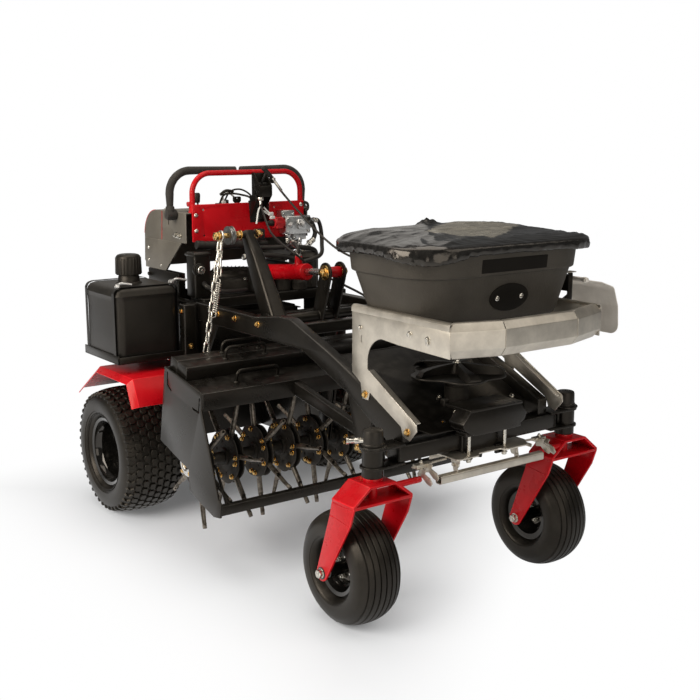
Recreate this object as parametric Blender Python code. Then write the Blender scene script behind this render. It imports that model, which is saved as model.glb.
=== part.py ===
"""Stand-on lawn aerator with a front hopper spreader, modelled as separate bench pieces.

The machine stands on the floor (z = 0) and faces -Y.  +X is the operator's left hand.
Machine coordinates are measured from the caster wheel axle: y = 0 above the front
axle, y grows towards the operator.  One empty, machine_origin, carries every piece
and moves the whole machine so that the world origin lies under its middle.
"""

import math

import bmesh
import bpy
from mathutils import Matrix, Vector

# Driving sizes
FIT = 0.0004            # clearance between two pieces that sit on each other
SHAFT_FIT = 0.0005      # radial clearance of a shaft in its bore
PLATE = 0.006           # general sheet and plate thickness

FRONT_END_Y = -0.385    # front face of the spreader guard
REAR_END_Y = 1.870      # rear lip of the operator platform

# wheels
CASTER_X = 0.414
CASTER_TRAIL = 0.110
CASTER_TYRE_R = 0.184
CASTER_TYRE_W = 0.168
CASTER_RIM_R = 0.076
CASTER_RIM_W = 0.112
DRIVE_X = 0.505
WHEELBASE = 1.390
DRIVE_TYRE_R = 0.254
DRIVE_TYRE_W = 0.255
DRIVE_RIM_R = 0.127
DRIVE_RIM_W = 0.206
RIM_LIP = 0.013
RIM_STEPS = 12
TYRE_STEPS = 2 * RIM_STEPS   # so that the rim's corners lie on the tyre's

# caster forks and the beam that carries them
AXLE_BOLT_R = 0.0095
KINGPIN_R = 0.020
BARREL_R = 0.033
BARREL_BOTTOM_Z = 0.500
BARREL_TOP_Z = 0.590
CAP_TOP_Z = 0.650
CAP_WALL = 0.005
FORK_PLATE = 0.008
FORK_WALL_GAP = 0.020
FORK_TOP_HALF = 0.050
FORK_SHOULDER_DROP = 0.050
FORK_Y_FRONT = -0.055
FORK_Y_REAR = 0.055
BEAM_BOTTOM_Z = 0.535
BEAM_TOP_Z = 0.585
BEAM_DEPTH = 0.060
SLEEVE_HALF = 0.090
LOCK_ROD_R = 0.010
LOCK_ROD_TIP_X = 0.262
LOCK_BAR_R = 0.0135
LOCK_BAR_Y = -0.170
LOCK_BAR_Z = 0.465
LOCK_BAR_RIGHT_X = -0.205
LOCK_BAR_LEFT_X = 0.240
LOCK_HINGE_Y = -0.160
LOCK_HINGE_Z = 0.500

# chassis
RAIL_IN = 0.270
RAIL_OUT = 0.310
BOX_IN = 0.290
BOX_OUT = 0.335
BOX_FRONT_Y = 1.145
BOX_REAR_Y = 1.660
BOX_TOP_Z = 0.860
ENGINE_DECK_Z = 0.606
POST_OUT = 0.385
FENDER_TOP_Z = 0.620
FENDER_OUT = 0.665
FENDER_IN = 0.345
TRAY_TOP_Z = 0.665

# platform and operator station
PLATFORM_Z = 0.191
PLATFORM_HALF = 0.300
PLATFORM_HINGE_R = 0.008
CONSOLE_HALF = 0.290
CONSOLE_FRONT_Y = 1.2625
CONSOLE_REAR_Y = 1.630
CONSOLE_BOTTOM_Z = 0.955
CONSOLE_TOP_Z = 1.200
CONSOLE_WALL = 0.008
PANEL_HALF = 0.264
PANEL_BOTTOM_Z = 1.085
PANEL_TOP_Z = 1.232
HOOP_R = 0.011
HOOP_TOP_Z = 1.353
HOOP_HALF = 0.255
HOOP_Y = 1.268
HOOP_CORNER = 0.080
LEVER_Y = 1.345
LEVER_Z = 1.190
LEVER_TOP_Z = 1.362
LEVER_GRIP_R = 0.0165
LEVER_OUT_X = 0.314
LEVER_GAP = 0.012
THROTTLE_X = -0.200
THROTTLE_BARREL_R = 0.008
CHOKE_X = -0.236
KEY_X = -0.030
CONTROLS_Y = CONSOLE_FRONT_Y + 0.0625
GATE_LEVER_Z = 1.305

# tine unit: outline in its own level frame, measured from the tine shaft
SHAFT_Y = 0.735
SHAFT_Z = 0.362
UNIT_TILT = math.radians(10.6)
UNIT_HALF = 0.602
STARS_PER_SIDE = 5
STAR_PITCH = (UNIT_HALF + 0.006) / STARS_PER_SIDE
STAR_DISC_R = 0.100
STAR_DISC_T = 0.012
TINES_PER_STAR = 6
TINE_TIP_R = 0.242
TINE_R = 0.010
TINE_SHAFT_R = 0.020
EVEN_PHASE = math.radians(39.0)
ODD_PHASE = math.radians(10.0)
TRAY_T = 0.270          # top of the weight tray above the shaft
HINGE_Y = 0.120
HINGE_Z = 0.520
HINGE_R = 0.018
ARM_IN = 0.200
ARM_OUT = 0.228
HINGE_HANGER_X = RAIL_IN + 0.004

# lift linkage
CRANK_Y = 0.720
CRANK_Z = 0.840
CRANK_SHAFT_R = 0.020
ROD_PIN_Y = 0.671
ROD_PIN_Z = 1.006
ROD_PIN_R = 0.010
ROD_PIN_SLOT = 0.015    # extra hole radius that the open pivot needs
CYLINDER_PIVOT_Y = 1.190
CYLINDER_PIVOT_Z = 0.955
CYLINDER_R = 0.030
CYLINDER_FRONT_Y = 0.842
ROD_R = 0.0125
TOWER_IN = 0.195
TOWER_OUT = 0.250
ANCHOR_Y = 0.900
ANCHOR_Z = 1.140
ANCHOR_R = 0.011
CHAIN_X = 0.338
CHAIN_END_X = 0.412
CHAIN_END_Y = 0.905
CHAIN_END_Z = 0.712
CHAIN_WIRE_R = 0.0038
CHAIN_LINKS = 11
CHAIN_RING_SIDES = 8
CHAIN_LINK_W = 0.0144    # width of a link between the middles of its wires
SPRING_FIRST_LINK = 3    # links that the spring's two ends hold, from the top
SPRING_LAST_LINK = 7
LIFT_SPRING_R = 0.0085
LIFT_SPRING_WIRE_R = 0.0014
LIFT_SPRING_COILS = 11

# hopper and spreader
HOPPER_Y = -0.040
HOPPER_WALL = 0.005
HOPPER_SEAT_X = 0.105
HOPPER_RIM_Z = 1.187
GUARD_OUT = 0.330
GUARD_BOTTOM_Z = 0.882
GUARD_TOP_Z = 0.982
GUARD_SHEET = 0.004
SPINNER_Y = -0.016
SPINNER_Z = 0.742
SPINNER_R = 0.160
DECK_FRONT_Y = -0.129
DECK_FRONT_Z = 0.600
DECK_SLOPE = 0.43
DECK_REAR_Y = 0.300
DECK_SHEET = 0.004

# Scene helpers


def clear_scene():
    for obj in list(bpy.data.objects):
        bpy.data.objects.remove(obj, do_unlink=True)
    for group in list(bpy.data.collections):
        bpy.data.collections.remove(group)


clear_scene()
PIECES = bpy.data.collections.new("stand_on_aerator")
TOOLS = bpy.data.collections.new("joined_and_cut_shapes")
bpy.context.scene.collection.children.link(PIECES)
bpy.context.scene.collection.children.link(TOOLS)

ORIGIN = bpy.data.objects.new("machine_origin", None)
ORIGIN.location = (0.0, -(FRONT_END_Y + REAR_END_Y) / 2, 0.0)
ORIGIN.empty_display_size = 0.2
PIECES.objects.link(ORIGIN)


def paint(name, colour, roughness, metallic=0.0):
    """A plain Principled finish; the detailed looks are made elsewhere."""
    finish = bpy.data.materials.new(name)
    finish.use_nodes = True
    shader = finish.node_tree.nodes["Principled BSDF"]
    shader.inputs["Base Color"].default_value = (*colour, 1.0)
    shader.inputs["Roughness"].default_value = roughness
    shader.inputs["Metallic"].default_value = metallic
    return finish


RED = ("red_paint", (0.36, 0.008, 0.016), 0.30, 0.0)
BLACK = ("black_powder_coat", (0.018, 0.017, 0.016), 0.42, 0.0)
GLOSS_BLACK = ("black_gloss_paint", (0.010, 0.010, 0.010), 0.18, 0.0)
RUBBER = ("black_rubber", (0.016, 0.015, 0.015), 0.75, 0.0)
FOAM = ("black_foam", (0.014, 0.013, 0.013), 0.85, 0.0)
GREY = ("grey_console_paint", (0.16, 0.155, 0.15), 0.45, 0.0)
PLASTIC = ("black_plastic", (0.020, 0.020, 0.020), 0.50, 0.0)
HOPPER_PLASTIC = ("charcoal_plastic", (0.034, 0.034, 0.036), 0.60, 0.0)
STAINLESS = ("stainless_sheet", (0.60, 0.58, 0.55), 0.32, 1.0)
ZINC = ("bright_zinc", (0.62, 0.60, 0.56), 0.30, 1.0)
CHROME = ("chrome_rod", (0.70, 0.70, 0.70), 0.08, 1.0)
CAST_IRON = ("cast_iron", (0.05, 0.045, 0.04), 0.55, 0.6)
CLOTH = ("black_cover_film", (0.012, 0.012, 0.012), 0.25, 0.0)


def shape(name, bm):
    """Turn a bmesh into an object of the working collection."""
    bmesh.ops.recalc_face_normals(bm, faces=bm.faces)
    mesh = bpy.data.meshes.new(name)
    bm.to_mesh(mesh)
    bm.free()
    obj = bpy.data.objects.new(name, mesh)
    TOOLS.objects.link(obj)
    obj.parent = ORIGIN
    obj.hide_render = True
    obj.display_type = 'WIRE'
    return obj


def block(x, y, z, name="block"):
    """A box between the pairs x, y and z."""
    bm = bmesh.new()
    size = Vector((x[1] - x[0], y[1] - y[0], z[1] - z[0]))
    centre = Vector((x[0] + x[1], y[0] + y[1], z[0] + z[1])) / 2
    bmesh.ops.create_cube(bm, size=1.0, matrix=Matrix.Translation(centre) @ Matrix.Diagonal((*size, 1.0)))
    return shape(name, bm)


def bar(start, end, radius, sides=12, end_radius=None, name="bar"):
    """A round bar or cone between two points."""
    start, end = Vector(start), Vector(end)
    along = end - start
    turn = Vector((0, 0, 1)).rotation_difference(along).to_matrix().to_4x4()
    place = Matrix.Translation((start + end) / 2) @ turn
    bm = bmesh.new()
    bmesh.ops.create_cone(
        bm, cap_ends=True, segments=sides, radius1=radius,
        radius2=radius if end_radius is None else end_radius,
        depth=along.length, matrix=place)
    return shape(name, bm)


def plate(outline, x, name="plate"):
    """An outline in (y, z), as thick as the pair x."""
    return extruded([(x[0], y, z) for y, z in outline], (x[1] - x[0], 0, 0), name)


def front_plate(outline, y, name="plate"):
    """An outline in (x, z), as deep as the pair y."""
    return extruded([(u, y[0], z) for u, z in outline], (0, y[1] - y[0], 0), name)


def flat_plate(outline, z, name="plate"):
    """An outline in (x, y), as high as the pair z."""
    return extruded([(u, v, z[0]) for u, v in outline], (0, 0, z[1] - z[0]), name)


def extruded(corners, step, name):
    bm = bmesh.new()
    face = bm.faces.new([bm.verts.new(corner) for corner in corners])
    grown = bmesh.ops.extrude_face_region(bm, geom=[face])
    moved = [item for item in grown["geom"] if isinstance(item, bmesh.types.BMVert)]
    bmesh.ops.translate(bm, verts=moved, vec=step)
    return shape(name, bm)


def turned(profile, centre, axis, steps, name="turned"):
    """A closed profile of (place along the axis, radius), spun once round."""
    axis, centre = Vector(axis), Vector(centre)
    across = Vector((0, 0, -1)) if abs(axis.x) > 0.5 else Vector((1, 0, 0))
    bm = bmesh.new()
    ring = [bm.verts.new(centre + axis * along + across * radius) for along, radius in profile]
    edges = [bm.edges.new((ring[i], ring[(i + 1) % len(ring)])) for i in range(len(ring))]
    bmesh.ops.spin(bm, geom=ring + edges, cent=centre, axis=axis, dvec=(0, 0, 0),
                   angle=math.tau, steps=steps, use_merge=True)
    return shape(name, bm)


def tube(points, radius, name="tube", resolution=2):
    """A round tube along points, closed at both ends."""
    curve = bpy.data.curves.new(name, 'CURVE')
    curve.dimensions = '3D'
    curve.bevel_depth = radius
    curve.bevel_resolution = resolution
    curve.use_fill_caps = True
    spline = curve.splines.new('POLY')
    spline.points.add(len(points) - 1)
    for spot, place in zip(spline.points, points):
        spot.co = (*place, 1.0)
    source = bpy.data.objects.new(name, curve)
    bm = bmesh.new()
    bm.from_mesh(bpy.data.meshes.new_from_object(source))
    bpy.data.objects.remove(source)
    bmesh.ops.remove_doubles(bm, verts=bm.verts, dist=1e-6)
    return shape(name, bm)


def bore_radius(shaft_radius, sides):
    """Corner radius of a faceted bore in which a shaft turns clear of the flats."""
    return (shaft_radius + SHAFT_FIT) / math.cos(math.pi / sides)


def rounded_path(points, radius, steps=5):
    """The points of a bent rod: each inner corner becomes an arc."""
    path = [Vector(points[0])]
    for before, corner, after in zip(points, points[1:], points[2:]):
        before, corner, after = Vector(before), Vector(corner), Vector(after)
        back = (before - corner).normalized()
        ahead = (after - corner).normalized()
        half = back.angle(ahead) / 2
        reach = radius / math.tan(half)
        middle = corner + (back + ahead).normalized() * (radius / math.sin(half))
        first = corner + back * reach - middle
        last = corner + ahead * reach - middle
        for step in range(steps + 1):
            path.append(middle + first.normalized().slerp(last.normalized(), step / steps) * radius)
    path.append(Vector(points[-1]))
    return path


def arc(centre, radius, first, last, steps):
    """Points on an arc in a plane, angles in degrees."""
    turns = [math.radians(first + (last - first) * i / steps) for i in range(steps + 1)]
    return [(centre[0] + radius * math.cos(a), centre[1] + radius * math.sin(a)) for a in turns]


def boolean(target, tool, operation):
    step = target.modifiers.new(operation.lower(), 'BOOLEAN')
    step.operation = operation
    step.solver = 'EXACT'
    step.object = tool


def weld(target, *parts):
    """Fuse parts into the target, as one weldment or casting."""
    for part in parts:
        boolean(target, part, 'UNION')
    return target


def cut(target, *tools):
    for tool in tools:
        boolean(target, tool, 'DIFFERENCE')
    return target


def piece(name, obj, finish, origin=(0, 0, 0), smooth=None):
    """Name a finished piece and put its origin on its joint axis."""
    TOOLS.objects.unlink(obj)
    PIECES.objects.link(obj)
    obj.name = name
    obj.data.name = name
    obj.hide_render = False
    obj.display_type = 'TEXTURED'
    obj.data.transform(Matrix.Translation(-Vector(origin)))
    obj.location = origin
    look = bpy.data.materials.get(finish[0]) or paint(*finish)
    obj.data.materials.append(look)
    if smooth:
        obj.data.shade_smooth()
        obj.data.set_sharp_from_angle(angle=math.radians(smooth))
    return obj


# Casters


def caster_fork(side, label):
    """Folded red yoke with its kingpin, wheel bolt and lock rod."""
    x = side * CASTER_X
    y = -CASTER_TRAIL
    leg_in = CASTER_TYRE_W / 2 + FORK_WALL_GAP
    leg_out = leg_in + FORK_PLATE
    top_z = BARREL_BOTTOM_Z - 0.010
    shoulder_z = top_z - FORK_SHOULDER_DROP
    low_z = shoulder_z - FORK_PLATE - 0.004
    outer = [(x - leg_out, low_z), (x - leg_out, shoulder_z), (x - FORK_TOP_HALF, top_z),
             (x + FORK_TOP_HALF, top_z), (x + leg_out, shoulder_z), (x + leg_out, low_z)]
    inner = [(x - leg_in + 0.004, low_z + FORK_PLATE), (x - leg_in + 0.004, shoulder_z - 0.003),
             (x - FORK_TOP_HALF + 0.006, top_z - FORK_PLATE),
             (x + FORK_TOP_HALF - 0.006, top_z - FORK_PLATE),
             (x + leg_in - 0.004, shoulder_z - 0.003), (x + leg_in - 0.004, low_z + FORK_PLATE)]
    crown = front_plate(outer, (y + FORK_Y_FRONT, y + FORK_Y_REAR), "crown")
    cut(crown, front_plate(inner, (y + FORK_Y_FRONT - 0.01, y + FORK_Y_REAR + 0.01), "crown_hollow"))
    heel = arc((0.0, CASTER_TYRE_R), 0.026, -150, 30, 6)
    outline = [(y + FORK_Y_FRONT, low_z + 0.003), (y + FORK_Y_FRONT + 0.018, low_z - 0.05)]
    outline += heel + [(y + FORK_Y_REAR + 0.012, low_z - 0.045), (y + FORK_Y_REAR, low_z + 0.003)]
    for direction in (-1, 1):
        span = sorted((x + direction * leg_in, x + direction * leg_out))
        weld(crown, plate(outline, span, "leg"))
    weld(crown, bar((x, y, top_z - 0.004), (x, y, BARREL_TOP_Z + 0.030), KINGPIN_R, 12, name="kingpin"))
    weld(crown, bar((x, y, top_z - 0.002), (x, y, BARREL_BOTTOM_Z - FIT), 0.030, 12, name="thrust_washer"))
    reach = leg_out + 0.004
    weld(crown, bar((x - reach, 0, CASTER_TYRE_R), (x + reach, 0, CASTER_TYRE_R), AXLE_BOLT_R, 8, name="bolt"))
    for direction in (-1, 1):
        face = x + direction * (leg_out - 0.001)
        head = x + direction * (leg_out + 0.010)
        weld(crown, bar((face, 0, CASTER_TYRE_R), (head, 0, CASTER_TYRE_R), 0.016, 6, name="bolt_head"))
    rod_z = top_z - 0.016
    rod_y = y + FORK_Y_FRONT + 0.014
    weld(crown, bar((side * (CASTER_X - FORK_TOP_HALF - 0.008), rod_y, rod_z),
                    (side * LOCK_ROD_TIP_X, rod_y, rod_z), LOCK_ROD_R, 10, name="lock_rod"))
    piece("caster_fork_" + label, crown, RED, (x, y, BARREL_BOTTOM_Z))


def wheel_rim(name, centre, rim_r, rim_w, disc_at, shaft_r, hub_half, hub_r, side):
    """Pressed steel rim: hub tube, dished disc and barrel with two lips."""
    half = rim_w / 2
    wall = 0.006
    profile = [
        (-hub_half, bore_radius(shaft_r, RIM_STEPS)), (hub_half, bore_radius(shaft_r, RIM_STEPS)), (hub_half, hub_r), (disc_at + wall, hub_r),
        (disc_at + wall, rim_r - wall), (half, rim_r - wall), (half, rim_r + RIM_LIP),
        (half - 0.009, rim_r), (-half + 0.009, rim_r), (-half, rim_r + RIM_LIP),
        (-half, rim_r - wall), (disc_at, rim_r - wall), (disc_at, hub_r), (-hub_half, hub_r)]
    rim = turned(profile, centre, (side, 0, 0), RIM_STEPS, name)
    piece(name, rim, GLOSS_BLACK, centre, smooth=35)


def wheel_tyre(name, centre, tyre_r, tyre_w, rim_r, rim_w, crown, side):
    """Tyre section seated on the bead of its rim."""
    bead = rim_w / 2 - 0.009 - FIT
    seat = rim_r + FIT
    half = tyre_w / 2
    lip = rim_r + RIM_LIP + 0.002
    rise = tyre_r - lip
    right = [(bead, seat), (bead, lip), (rim_w / 2 + 0.004, lip + 0.10 * rise),
             (half, lip + 0.45 * rise), (half - 0.16 * half, tyre_r - crown), (half * 0.35, tyre_r)]
    profile = right + [(-along, radius) for along, radius in reversed(right)]
    tyre = turned(profile, centre, (side, 0, 0), TYRE_STEPS, name)
    piece(name, tyre, RUBBER, centre, smooth=60)


def caster_wheel(side, label):
    centre = (side * CASTER_X, 0.0, CASTER_TYRE_R)
    hub_half = CASTER_TYRE_W / 2 + FORK_WALL_GAP - 0.001
    wheel_rim("caster_rim_" + label, centre, CASTER_RIM_R, CASTER_RIM_W, 0.012,
              AXLE_BOLT_R, hub_half, 0.019, side)
    wheel_tyre("caster_tyre_" + label, centre, CASTER_TYRE_R, CASTER_TYRE_W,
               CASTER_RIM_R, CASTER_RIM_W, 0.030, side)


def caster_cap(side, label):
    """Rubber dust cap over the kingpin nut."""
    x = side * CASTER_X
    base = BARREL_TOP_Z + 0.008 + FIT
    outer_r = BARREL_R - 0.001
    profile = [(base, outer_r - CAP_WALL), (base, outer_r), (CAP_TOP_Z - 0.006, outer_r),
               (CAP_TOP_Z, outer_r - 0.006), (CAP_TOP_Z, 0.004), (CAP_TOP_Z - CAP_WALL, 0.004),
               (CAP_TOP_Z - CAP_WALL, outer_r - CAP_WALL)]
    cap = turned(profile, (x, -CASTER_TRAIL, 0), (0, 0, 1), 12, "cap")
    weld(cap, bar((x, -CASTER_TRAIL, CAP_TOP_Z - CAP_WALL + 0.001),
                  (x, -CASTER_TRAIL, CAP_TOP_Z - 0.001), 0.012, 12, name="cap_top"))
    piece("caster_cap_" + label, cap, PLASTIC, smooth=40)


def axle_beam():
    """Front cross beam with both caster barrels, the middle sleeve and its hood."""
    y0 = -CASTER_TRAIL - BEAM_DEPTH / 2
    y1 = -CASTER_TRAIL + BEAM_DEPTH / 2
    reach = CASTER_X - BARREL_R + 0.006
    beam = block((-reach, reach), (y0, y1), (BEAM_BOTTOM_Z, BEAM_TOP_Z), "beam")
    for side in (-1, 1):
        x = side * CASTER_X
        weld(beam, bar((x, -CASTER_TRAIL, BARREL_BOTTOM_Z), (x, -CASTER_TRAIL, BARREL_TOP_Z), BARREL_R, 14))
        weld(beam, bar((x, -CASTER_TRAIL, BARREL_TOP_Z - 0.006),
                       (x, -CASTER_TRAIL, BARREL_TOP_Z + 0.008), BARREL_R + 0.010, 14, name="flange"))
        inner = side * (RAIL_OUT + 0.003)
        span = sorted((inner, side * (CASTER_X - 0.010)))
        for low in (BEAM_TOP_Z - 0.001, BEAM_BOTTOM_Z - 0.007):
            weld(beam, block(span, (y0 - 0.004, y1 + 0.003), (low, low + 0.008), "gusset"))
    weld(beam, block((-SLEEVE_HALF, SLEEVE_HALF), (y0 - 0.008, y1 + 0.008),
                     (BEAM_BOTTOM_Z - 0.010, BEAM_TOP_Z + 0.010), "sleeve"))
    hood = [(-0.137, 0.634), (-0.128, 0.612), (-0.085, 0.590), (0.085, 0.590), (0.128, 0.612),
            (0.137, 0.634), (0.105, 0.672), (-0.105, 0.672)]
    weld(beam, front_plate(hood, (y0 - 0.062, y0 + 0.006), "hood"))
    for side in (-1, 1):
        x = side * CASTER_X
        cut(beam, bar((x, -CASTER_TRAIL, BARREL_BOTTOM_Z - 0.02),
                      (x, -CASTER_TRAIL, BARREL_TOP_Z + 0.04), bore_radius(KINGPIN_R, 12), 12, name="bore"))
    piece("axle_beam", beam, BLACK)


def lock_bracket():
    """Stainless channel clamped under the sleeve; it carries the caster lock bar."""
    top = BEAM_BOTTOM_Z - 0.010 - FIT
    base = block((-0.150, 0.185), (-0.195, -0.060), (top - 0.005, top), "base")
    for x in (-0.126, 0.126):
        lug = [(LOCK_HINGE_Y - 0.016, top - 0.002), (LOCK_HINGE_Y - 0.012, LOCK_HINGE_Z - 0.012),
               (LOCK_HINGE_Y + 0.012, LOCK_HINGE_Z - 0.012), (LOCK_HINGE_Y + 0.016, top - 0.002)]
        weld(base, plate(lug, (x - 0.003, x + 0.003), "lug"))
    weld(base, block((-0.150, 0.185), (-0.064, -0.060), (top - 0.030, top - 0.002), "skirt"))
    piece("lock_bracket", base, STAINLESS)


def caster_lock_bar():
    """Stainless bar on two arms that swings over the fork rods."""
    axis = (0.0, LOCK_HINGE_Y, LOCK_HINGE_Z)
    body = bar((LOCK_BAR_RIGHT_X, LOCK_BAR_Y, LOCK_BAR_Z), (LOCK_BAR_LEFT_X, LOCK_BAR_Y, LOCK_BAR_Z),
               LOCK_BAR_R, 12, name="lock_bar")
    for side in (-1, 1):
        near = side * (0.129 + FIT)
        span = sorted((near, near + side * 0.005))
        arm = [(LOCK_HINGE_Y - 0.009, LOCK_HINGE_Z + 0.007), (LOCK_BAR_Y - 0.008, LOCK_BAR_Z),
               (LOCK_BAR_Y + 0.008, LOCK_BAR_Z), (LOCK_HINGE_Y + 0.009, LOCK_HINGE_Z + 0.007)]
        weld(body, plate(arm, span, "arm"))
    piece("caster_lock_bar", body, STAINLESS, axis, smooth=40)


# Chassis


def rail_outline():
    """Side view of one front rail, from the axle beam up to the rear box."""
    y_beam = -CASTER_TRAIL + BEAM_DEPTH / 2 + FIT + 0.003
    return [(-0.125, BEAM_TOP_Z + FIT), (-0.125, 0.640), (0.079, 0.730), (0.269, 0.806),
            (0.493, 0.885), (0.560, 0.885), (0.720, 0.862), (BOX_FRONT_Y + 0.02, 0.862),
            (BOX_FRONT_Y + 0.02, 0.790), (0.560, 0.790), (0.427, 0.790), (0.159, 0.688),
            (y_beam, 0.560), (y_beam, BEAM_TOP_Z + FIT)]


def main_frame():
    """Welded chassis: rails, tine hinge hangers, rear box, cross members and tank tray."""
    frame = block((-BOX_IN - 0.002, BOX_IN + 0.002), (BOX_FRONT_Y + 0.006, BOX_REAR_Y - 0.006),
                  (ENGINE_DECK_Z - 0.008, ENGINE_DECK_Z), "engine_deck")
    side_view = [(BOX_FRONT_Y, BOX_TOP_Z), (BOX_FRONT_Y, 0.430), (1.230, 0.180),
                 (BOX_REAR_Y, 0.165), (BOX_REAR_Y, BOX_TOP_Z)]
    window = [(1.30, BOX_TOP_Z - 0.04), (1.30, 0.66), (1.60, 0.66), (1.60, BOX_TOP_Z - 0.04)]
    hanger = [(0.050, 0.660), (0.200, 0.720), (HINGE_Y + 0.022, HINGE_Z - 0.022),
              (HINGE_Y - 0.022, HINGE_Z - 0.022)]
    for side in (-1, 1):
        walls = plate(side_view, sorted((side * BOX_IN, side * BOX_OUT)), "box_side")
        cut(walls, plate(window, sorted((side * (BOX_IN - 0.02), side * (BOX_OUT + 0.02))), "window"))
        weld(frame, walls)
        weld(frame, plate(rail_outline(), sorted((side * RAIL_IN, side * RAIL_OUT)), "rail"))
        weld(frame, plate(hanger, sorted((side * (HINGE_HANGER_X), side * (HINGE_HANGER_X + 0.012))), "hanger"))
        post = sorted((side * (BOX_OUT - 0.002), side * POST_OUT))
        weld(frame, block(post, (1.115, 1.160), (FENDER_TOP_Z + FIT, 0.862), "post"))
        upright = sorted((side * 0.262, side * (CONSOLE_HALF + 0.004)))
        weld(frame, block(upright, (1.330, 1.600), (BOX_TOP_Z - 0.004, CONSOLE_BOTTOM_Z - FIT), "upright"))
    inside = BOX_IN + 0.001
    weld(frame, block((-inside, inside), (BOX_FRONT_Y + 0.001, BOX_FRONT_Y + 0.013), (0.440, 0.780), "front_plate"))
    weld(frame, block((-inside, inside), (BOX_REAR_Y - 0.013, BOX_REAR_Y - 0.001), (0.170, 0.840), "rear_plate"))
    weld(frame, block((-RAIL_IN - 0.01, RAIL_IN + 0.01), (0.880, 0.915), (0.795, 0.835), "middle_cross"))
    weld(frame, block((-RAIL_IN - 0.01, RAIL_IN + 0.01), (0.470, 0.505), (0.825, 0.865), "front_cross"))
    weld(frame, block((-RAIL_IN - 0.01, RAIL_IN + 0.01), (0.056, 0.088), (0.635, 0.670), "deck_cross"))
    weld(frame, block((-FENDER_OUT + 0.008, -BOX_OUT + 0.004), (1.130, 1.440), (TRAY_TOP_Z - 0.008, TRAY_TOP_Z), "tank_tray"))
    tower_y = CYLINDER_PIVOT_Y
    for x in (-0.040, 0.032):
        lug = [(tower_y - 0.040, 0.862), (tower_y - 0.024, CYLINDER_PIVOT_Z + 0.024),
               (tower_y + 0.024, CYLINDER_PIVOT_Z + 0.024), (tower_y + 0.026, 0.862)]
        weld(frame, plate(lug, (x, x + 0.008), "cylinder_lug"))
    weld(frame, block((-RAIL_IN - 0.015, RAIL_IN + 0.015), (tower_y - 0.048, tower_y + 0.030), (0.832, 0.872), "upper_cross"))
    piece("main_frame", frame, BLACK)




def front_deck():
    """Sloping black sheet under the spinner, with the motor hole and an oval slot."""
    def height(y):
        return DECK_FRONT_Z + DECK_SLOPE * (y - DECK_FRONT_Y)
    half = RAIL_IN - FIT
    corners = [(-0.200, DECK_FRONT_Y), (0.200, DECK_FRONT_Y), (half, -0.060), (half, DECK_REAR_Y),
               (-half, DECK_REAR_Y), (-half, -0.060)]
    sheet = extruded([(x, y, height(y) - DECK_SHEET) for x, y in corners], (0, 0, DECK_SHEET), "sheet")
    rear_z = height(DECK_REAR_Y)
    weld(sheet, block((-half, half), (DECK_REAR_Y - 0.005, DECK_REAR_Y + 0.001), (rear_z - 0.060, rear_z - 0.001), "rear_fold"))
    cut(sheet, bar((0, SPINNER_Y, 0.5), (0, SPINNER_Y, 0.9), 0.040 + SHAFT_FIT, 16, name="motor_hole"))
    cut(sheet, block((-0.022, 0.022), (-0.085, -0.066), (0.55, 0.70), "slot"))
    piece("front_deck", sheet, BLACK)


def fender(side, label):
    """Folded red mudguard over the drive tyre."""
    sheet = 0.004
    top = FENDER_TOP_Z
    outline = [(1.000, 0.520), (1.044, top), (1.338, top), (1.525, 0.500), (1.521, 0.498),
               (1.336, top - sheet), (1.047, top - sheet), (1.004, 0.519)]
    span = sorted((side * FENDER_IN, side * FENDER_OUT))
    guard = plate(outline, span, "fender")
    piece("fender_" + label, guard, RED)


def wheel_motor(side, label):
    """Hydraulic wheel motor bolted to the chassis, with its output shaft."""
    y, z = WHEELBASE, DRIVE_TYRE_R
    face = side * (BOX_OUT + FIT)
    motor = bar((face, y, z), (side * 0.405, y, z), 0.062, 16, name="motor")
    weld(motor, bar((side * 0.402, y, z), (side * 0.432, y, z), 0.045, 16, name="nose"))
    weld(motor, bar((side * 0.428, y, z), (side * 0.520, y, z), 0.018, 12, name="shaft"))
    piece("wheel_motor_" + label, motor, CAST_IRON)


def drive_wheel(side, label):
    centre = (side * DRIVE_X, WHEELBASE, DRIVE_TYRE_R)
    wheel_rim("drive_rim_" + label, centre, DRIVE_RIM_R, DRIVE_RIM_W, -0.020,
              0.018, 0.034, 0.040, side)
    wheel_tyre("drive_tyre_" + label, centre, DRIVE_TYRE_R, DRIVE_TYRE_W,
               DRIVE_RIM_R, DRIVE_RIM_W, 0.020, side)


def foot_platform():
    """Fold-up platform that the operator stands on."""
    y = BOX_REAR_Y - 0.001 + PLATFORM_HINGE_R + FIT
    floor = block((-PLATFORM_HALF, PLATFORM_HALF), (y + 0.004, REAR_END_Y), (PLATFORM_Z - 0.004, PLATFORM_Z + 0.004), "floor")
    for x in (-PLATFORM_HALF, PLATFORM_HALF - 0.006):
        weld(floor, block((x, x + 0.006), (y + 0.02, REAR_END_Y - 0.0005), (PLATFORM_Z - 0.022, PLATFORM_Z + 0.0035), "lip"))
    weld(floor, block((-PLATFORM_HALF + 0.001, PLATFORM_HALF - 0.001), (REAR_END_Y - 0.007, REAR_END_Y - 0.001), (PLATFORM_Z - 0.021, PLATFORM_Z + 0.003), "rear_lip"))
    weld(floor, bar((-PLATFORM_HALF + 0.02, y, PLATFORM_Z), (PLATFORM_HALF - 0.02, y, PLATFORM_Z), PLATFORM_HINGE_R, 12, name="hinge"))
    piece("foot_platform", floor, BLACK, (0, y, PLATFORM_Z))


# Operator station


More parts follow.
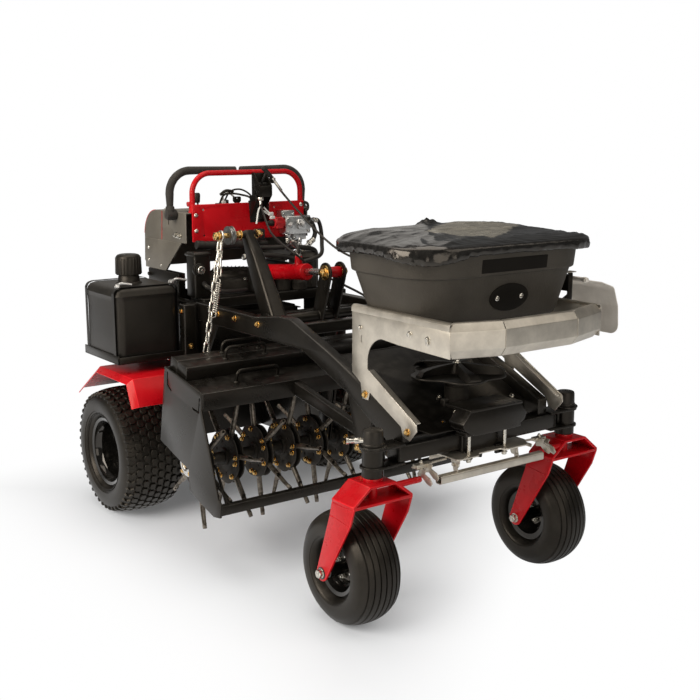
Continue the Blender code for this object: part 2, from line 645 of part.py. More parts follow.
def console_body():
    """Grey console: top, two cheeks and a curved rear, open to the front and below."""
    outline = [(CONSOLE_FRONT_Y, CONSOLE_BOTTOM_Z), (CONSOLE_FRONT_Y, CONSOLE_TOP_Z)]
    outline += arc((CONSOLE_REAR_Y - 0.110, CONSOLE_TOP_Z - 0.110), 0.110, 90, 0, 6)
    outline += [(CONSOLE_REAR_Y, CONSOLE_BOTTOM_Z)]
    inner_r = 0.110 - CONSOLE_WALL
    hollow = [(CONSOLE_FRONT_Y - 0.02, CONSOLE_BOTTOM_Z - 0.02),
              (CONSOLE_FRONT_Y - 0.02, CONSOLE_TOP_Z - CONSOLE_WALL)]
    hollow += arc((CONSOLE_REAR_Y - 0.110, CONSOLE_TOP_Z - 0.110), inner_r, 90, 0, 6)
    hollow += [(CONSOLE_REAR_Y - CONSOLE_WALL, CONSOLE_BOTTOM_Z - 0.02)]
    body = plate(outline, (-CONSOLE_HALF, CONSOLE_HALF), "console")
    cut(body, plate(hollow, (-CONSOLE_HALF + CONSOLE_WALL, CONSOLE_HALF - CONSOLE_WALL), "console_hollow"))
    piece("console_body", body, GREY)


def front_panel():
    """Red panel with the fixed hoop that the hands rest on."""
    y1 = CONSOLE_FRONT_Y - FIT
    panel = block((-PANEL_HALF, PANEL_HALF), (y1 - 0.009, y1), (PANEL_BOTTOM_Z, PANEL_TOP_Z), "panel")
    foot_z = CONSOLE_TOP_Z + 0.004
    cross = block((-0.002, 0.092), (y1 - 0.03, y1 - 0.0045), (1.150, 1.240), "notch")
    cut(panel, cross)
    corners = [(-HOOP_HALF, HOOP_Y, foot_z), (-HOOP_HALF, HOOP_Y, HOOP_TOP_Z),
               (HOOP_HALF, HOOP_Y, HOOP_TOP_Z), (HOOP_HALF, HOOP_Y, foot_z)]
    weld(panel, tube(rounded_path(corners, HOOP_CORNER), HOOP_R, "hoop", 1))
    piece("front_panel", panel, RED, smooth=35)


def drive_lever(side, label):
    """One foam-covered steering lever: boss, upright and grip."""
    boss_in = side * (CONSOLE_HALF + FIT)
    boss = bar((boss_in, LEVER_Y, LEVER_Z), (side * (LEVER_OUT_X + 0.018), LEVER_Y, LEVER_Z), 0.022, 16, name="boss")
    top = LEVER_TOP_Z
    path = rounded_path([(side * LEVER_OUT_X, LEVER_Y, LEVER_Z + 0.004), (side * LEVER_OUT_X, LEVER_Y, top),
                         (side * LEVER_GAP, LEVER_Y, top)], 0.090)
    weld(boss, tube(path, LEVER_GRIP_R, "grip", 1))
    piece("drive_lever_" + label, boss, FOAM, (side * LEVER_OUT_X, LEVER_Y, LEVER_Z), smooth=40)


def throttle_lever():
    """Throttle stem on its little cross barrel, which turns on the console top."""
    base = CONSOLE_TOP_Z + FIT
    axis_z = base + THROTTLE_BARREL_R
    origin = (THROTTLE_X, CONTROLS_Y, axis_z)
    stem = bar((THROTTLE_X - 0.010, CONTROLS_Y, axis_z), (THROTTLE_X + 0.010, CONTROLS_Y, axis_z),
               THROTTLE_BARREL_R, 12, name="barrel")
    weld(stem, bar(origin, (THROTTLE_X, CONTROLS_Y, base + 0.045), 0.006, 10, name="stem"))
    weld(stem, bar((THROTTLE_X, CONTROLS_Y + 0.002, base + 0.034), (THROTTLE_X, CONTROLS_Y + 0.006, base + 0.072), 0.011, 10, 0.014, "knob"))
    piece("throttle_lever", stem, PLASTIC, origin, smooth=40)


def choke_knob():
    base = CONSOLE_TOP_Z + FIT
    stem = bar((CHOKE_X, CONTROLS_Y, base), (CHOKE_X, CONTROLS_Y, base + 0.024), 0.005, 10, name="stem")
    weld(stem, bar((CHOKE_X, CONTROLS_Y, base + 0.020), (CHOKE_X, CONTROLS_Y, base + 0.038), 0.012, 12, 0.014, "knob"))
    piece("choke_knob", stem, RED, (CHOKE_X, CONTROLS_Y, base), smooth=40)


def ignition_key():
    base = CONSOLE_TOP_Z + FIT
    y = CONTROLS_Y - 0.020
    key = bar((KEY_X, y, base), (KEY_X, y, base + 0.030), 0.011, 12, name="barrel")
    weld(key, block((KEY_X - 0.018, KEY_X + 0.018), (y - 0.003, y + 0.003), (base + 0.028, base + 0.054), "bow"))
    piece("ignition_key", key, PLASTIC, (KEY_X, y, base))


def control_bracket():
    """Black bracket in the notch of the panel; it holds both cable ends."""
    y1 = CONSOLE_FRONT_Y - FIT - 0.0045 - FIT
    foot = block((0.000, 0.090), (y1 - 0.006, y1), (1.1505, 1.232), "foot")
    mast = [(y1 - 0.006, 1.200), (y1 - 0.060, 1.262), (y1 - 0.060, 1.300), (y1 - 0.020, 1.352),
            (y1 - 0.001, 1.352), (y1 - 0.001, 1.200)]
    weld(foot, plate(mast, (0.012, 0.017), "mast"), plate(mast, (0.068, 0.073), "mast"))
    weld(foot, block((0.013, 0.072), (y1 - 0.058, y1 - 0.053), (1.255, 1.300), "cable_stop"))
    weld(foot, block((0.072, 0.100), (y1 - 0.044, y1 - 0.038), (1.308, 1.330), "cable_tab"))
    piece("control_bracket", foot, BLACK)


def gate_lever():
    """Rate lever between the masts, with its rubber grip above."""
    y = CONSOLE_FRONT_Y - 0.030
    axis = (0.0425, y, GATE_LEVER_Z)
    pin = bar((0.017 + FIT, y, GATE_LEVER_Z), (0.068 - FIT, y, GATE_LEVER_Z), 0.007, 12, name="pin")
    weld(pin, bar(axis, (0.048, y - 0.030, GATE_LEVER_Z + 0.053), 0.005, 8, name="rod"))
    weld(pin, bar((0.066, y - 0.033, GATE_LEVER_Z + 0.035), (0.038, y - 0.033, GATE_LEVER_Z + 0.066), 0.0085, 10, 0.0075, "grip"))
    piece("gate_lever", pin, PLASTIC, axis, smooth=40)


def thigh_pad():
    """Upholstered pad on the rear of the console, crowned at its middle."""
    across, up = 10, 4
    half_x, low, high = 0.205, 0.975, 1.085
    back = CONSOLE_REAR_Y + FIT
    bm = bmesh.new()
    grids = []
    for face in (0, 1):
        rows = []
        for j in range(up + 1):
            v = 2 * j / up - 1
            row = []
            for i in range(across + 1):
                u = 2 * i / across - 1
                crown = max(0.0, (1 - u ** 4) * (1 - v ** 4)) ** 0.5
                squeeze = 1 - 0.02 * (1 - u * u)
                x = half_x * u * (1 - 0.03 * (1 - v * v))
                z = (low + high) / 2 + (high - low) / 2 * v * squeeze
                y = back if face == 0 else back + 0.014 + 0.030 * crown
                row.append(bm.verts.new((x, y, z)))
            rows.append(row)
        grids.append(rows)
    for rows in grids:
        for j in range(up):
            for i in range(across):
                bm.faces.new((rows[j][i], rows[j][i + 1], rows[j + 1][i + 1], rows[j + 1][i]))
    rims = []
    for rows in grids:
        rims.append(rows[0] + [row[-1] for row in rows[1:]] + rows[-1][-2::-1] + [row[0] for row in rows[-2:0:-1]])
    for i in range(len(rims[0])):
        j = (i + 1) % len(rims[0])
        bm.faces.new((rims[0][i], rims[0][j], rims[1][j], rims[1][i]))
    piece("thigh_pad", shape("pad", bm), FOAM, smooth=50)


# Power and tank


def engine():
    """Engine on its deck: crankcase, blower housing, two heads, intake and air cleaner."""
    base = ENGINE_DECK_Z + FIT
    body = block((-0.190, 0.190), (1.215, 1.580), (base, 0.800), "crankcase")
    weld(body, bar((0, 1.400, 0.798), (0, 1.400, 0.925), 0.180, 16, 0.170, "blower"))
    weld(body, bar((0, 1.400, 0.924), (0, 1.400, 0.945), 0.100, 16, 0.080, "screen"))
    for side in (-1, 1):
        weld(body, block(sorted((side * 0.188, side * 0.255)), (1.270, 1.400), (0.640, 0.790), "head"))
    weld(body, bar((0.120, 1.300, 0.890), (0.232, 1.217, 0.935), 0.026, 8, name="intake"))
    weld(body, bar((0.235, 1.215, 0.8725), (0.235, 1.215, 1.000), 0.060, 14, name="air_cleaner"))
    weld(body, bar((0.235, 1.215, 0.998), (0.235, 1.215, 1.022), 0.050, 14, 0.036, "air_cleaner_lid"))
    piece("engine", body, CAST_IRON, smooth=30)


def oil_filter_box():
    """Hydraulic filter housing at the right front of the engine."""
    body = block((-0.300, -0.228), (1.180, 1.250), (0.872 + FIT, 1.052), "housing")
    weld(body, bar((-0.292, 1.182, 0.985), (-0.292, 1.160, 0.985), 0.018, 12, name="cap"))
    piece("oil_filter_box", body, BLACK)


def fuel_tank():
    """Blow-moulded tank on its tray, with a threaded neck."""
    x0, x1 = -FENDER_OUT + 0.012, -0.392
    y0, y1 = 1.140, 1.430
    z0, z1 = TRAY_TOP_Z + FIT, 0.943
    edge = 0.022
    section = [(x0 + edge, y0), (x1 - edge, y0), (x1, y0 + edge), (x1, y1 - edge),
               (x1 - edge, y1), (x0 + edge, y1), (x0, y1 - edge), (x0, y0 + edge)]
    tank = flat_plate(section, (z0, z1 - edge), "tank")
    bm = bmesh.new()
    inset = [(x + (edge if x < (x0 + x1) / 2 else -edge) * 0.8, y + (edge if y < 1.285 else -edge) * 0.8) for x, y in section]
    rings = []
    for outline, z in ((section, z1 - edge - 0.001), (section, z1 - edge), (inset, z1)):
        rings.append([bm.verts.new((x, y, z)) for x, y in outline])
    bm.faces.new(rings[0])
    bm.faces.new(rings[-1])
    for lower, upper in zip(rings, rings[1:]):
        for i in range(8):
            bm.faces.new((lower[i], lower[(i + 1) % 8], upper[(i + 1) % 8], upper[i]))
    weld(tank, shape("tank_top", bm))
    weld(tank, bar((-0.530, 1.285, z1 - 0.010), (-0.530, 1.285, 0.975 - FIT), 0.040, 16, name="neck"))
    weld(tank, bar((-0.530, 1.285, 0.965), (-0.530, 1.285, 1.010), 0.030, 16, name="thread"))
    piece("fuel_tank", tank, PLASTIC)


def fuel_cap():
    base = 0.975
    thread = bore_radius(0.030, 16)
    profile = [(base, thread), (base, 0.049), (1.045, 0.047), (1.053, 0.040),
               (1.053, 0.003), (1.020, 0.003), (1.020, thread)]
    cap = turned(profile, (-0.530, 1.285, 0), (0, 0, 1), 16, "cap")
    weld(cap, bar((-0.530, 1.285, 1.022), (-0.530, 1.285, 1.050), 0.010, 12, name="cap_core"))
    piece("fuel_cap", cap, PLASTIC, (-0.530, 1.285, base), smooth=30)


def valve_block():
    """Hydraulic valve on the front panel, with its coil and port fittings."""
    back = CONSOLE_FRONT_Y - FIT - 0.009 - FIT
    block_y = (back - 0.052, back)
    body = block((0.140, 0.262), block_y, (1.098, 1.172), "manifold")
    weld(body, block((0.128, 0.190), (back - 0.040, back - 0.001), (1.165, 1.196), "upper"))
    weld(body, block((0.182, 0.248), (back - 0.040, back - 0.001), (1.072, 1.104), "lower"))
    weld(body, bar((0.094, back - 0.026, 1.146), (0.146, back - 0.026, 1.146), 0.022, 12, name="coil"))
    weld(body, bar((0.072, back - 0.026, 1.146), (0.098, back - 0.026, 1.146), 0.012, 12, name="plunger"))
    weld(body, bar((0.256, back - 0.026, 1.150), (0.292, back - 0.026, 1.150), 0.012, 10, name="side_port"))
    weld(body, bar((0.165, back - 0.026, 1.102), (0.165, back - 0.026, 1.080), 0.012, 10, name="bottom_port"))
    piece("valve_block", body, ZINC)


def hose(name, points, radius, finish=RUBBER, resolution=1):
    piece(name, tube(points, radius, name, resolution), finish, smooth=60)


def smooth_route(points, parts=4):
    """A cord's route: a soft curve through its chosen points."""
    spots = [Vector(p) for p in points]
    spots = [spots[0] * 2 - spots[1]] + spots + [spots[-1] * 2 - spots[-2]]
    route = []
    for a, b, c, d in zip(spots, spots[1:], spots[2:], spots[3:]):
        for step in range(parts):
            t = step / parts
            route.append(0.5 * (2 * b + (c - a) * t + (2 * a - 5 * b + 4 * c - d) * t * t
                                + (3 * b - a - 3 * c + d) * t ** 3))
    route.append(spots[-2])
    return route


def hoses_and_cables():
    valve_y = CONSOLE_FRONT_Y - 0.036
    hose("pressure_hose", smooth_route([
        (0.165, valve_y, 1.0793), (0.165, valve_y, 1.068), (0.165, valve_y, 1.056), (0.130, valve_y - 0.050, 1.040),
        (0.060, valve_y - 0.160, 1.066), (0.014, valve_y - 0.270, 1.088), (0.0, 0.905, 1.074),
        (0.0, 0.900, 1.0415)], 2), 0.0085)
    hose("return_hose", smooth_route([
        (0.2925, valve_y, 1.150), (0.318, valve_y, 1.146), (0.330, valve_y - 0.004, 1.110),
        (0.324, valve_y - 0.020, 1.050), (0.255, valve_y - 0.102, 1.010), (0.150, valve_y - 0.096, 0.984),
        (0.080, 1.1395, 0.961), (0.0466, 1.1395, 0.960)], 2), 0.0085)
    stop_y = CONSOLE_FRONT_Y - 0.0608
    hose("gate_cable", smooth_route([
        (0.020, stop_y, 1.255 - FIT), (0.020, stop_y, 1.247), (0.020, stop_y, 1.238), (0.018, stop_y - 0.004, 1.225), (-0.014, 1.080, 1.129),
        (-0.032, 0.970, 1.090), (-0.030, 0.893, 1.062), (-0.014, 0.881, 1.047), (0.012, 0.873, 1.022), (0.040, 0.862, 0.998),
        (0.066, 0.820, 0.972), (0.086, 0.720, 0.945), (0.080, 0.600, 0.925), (0.020, 0.400, 0.908),
        (-0.060, 0.250, 0.895), (-0.105, 0.150, 0.887), (-0.110, 0.100, 0.8872), (-0.110, 0.072, 0.8872)], 2),
         0.0045, resolution=0)
    hose("deflector_cable", smooth_route([
        (0.083, 1.2085, 1.328), (0.0965, 1.2035, 1.306), (0.1237, 1.190, 1.2635), (0.163, 1.130, 1.189),
        (0.2095, 1.020, 1.089), (0.243, 0.900, 1.030), (0.285, 0.700, 0.998), (0.335, 0.420, 0.976), (0.366, 0.180, 0.960),
        (0.366, 0.060, 0.960), (0.366, -0.055, 0.965)], 2), 0.0045, resolution=0)


# Tine unit


def unit(s, t):
    """Level coordinates of the tine unit (behind, above its shaft) as (y, z)."""
    cos, sin = math.cos(UNIT_TILT), math.sin(UNIT_TILT)
    return (SHAFT_Y + s * cos - t * sin, SHAFT_Z + s * sin + t * cos)


def unit_plate(outline, x, name="plate"):
    return plate([unit(s, t) for s, t in outline], x, name)


def unit_box(x, s, t, name="box"):
    return unit_plate([(s[0], t[0]), (s[1], t[0]), (s[1], t[1]), (s[0], t[1])], x, name)


def tine_frame():
    """Welded tine carrier: end plates, tray, cross bars, bearings and draft arms."""
    wide = UNIT_HALF - 0.002
    frame = unit_box((-wide, wide), (-0.080, 0.186), (TRAY_T - 0.008, TRAY_T), "tray")
    weld(frame, unit_box((-wide, wide), (-0.090, -0.078), (0.238, 0.303), "top_bar"))
    weld(frame, unit_box((-wide, wide), (0.178, 0.186), (0.170, 0.302), "rear_apron"))
    end = [(0.187, 0.013), (0.187, 0.304), (-0.080, 0.304), (-0.091, 0.241), (-0.2445, -0.024),
           (-0.266, -0.032), (-0.266, -0.082), (-0.224, -0.0975), (-0.102, -0.088), (-0.049, -0.078), (-0.033, -0.007)]
    hanger = [(-0.030, 0.264), (0.030, 0.264), (0.034, 0.0), (0.0, -0.036), (-0.034, 0.0)]
    axle_y, axle_z = unit(0, 0)
    for side in (-1, 1):
        plate_x = sorted((side * (UNIT_HALF - 0.008), side * UNIT_HALF))
        weld(frame, unit_plate(end, plate_x, "end_plate"))
        weld(frame, bar((side * (UNIT_HALF - 0.028), axle_y, axle_z), (side * (UNIT_HALF - 0.006), axle_y, axle_z), 0.048, 12, name="bearing"))
        arm = [unit(-0.084, 0.296), unit(-0.084, 0.246), (HINGE_Y + 0.010, HINGE_Z - 0.016),
               (HINGE_Y - 0.010, HINGE_Z - 0.010), (HINGE_Y - 0.002, HINGE_Z + 0.016)]
        weld(frame, plate(arm, sorted((side * ARM_IN, side * ARM_OUT)), "draft_arm"))
    weld(frame, unit_plate(hanger, (-0.012, 0.012), "middle_hanger"))
    weld(frame, unit_box((-wide - 0.001, wide + 0.001), (-0.265, -0.256), (-0.076, -0.040), "bottom_bar"))
    weld(frame, bar((-HINGE_HANGER_X + FIT, HINGE_Y, HINGE_Z), (HINGE_HANGER_X - FIT, HINGE_Y, HINGE_Z), HINGE_R, 10, name="hinge_tube"))
    lug_x = CHAIN_END_X
    weld(frame, unit_box((-lug_x - 0.016, -lug_x + 0.016), (0.180, 0.192), (0.230, 0.300), "chain_lug"))
    for first, last in ((0.016 - UNIT_HALF, 0.042 - UNIT_HALF), (UNIT_HALF - 0.042, UNIT_HALF - 0.016), (-0.03, 0.03)):
        cut(frame, bar((first, axle_y, axle_z), (last, axle_y, axle_z), bore_radius(TINE_SHAFT_R, 10), 10, name="bore"))
    piece("tine_frame", frame, BLACK, (0, HINGE_Y, HINGE_Z))


def tine_rotor(side, label):
    """Half shaft with five star discs, each with six hollow coring tines."""
    shaft = bar((side * 0.001, SHAFT_Y, SHAFT_Z), (side * (UNIT_HALF - 0.017), SHAFT_Y, SHAFT_Z), TINE_SHAFT_R, 10, name="shaft")
    for number in range(STARS_PER_SIDE):
        x = side * STAR_PITCH * (number + 0.5)
        # stars are numbered from the machine's right end, as the even and odd phases are
        index = STARS_PER_SIDE - 1 - number if side < 0 else STARS_PER_SIDE + number
        phase = EVEN_PHASE if index % 2 == 0 else ODD_PHASE
        star = bar((x - STAR_DISC_T / 2, SHAFT_Y, SHAFT_Z), (x + STAR_DISC_T / 2, SHAFT_Y, SHAFT_Z), STAR_DISC_R, 8, name="disc")
        for tine in range(TINES_PER_STAR):
            angle = phase - tine * math.tau / TINES_PER_STAR
            ahead = Vector((0, -math.cos(angle), math.sin(angle)))
            centre = Vector((x, SHAFT_Y, SHAFT_Z))
            weld(star, bar(centre + ahead * (STAR_DISC_R - 0.035), centre + ahead * TINE_TIP_R, TINE_R, 4, TINE_R * 0.75, "tine"))
        weld(shaft, star)
    piece("tine_rotor_" + label, shaft, CAST_IRON, (0, SHAFT_Y, SHAFT_Z))


def weight(name, s, t, handle_s, handle_x):
    """Ballast bar on the tray, with one bent rod handle at each end."""
    floor = TRAY_T + FIT
    slab = unit_box((0.018 - UNIT_HALF, UNIT_HALF - 0.018), s, (floor, t), name)
    for side in (-1, 1):
        x0, x1 = side * handle_x[0], side * handle_x[1]
        corners = []
        for x, rise in ((x0, -0.006), (x0, 0.042), (x1, 0.042), (x1, -0.006)):
            y, z = unit(handle_s, t + rise)
            corners.append((x, y, z))
        weld(slab, tube(rounded_path(corners, 0.018, 2), 0.006, "handle", 0))
    piece(name, slab, BLACK)


def tine_weights():
    weight("rear_weight", (0.128, 0.1775), 0.341, 0.153, (0.235, 0.390))
    weight("middle_weight", (0.058, 0.128 - FIT), 0.341, 0.093, (0.245, 0.410))
    weight("front_weight", (-0.076, 0.058 - FIT), 0.292, -0.010, (0.250, 0.420))


# Lift linkage


def lift_arm():
    """Bell crank: cross shaft, two short plates to the cylinder and the chain tower."""
    reach = RAIL_IN - FIT
    shaft = bar((-reach, CRANK_Y, CRANK_Z), (reach, CRANK_Y, CRANK_Z), CRANK_SHAFT_R, 12, name="cross_shaft")
    hole_r = ROD_PIN_R + ROD_PIN_SLOT
    outline = arc((ROD_PIN_Y, ROD_PIN_Z), hole_r + 0.012, 200, -10, 6)
    outline += [(CRANK_Y + 0.034, CRANK_Z + 0.010), (CRANK_Y + 0.014, CRANK_Z - 0.026), (CRANK_Y - 0.030, CRANK_Z - 0.014)]
    for x in (-0.036, 0.029):
        short = plate(outline, (x, x + 0.007), "short_plate")
        cut(short, bar((x - 0.01, ROD_PIN_Y, ROD_PIN_Z), (x + 0.02, ROD_PIN_Y, ROD_PIN_Z), hole_r, 12, name="slot"))
        weld(shaft, short)
    base, top = Vector((CRANK_Y, CRANK_Z)), Vector((ANCHOR_Y, ANCHOR_Z))
    along = (top - base).normalized()
    across = Vector((-along.y, along.x))
    tower = [base - along * 0.020 + across * 0.034, base + along * 0.250 + across * 0.034,
             top + along * 0.012 + across * 0.014, top + along * 0.012 - across * 0.014,
             base + along * 0.250 - across * 0.030, base - along * 0.028 - across * 0.030]
    hollow = [base + along * 0.040 - across * 0.060, base + along * 0.040 + across * 0.026,
              top + along * 0.040 + across * 0.006, top + along * 0.040 - across * 0.060]
    channel = plate([tuple(p) for p in tower], (-TOWER_OUT, -TOWER_IN), "tower")
    cut(channel, plate([tuple(p) for p in hollow], (-TOWER_OUT + 0.007, -TOWER_IN - 0.007), "tower_hollow"))
    weld(shaft, channel)
    weld(shaft, bar((-CHAIN_X - 0.024, ANCHOR_Y, ANCHOR_Z), (-TOWER_IN + 0.012, ANCHOR_Y, ANCHOR_Z), ANCHOR_R, 10, name="anchor_bolt"))
    weld(shaft, bar((-0.312, ANCHOR_Y, ANCHOR_Z), (-0.292, ANCHOR_Y, ANCHOR_Z), 0.034, 12, name="sheave"))
    weld(shaft, bar((-0.268, ANCHOR_Y, ANCHOR_Z), (-TOWER_OUT + 0.002, ANCHOR_Y, ANCHOR_Z), 0.020, 6, name="inner_nut"))
    weld(shaft, bar((-CHAIN_X - 0.026, ANCHOR_Y, ANCHOR_Z), (-CHAIN_X - 0.012, ANCHOR_Y, ANCHOR_Z), 0.018, 6, name="outer_nut"))
    piece("lift_arm", shaft, BLACK, (0, CRANK_Y, CRANK_Z))


def cylinder_direction():
    pivot = Vector((0, CYLINDER_PIVOT_Y, CYLINDER_PIVOT_Z))
    pin = Vector((0, ROD_PIN_Y, ROD_PIN_Z))
    return pivot, pin, (pin - pivot).normalized()


def lift_cylinder():
    """Red hydraulic barrel with its rear eye, gland and port boss."""
    pivot, pin, ahead = cylinder_direction()
    length = (CYLINDER_PIVOT_Y - CYLINDER_FRONT_Y) / abs(ahead.y)
    barrel = bar(pivot + ahead * 0.030, pivot + ahead * length, CYLINDER_R, 16, name="barrel")
    weld(barrel, bar((-0.0315, pivot.y, pivot.z), (0.0315, pivot.y, pivot.z), 0.020, 12, name="rear_eye"))
    weld(barrel, bar(pivot, pivot + ahead * 0.040, 0.016, 12, name="rear_neck"))
    port = pivot + ahead * ((CYLINDER_PIVOT_Y - 0.900) / abs(ahead.y))
    weld(barrel, bar((0, port.y, port.z), (0, port.y, 1.041), 0.014, 12, name="port"))
    side_port = pivot + ahead * 0.050
    weld(barrel, bar(side_port, side_port + Vector((0.046, 0, 0)), 0.012, 8, name="rear_port"))
    cut(barrel, bar(pivot + ahead * 0.085, pivot + ahead * (length + 0.02), ROD_R + SHAFT_FIT, 12, name="bore"))
    piece("lift_cylinder", barrel, RED, tuple(pivot), smooth=35)


def cylinder_rod():
    """Chrome rod with the cross pin and red bush between the short plates."""
    pivot, pin, ahead = cylinder_direction()
    rod = bar(pivot + ahead * 0.250, pin - ahead * 0.010, ROD_R, 12, name="rod")
    weld(rod, bar((-0.029 + FIT, pin.y, pin.z), (0.029 - FIT, pin.y, pin.z), 0.020, 12, name="bush"))
    weld(rod, bar((-0.056, pin.y, pin.z), (0.056, pin.y, pin.z), ROD_PIN_R, 8, name="pin"))
    for side in (-1, 1):
        face = side * (0.036 + FIT)
        weld(rod, bar((face, pin.y, pin.z), (face + side * 0.004, pin.y, pin.z), 0.028, 12, name="washer"))
        weld(rod, bar((face + side * 0.003, pin.y, pin.z), (face + side * 0.015, pin.y, pin.z), 0.017, 6, name="nut"))
    piece("cylinder_rod", rod, CHROME, tuple(pin), smooth=35)


def chain_points():
    return (Vector((-CHAIN_X, ANCHOR_Y, ANCHOR_Z)), Vector((-CHAIN_END_X, CHAIN_END_Y, CHAIN_END_Z)))


def chain_ring_radius():
    return (ANCHOR_R + FIT) / math.cos(math.pi / CHAIN_RING_SIDES) + CHAIN_WIRE_R


def chain_pitch():
    top, bottom = chain_points()
    return ((bottom - top).length - chain_ring_radius() - CHAIN_WIRE_R * 1.2) / CHAIN_LINKS


def chain_link_place(number):
    """Distance from the anchor to the middle of a link."""
    return chain_ring_radius() + CHAIN_WIRE_R * 0.6 + chain_pitch() * (number + 0.5)


def chain_link(centre, along, across, length, width):
    """One oval link of round wire."""
    points = []
    straight = (length - width) / 2
    for end in (1, -1):
        for step in range(4):
            a = math.radians(-90 + 60 * step)
            points.append(centre + end * (along * (straight + math.cos(a) * width / 2)
                                          + across * (math.sin(a) * width / 2)))
    count = len(points)
    bm = bmesh.new()
    flat = along.cross(across)
    rings = []
    for i, spot in enumerate(points):
        ahead = (points[(i + 1) % count] - points[i - 1]).normalized()
        outward = flat.cross(ahead)
        ring = [bm.verts.new(spot + (outward * math.cos(b) + flat * math.sin(b)) * CHAIN_WIRE_R)
                for b in (math.tau * k / 4 for k in range(4))]
        rings.append(ring)
    for i in range(count):
        a, b = rings[i], rings[(i + 1) % count]
        for k in range(4):
            bm.faces.new((a[k], a[(k + 1) % 4], b[(k + 1) % 4], b[k]))
    return shape("link", bm)


def lift_chain():
    """Short-link chain from the tower's anchor down to the tine frame, drawn taut."""
    top, bottom = chain_points()
    along = (bottom - top).normalized()
    side = Vector((1, 0, 0))
    side = (side - along * side.dot(along)).normalized()
    ahead = along.cross(side)
    ring_r = chain_ring_radius()
    pitch = chain_pitch()
    chain = None
    for number in range(CHAIN_LINKS):
        middle = top + along * chain_link_place(number)
        across = side if number % 2 == 0 else ahead
        link = chain_link(middle, along, across, pitch + CHAIN_WIRE_R * 1.2, CHAIN_LINK_W)
        chain = link if chain is None else weld(chain, link)
    eye = turned([(-CHAIN_WIRE_R, ring_r - CHAIN_WIRE_R), (-CHAIN_WIRE_R, ring_r + CHAIN_WIRE_R),
                  (CHAIN_WIRE_R, ring_r + CHAIN_WIRE_R), (CHAIN_WIRE_R, ring_r - CHAIN_WIRE_R)],
                 top, (1, 0, 0), CHAIN_RING_SIDES, "top_ring")
    weld(chain, eye)
    piece("lift_chain", chain, ZINC, tuple(top))


def chain_spring():
    """Extension spring that takes the slack of the chain; its coils are one wire."""
    top, bottom = chain_points()
    along = (bottom - top).normalized()
    outward = Vector((0, -1, 0))
    outward = (outward - along * outward.dot(along)).normalized()
    third = along.cross(outward)
    offset = outward * (LIFT_SPRING_R + LIFT_SPRING_WIRE_R + CHAIN_LINK_W / 2 + CHAIN_WIRE_R + 0.002)
    start = top + along * chain_link_place(SPRING_FIRST_LINK)
    tail = top + along * chain_link_place(SPRING_LAST_LINK)
    turn_points = 6
    count = LIFT_SPRING_COILS * turn_points
    lead = LIFT_SPRING_R * 2
    coil_pitch = ((tail - start).length - lead * 2) / LIFT_SPRING_COILS
    coils = []
    for i in range(count + 1):
        a = math.tau * i / turn_points
        coils.append(start + offset + along * (lead + coil_pitch * i / turn_points)
                     + (outward * math.cos(a) + third * math.sin(a)) * LIFT_SPRING_R)
    hook = CHAIN_LINK_W / 2 + CHAIN_WIRE_R + FIT
    wire = [start + outward * hook, start + outward * (hook + 0.006) + along * 0.002, coils[0] - along * lead * 0.5]
    wire += coils
    wire += [coils[-1] + along * lead * 0.5, tail + outward * (hook + 0.006) - along * 0.002, tail + outward * hook]
    least = min((a - b).length for i, a in enumerate(coils) for b in coils[i + turn_points - 1:i + turn_points + 2])
    print("least gap of the spring wire to itself, mm:", round((least - 2 * LIFT_SPRING_WIRE_R) * 1000, 3))
    spring = tube(wire, LIFT_SPRING_WIRE_R, "spring", 0)
    piece("chain_spring", spring, ZINC, tuple(top), smooth=60)


# Hopper and spreader


def rounded_rectangle(half_x, half_y, corner, z, arc_steps=3):
    points = []
    for qx, qy, first in ((1, 1, 0), (-1, 1, 90), (-1, -1, 180), (1, -1, 270)):
        centre = (qx * (half_x - corner), HOPPER_Y + qy * (half_y - corner))
        points += [(x, y, z) for x, y in arc(centre, corner, first, first + 90, arc_steps)]
    return points


def lofted(sections, name):
    """Closed skin over stacked outlines that have the same number of points."""
    bm = bmesh.new()
    rings = [[bm.verts.new(p) for p in section] for section in sections]
    for lower, upper in zip(rings, rings[1:]):
        for i in range(len(lower)):
            j = (i + 1) % len(lower)
            bm.faces.new((lower[i], lower[j], upper[j], upper[i]))
    bm.faces.new(rings[0])
    bm.faces.new(rings[-1])
    return shape(name, bm)


def hopper_levels():
    """Half width, half depth, corner radius and height, from the outlet to the rim."""
    return [(0.060, 0.060, 0.055, 0.900), (0.120, 0.110, 0.070, 0.915), (0.286, 0.188, 0.115, 0.952),
            (0.338, 0.208, 0.130, 1.093), (0.350, 0.219, 0.140, 1.100), (0.358, 0.226, 0.145, 1.176),
            (0.382, 0.242, 0.150, 1.178), (0.382, 0.242, 0.150, HOPPER_RIM_Z)]


def hopper():
    """Moulded hopper: outer skin, inner hollow and a round outlet neck."""
    outer = lofted([rounded_rectangle(*level) for level in hopper_levels()], "hopper")
    wall = HOPPER_WALL
    inner = []
    for half_x, half_y, corner, z in hopper_levels()[:6]:
        inner.append(rounded_rectangle(half_x - wall, half_y - wall, corner - wall, z + (wall if z < 1.0 else 0.0)))
    last = hopper_levels()[5]
    inner.append(rounded_rectangle(last[0] - wall, last[1] - wall, last[2] - wall, HOPPER_RIM_Z + 0.01))
    cut(outer, lofted(inner, "hopper_hollow"))
    weld(outer, bar((0, HOPPER_Y, 0.872), (0, HOPPER_Y, 0.902), 0.045, 16, name="neck"))
    cut(outer, bar((0, HOPPER_Y, 0.860), (0, HOPPER_Y, 0.915), 0.030, 16, name="outlet"))
    piece("hopper", outer, HOPPER_PLASTIC)


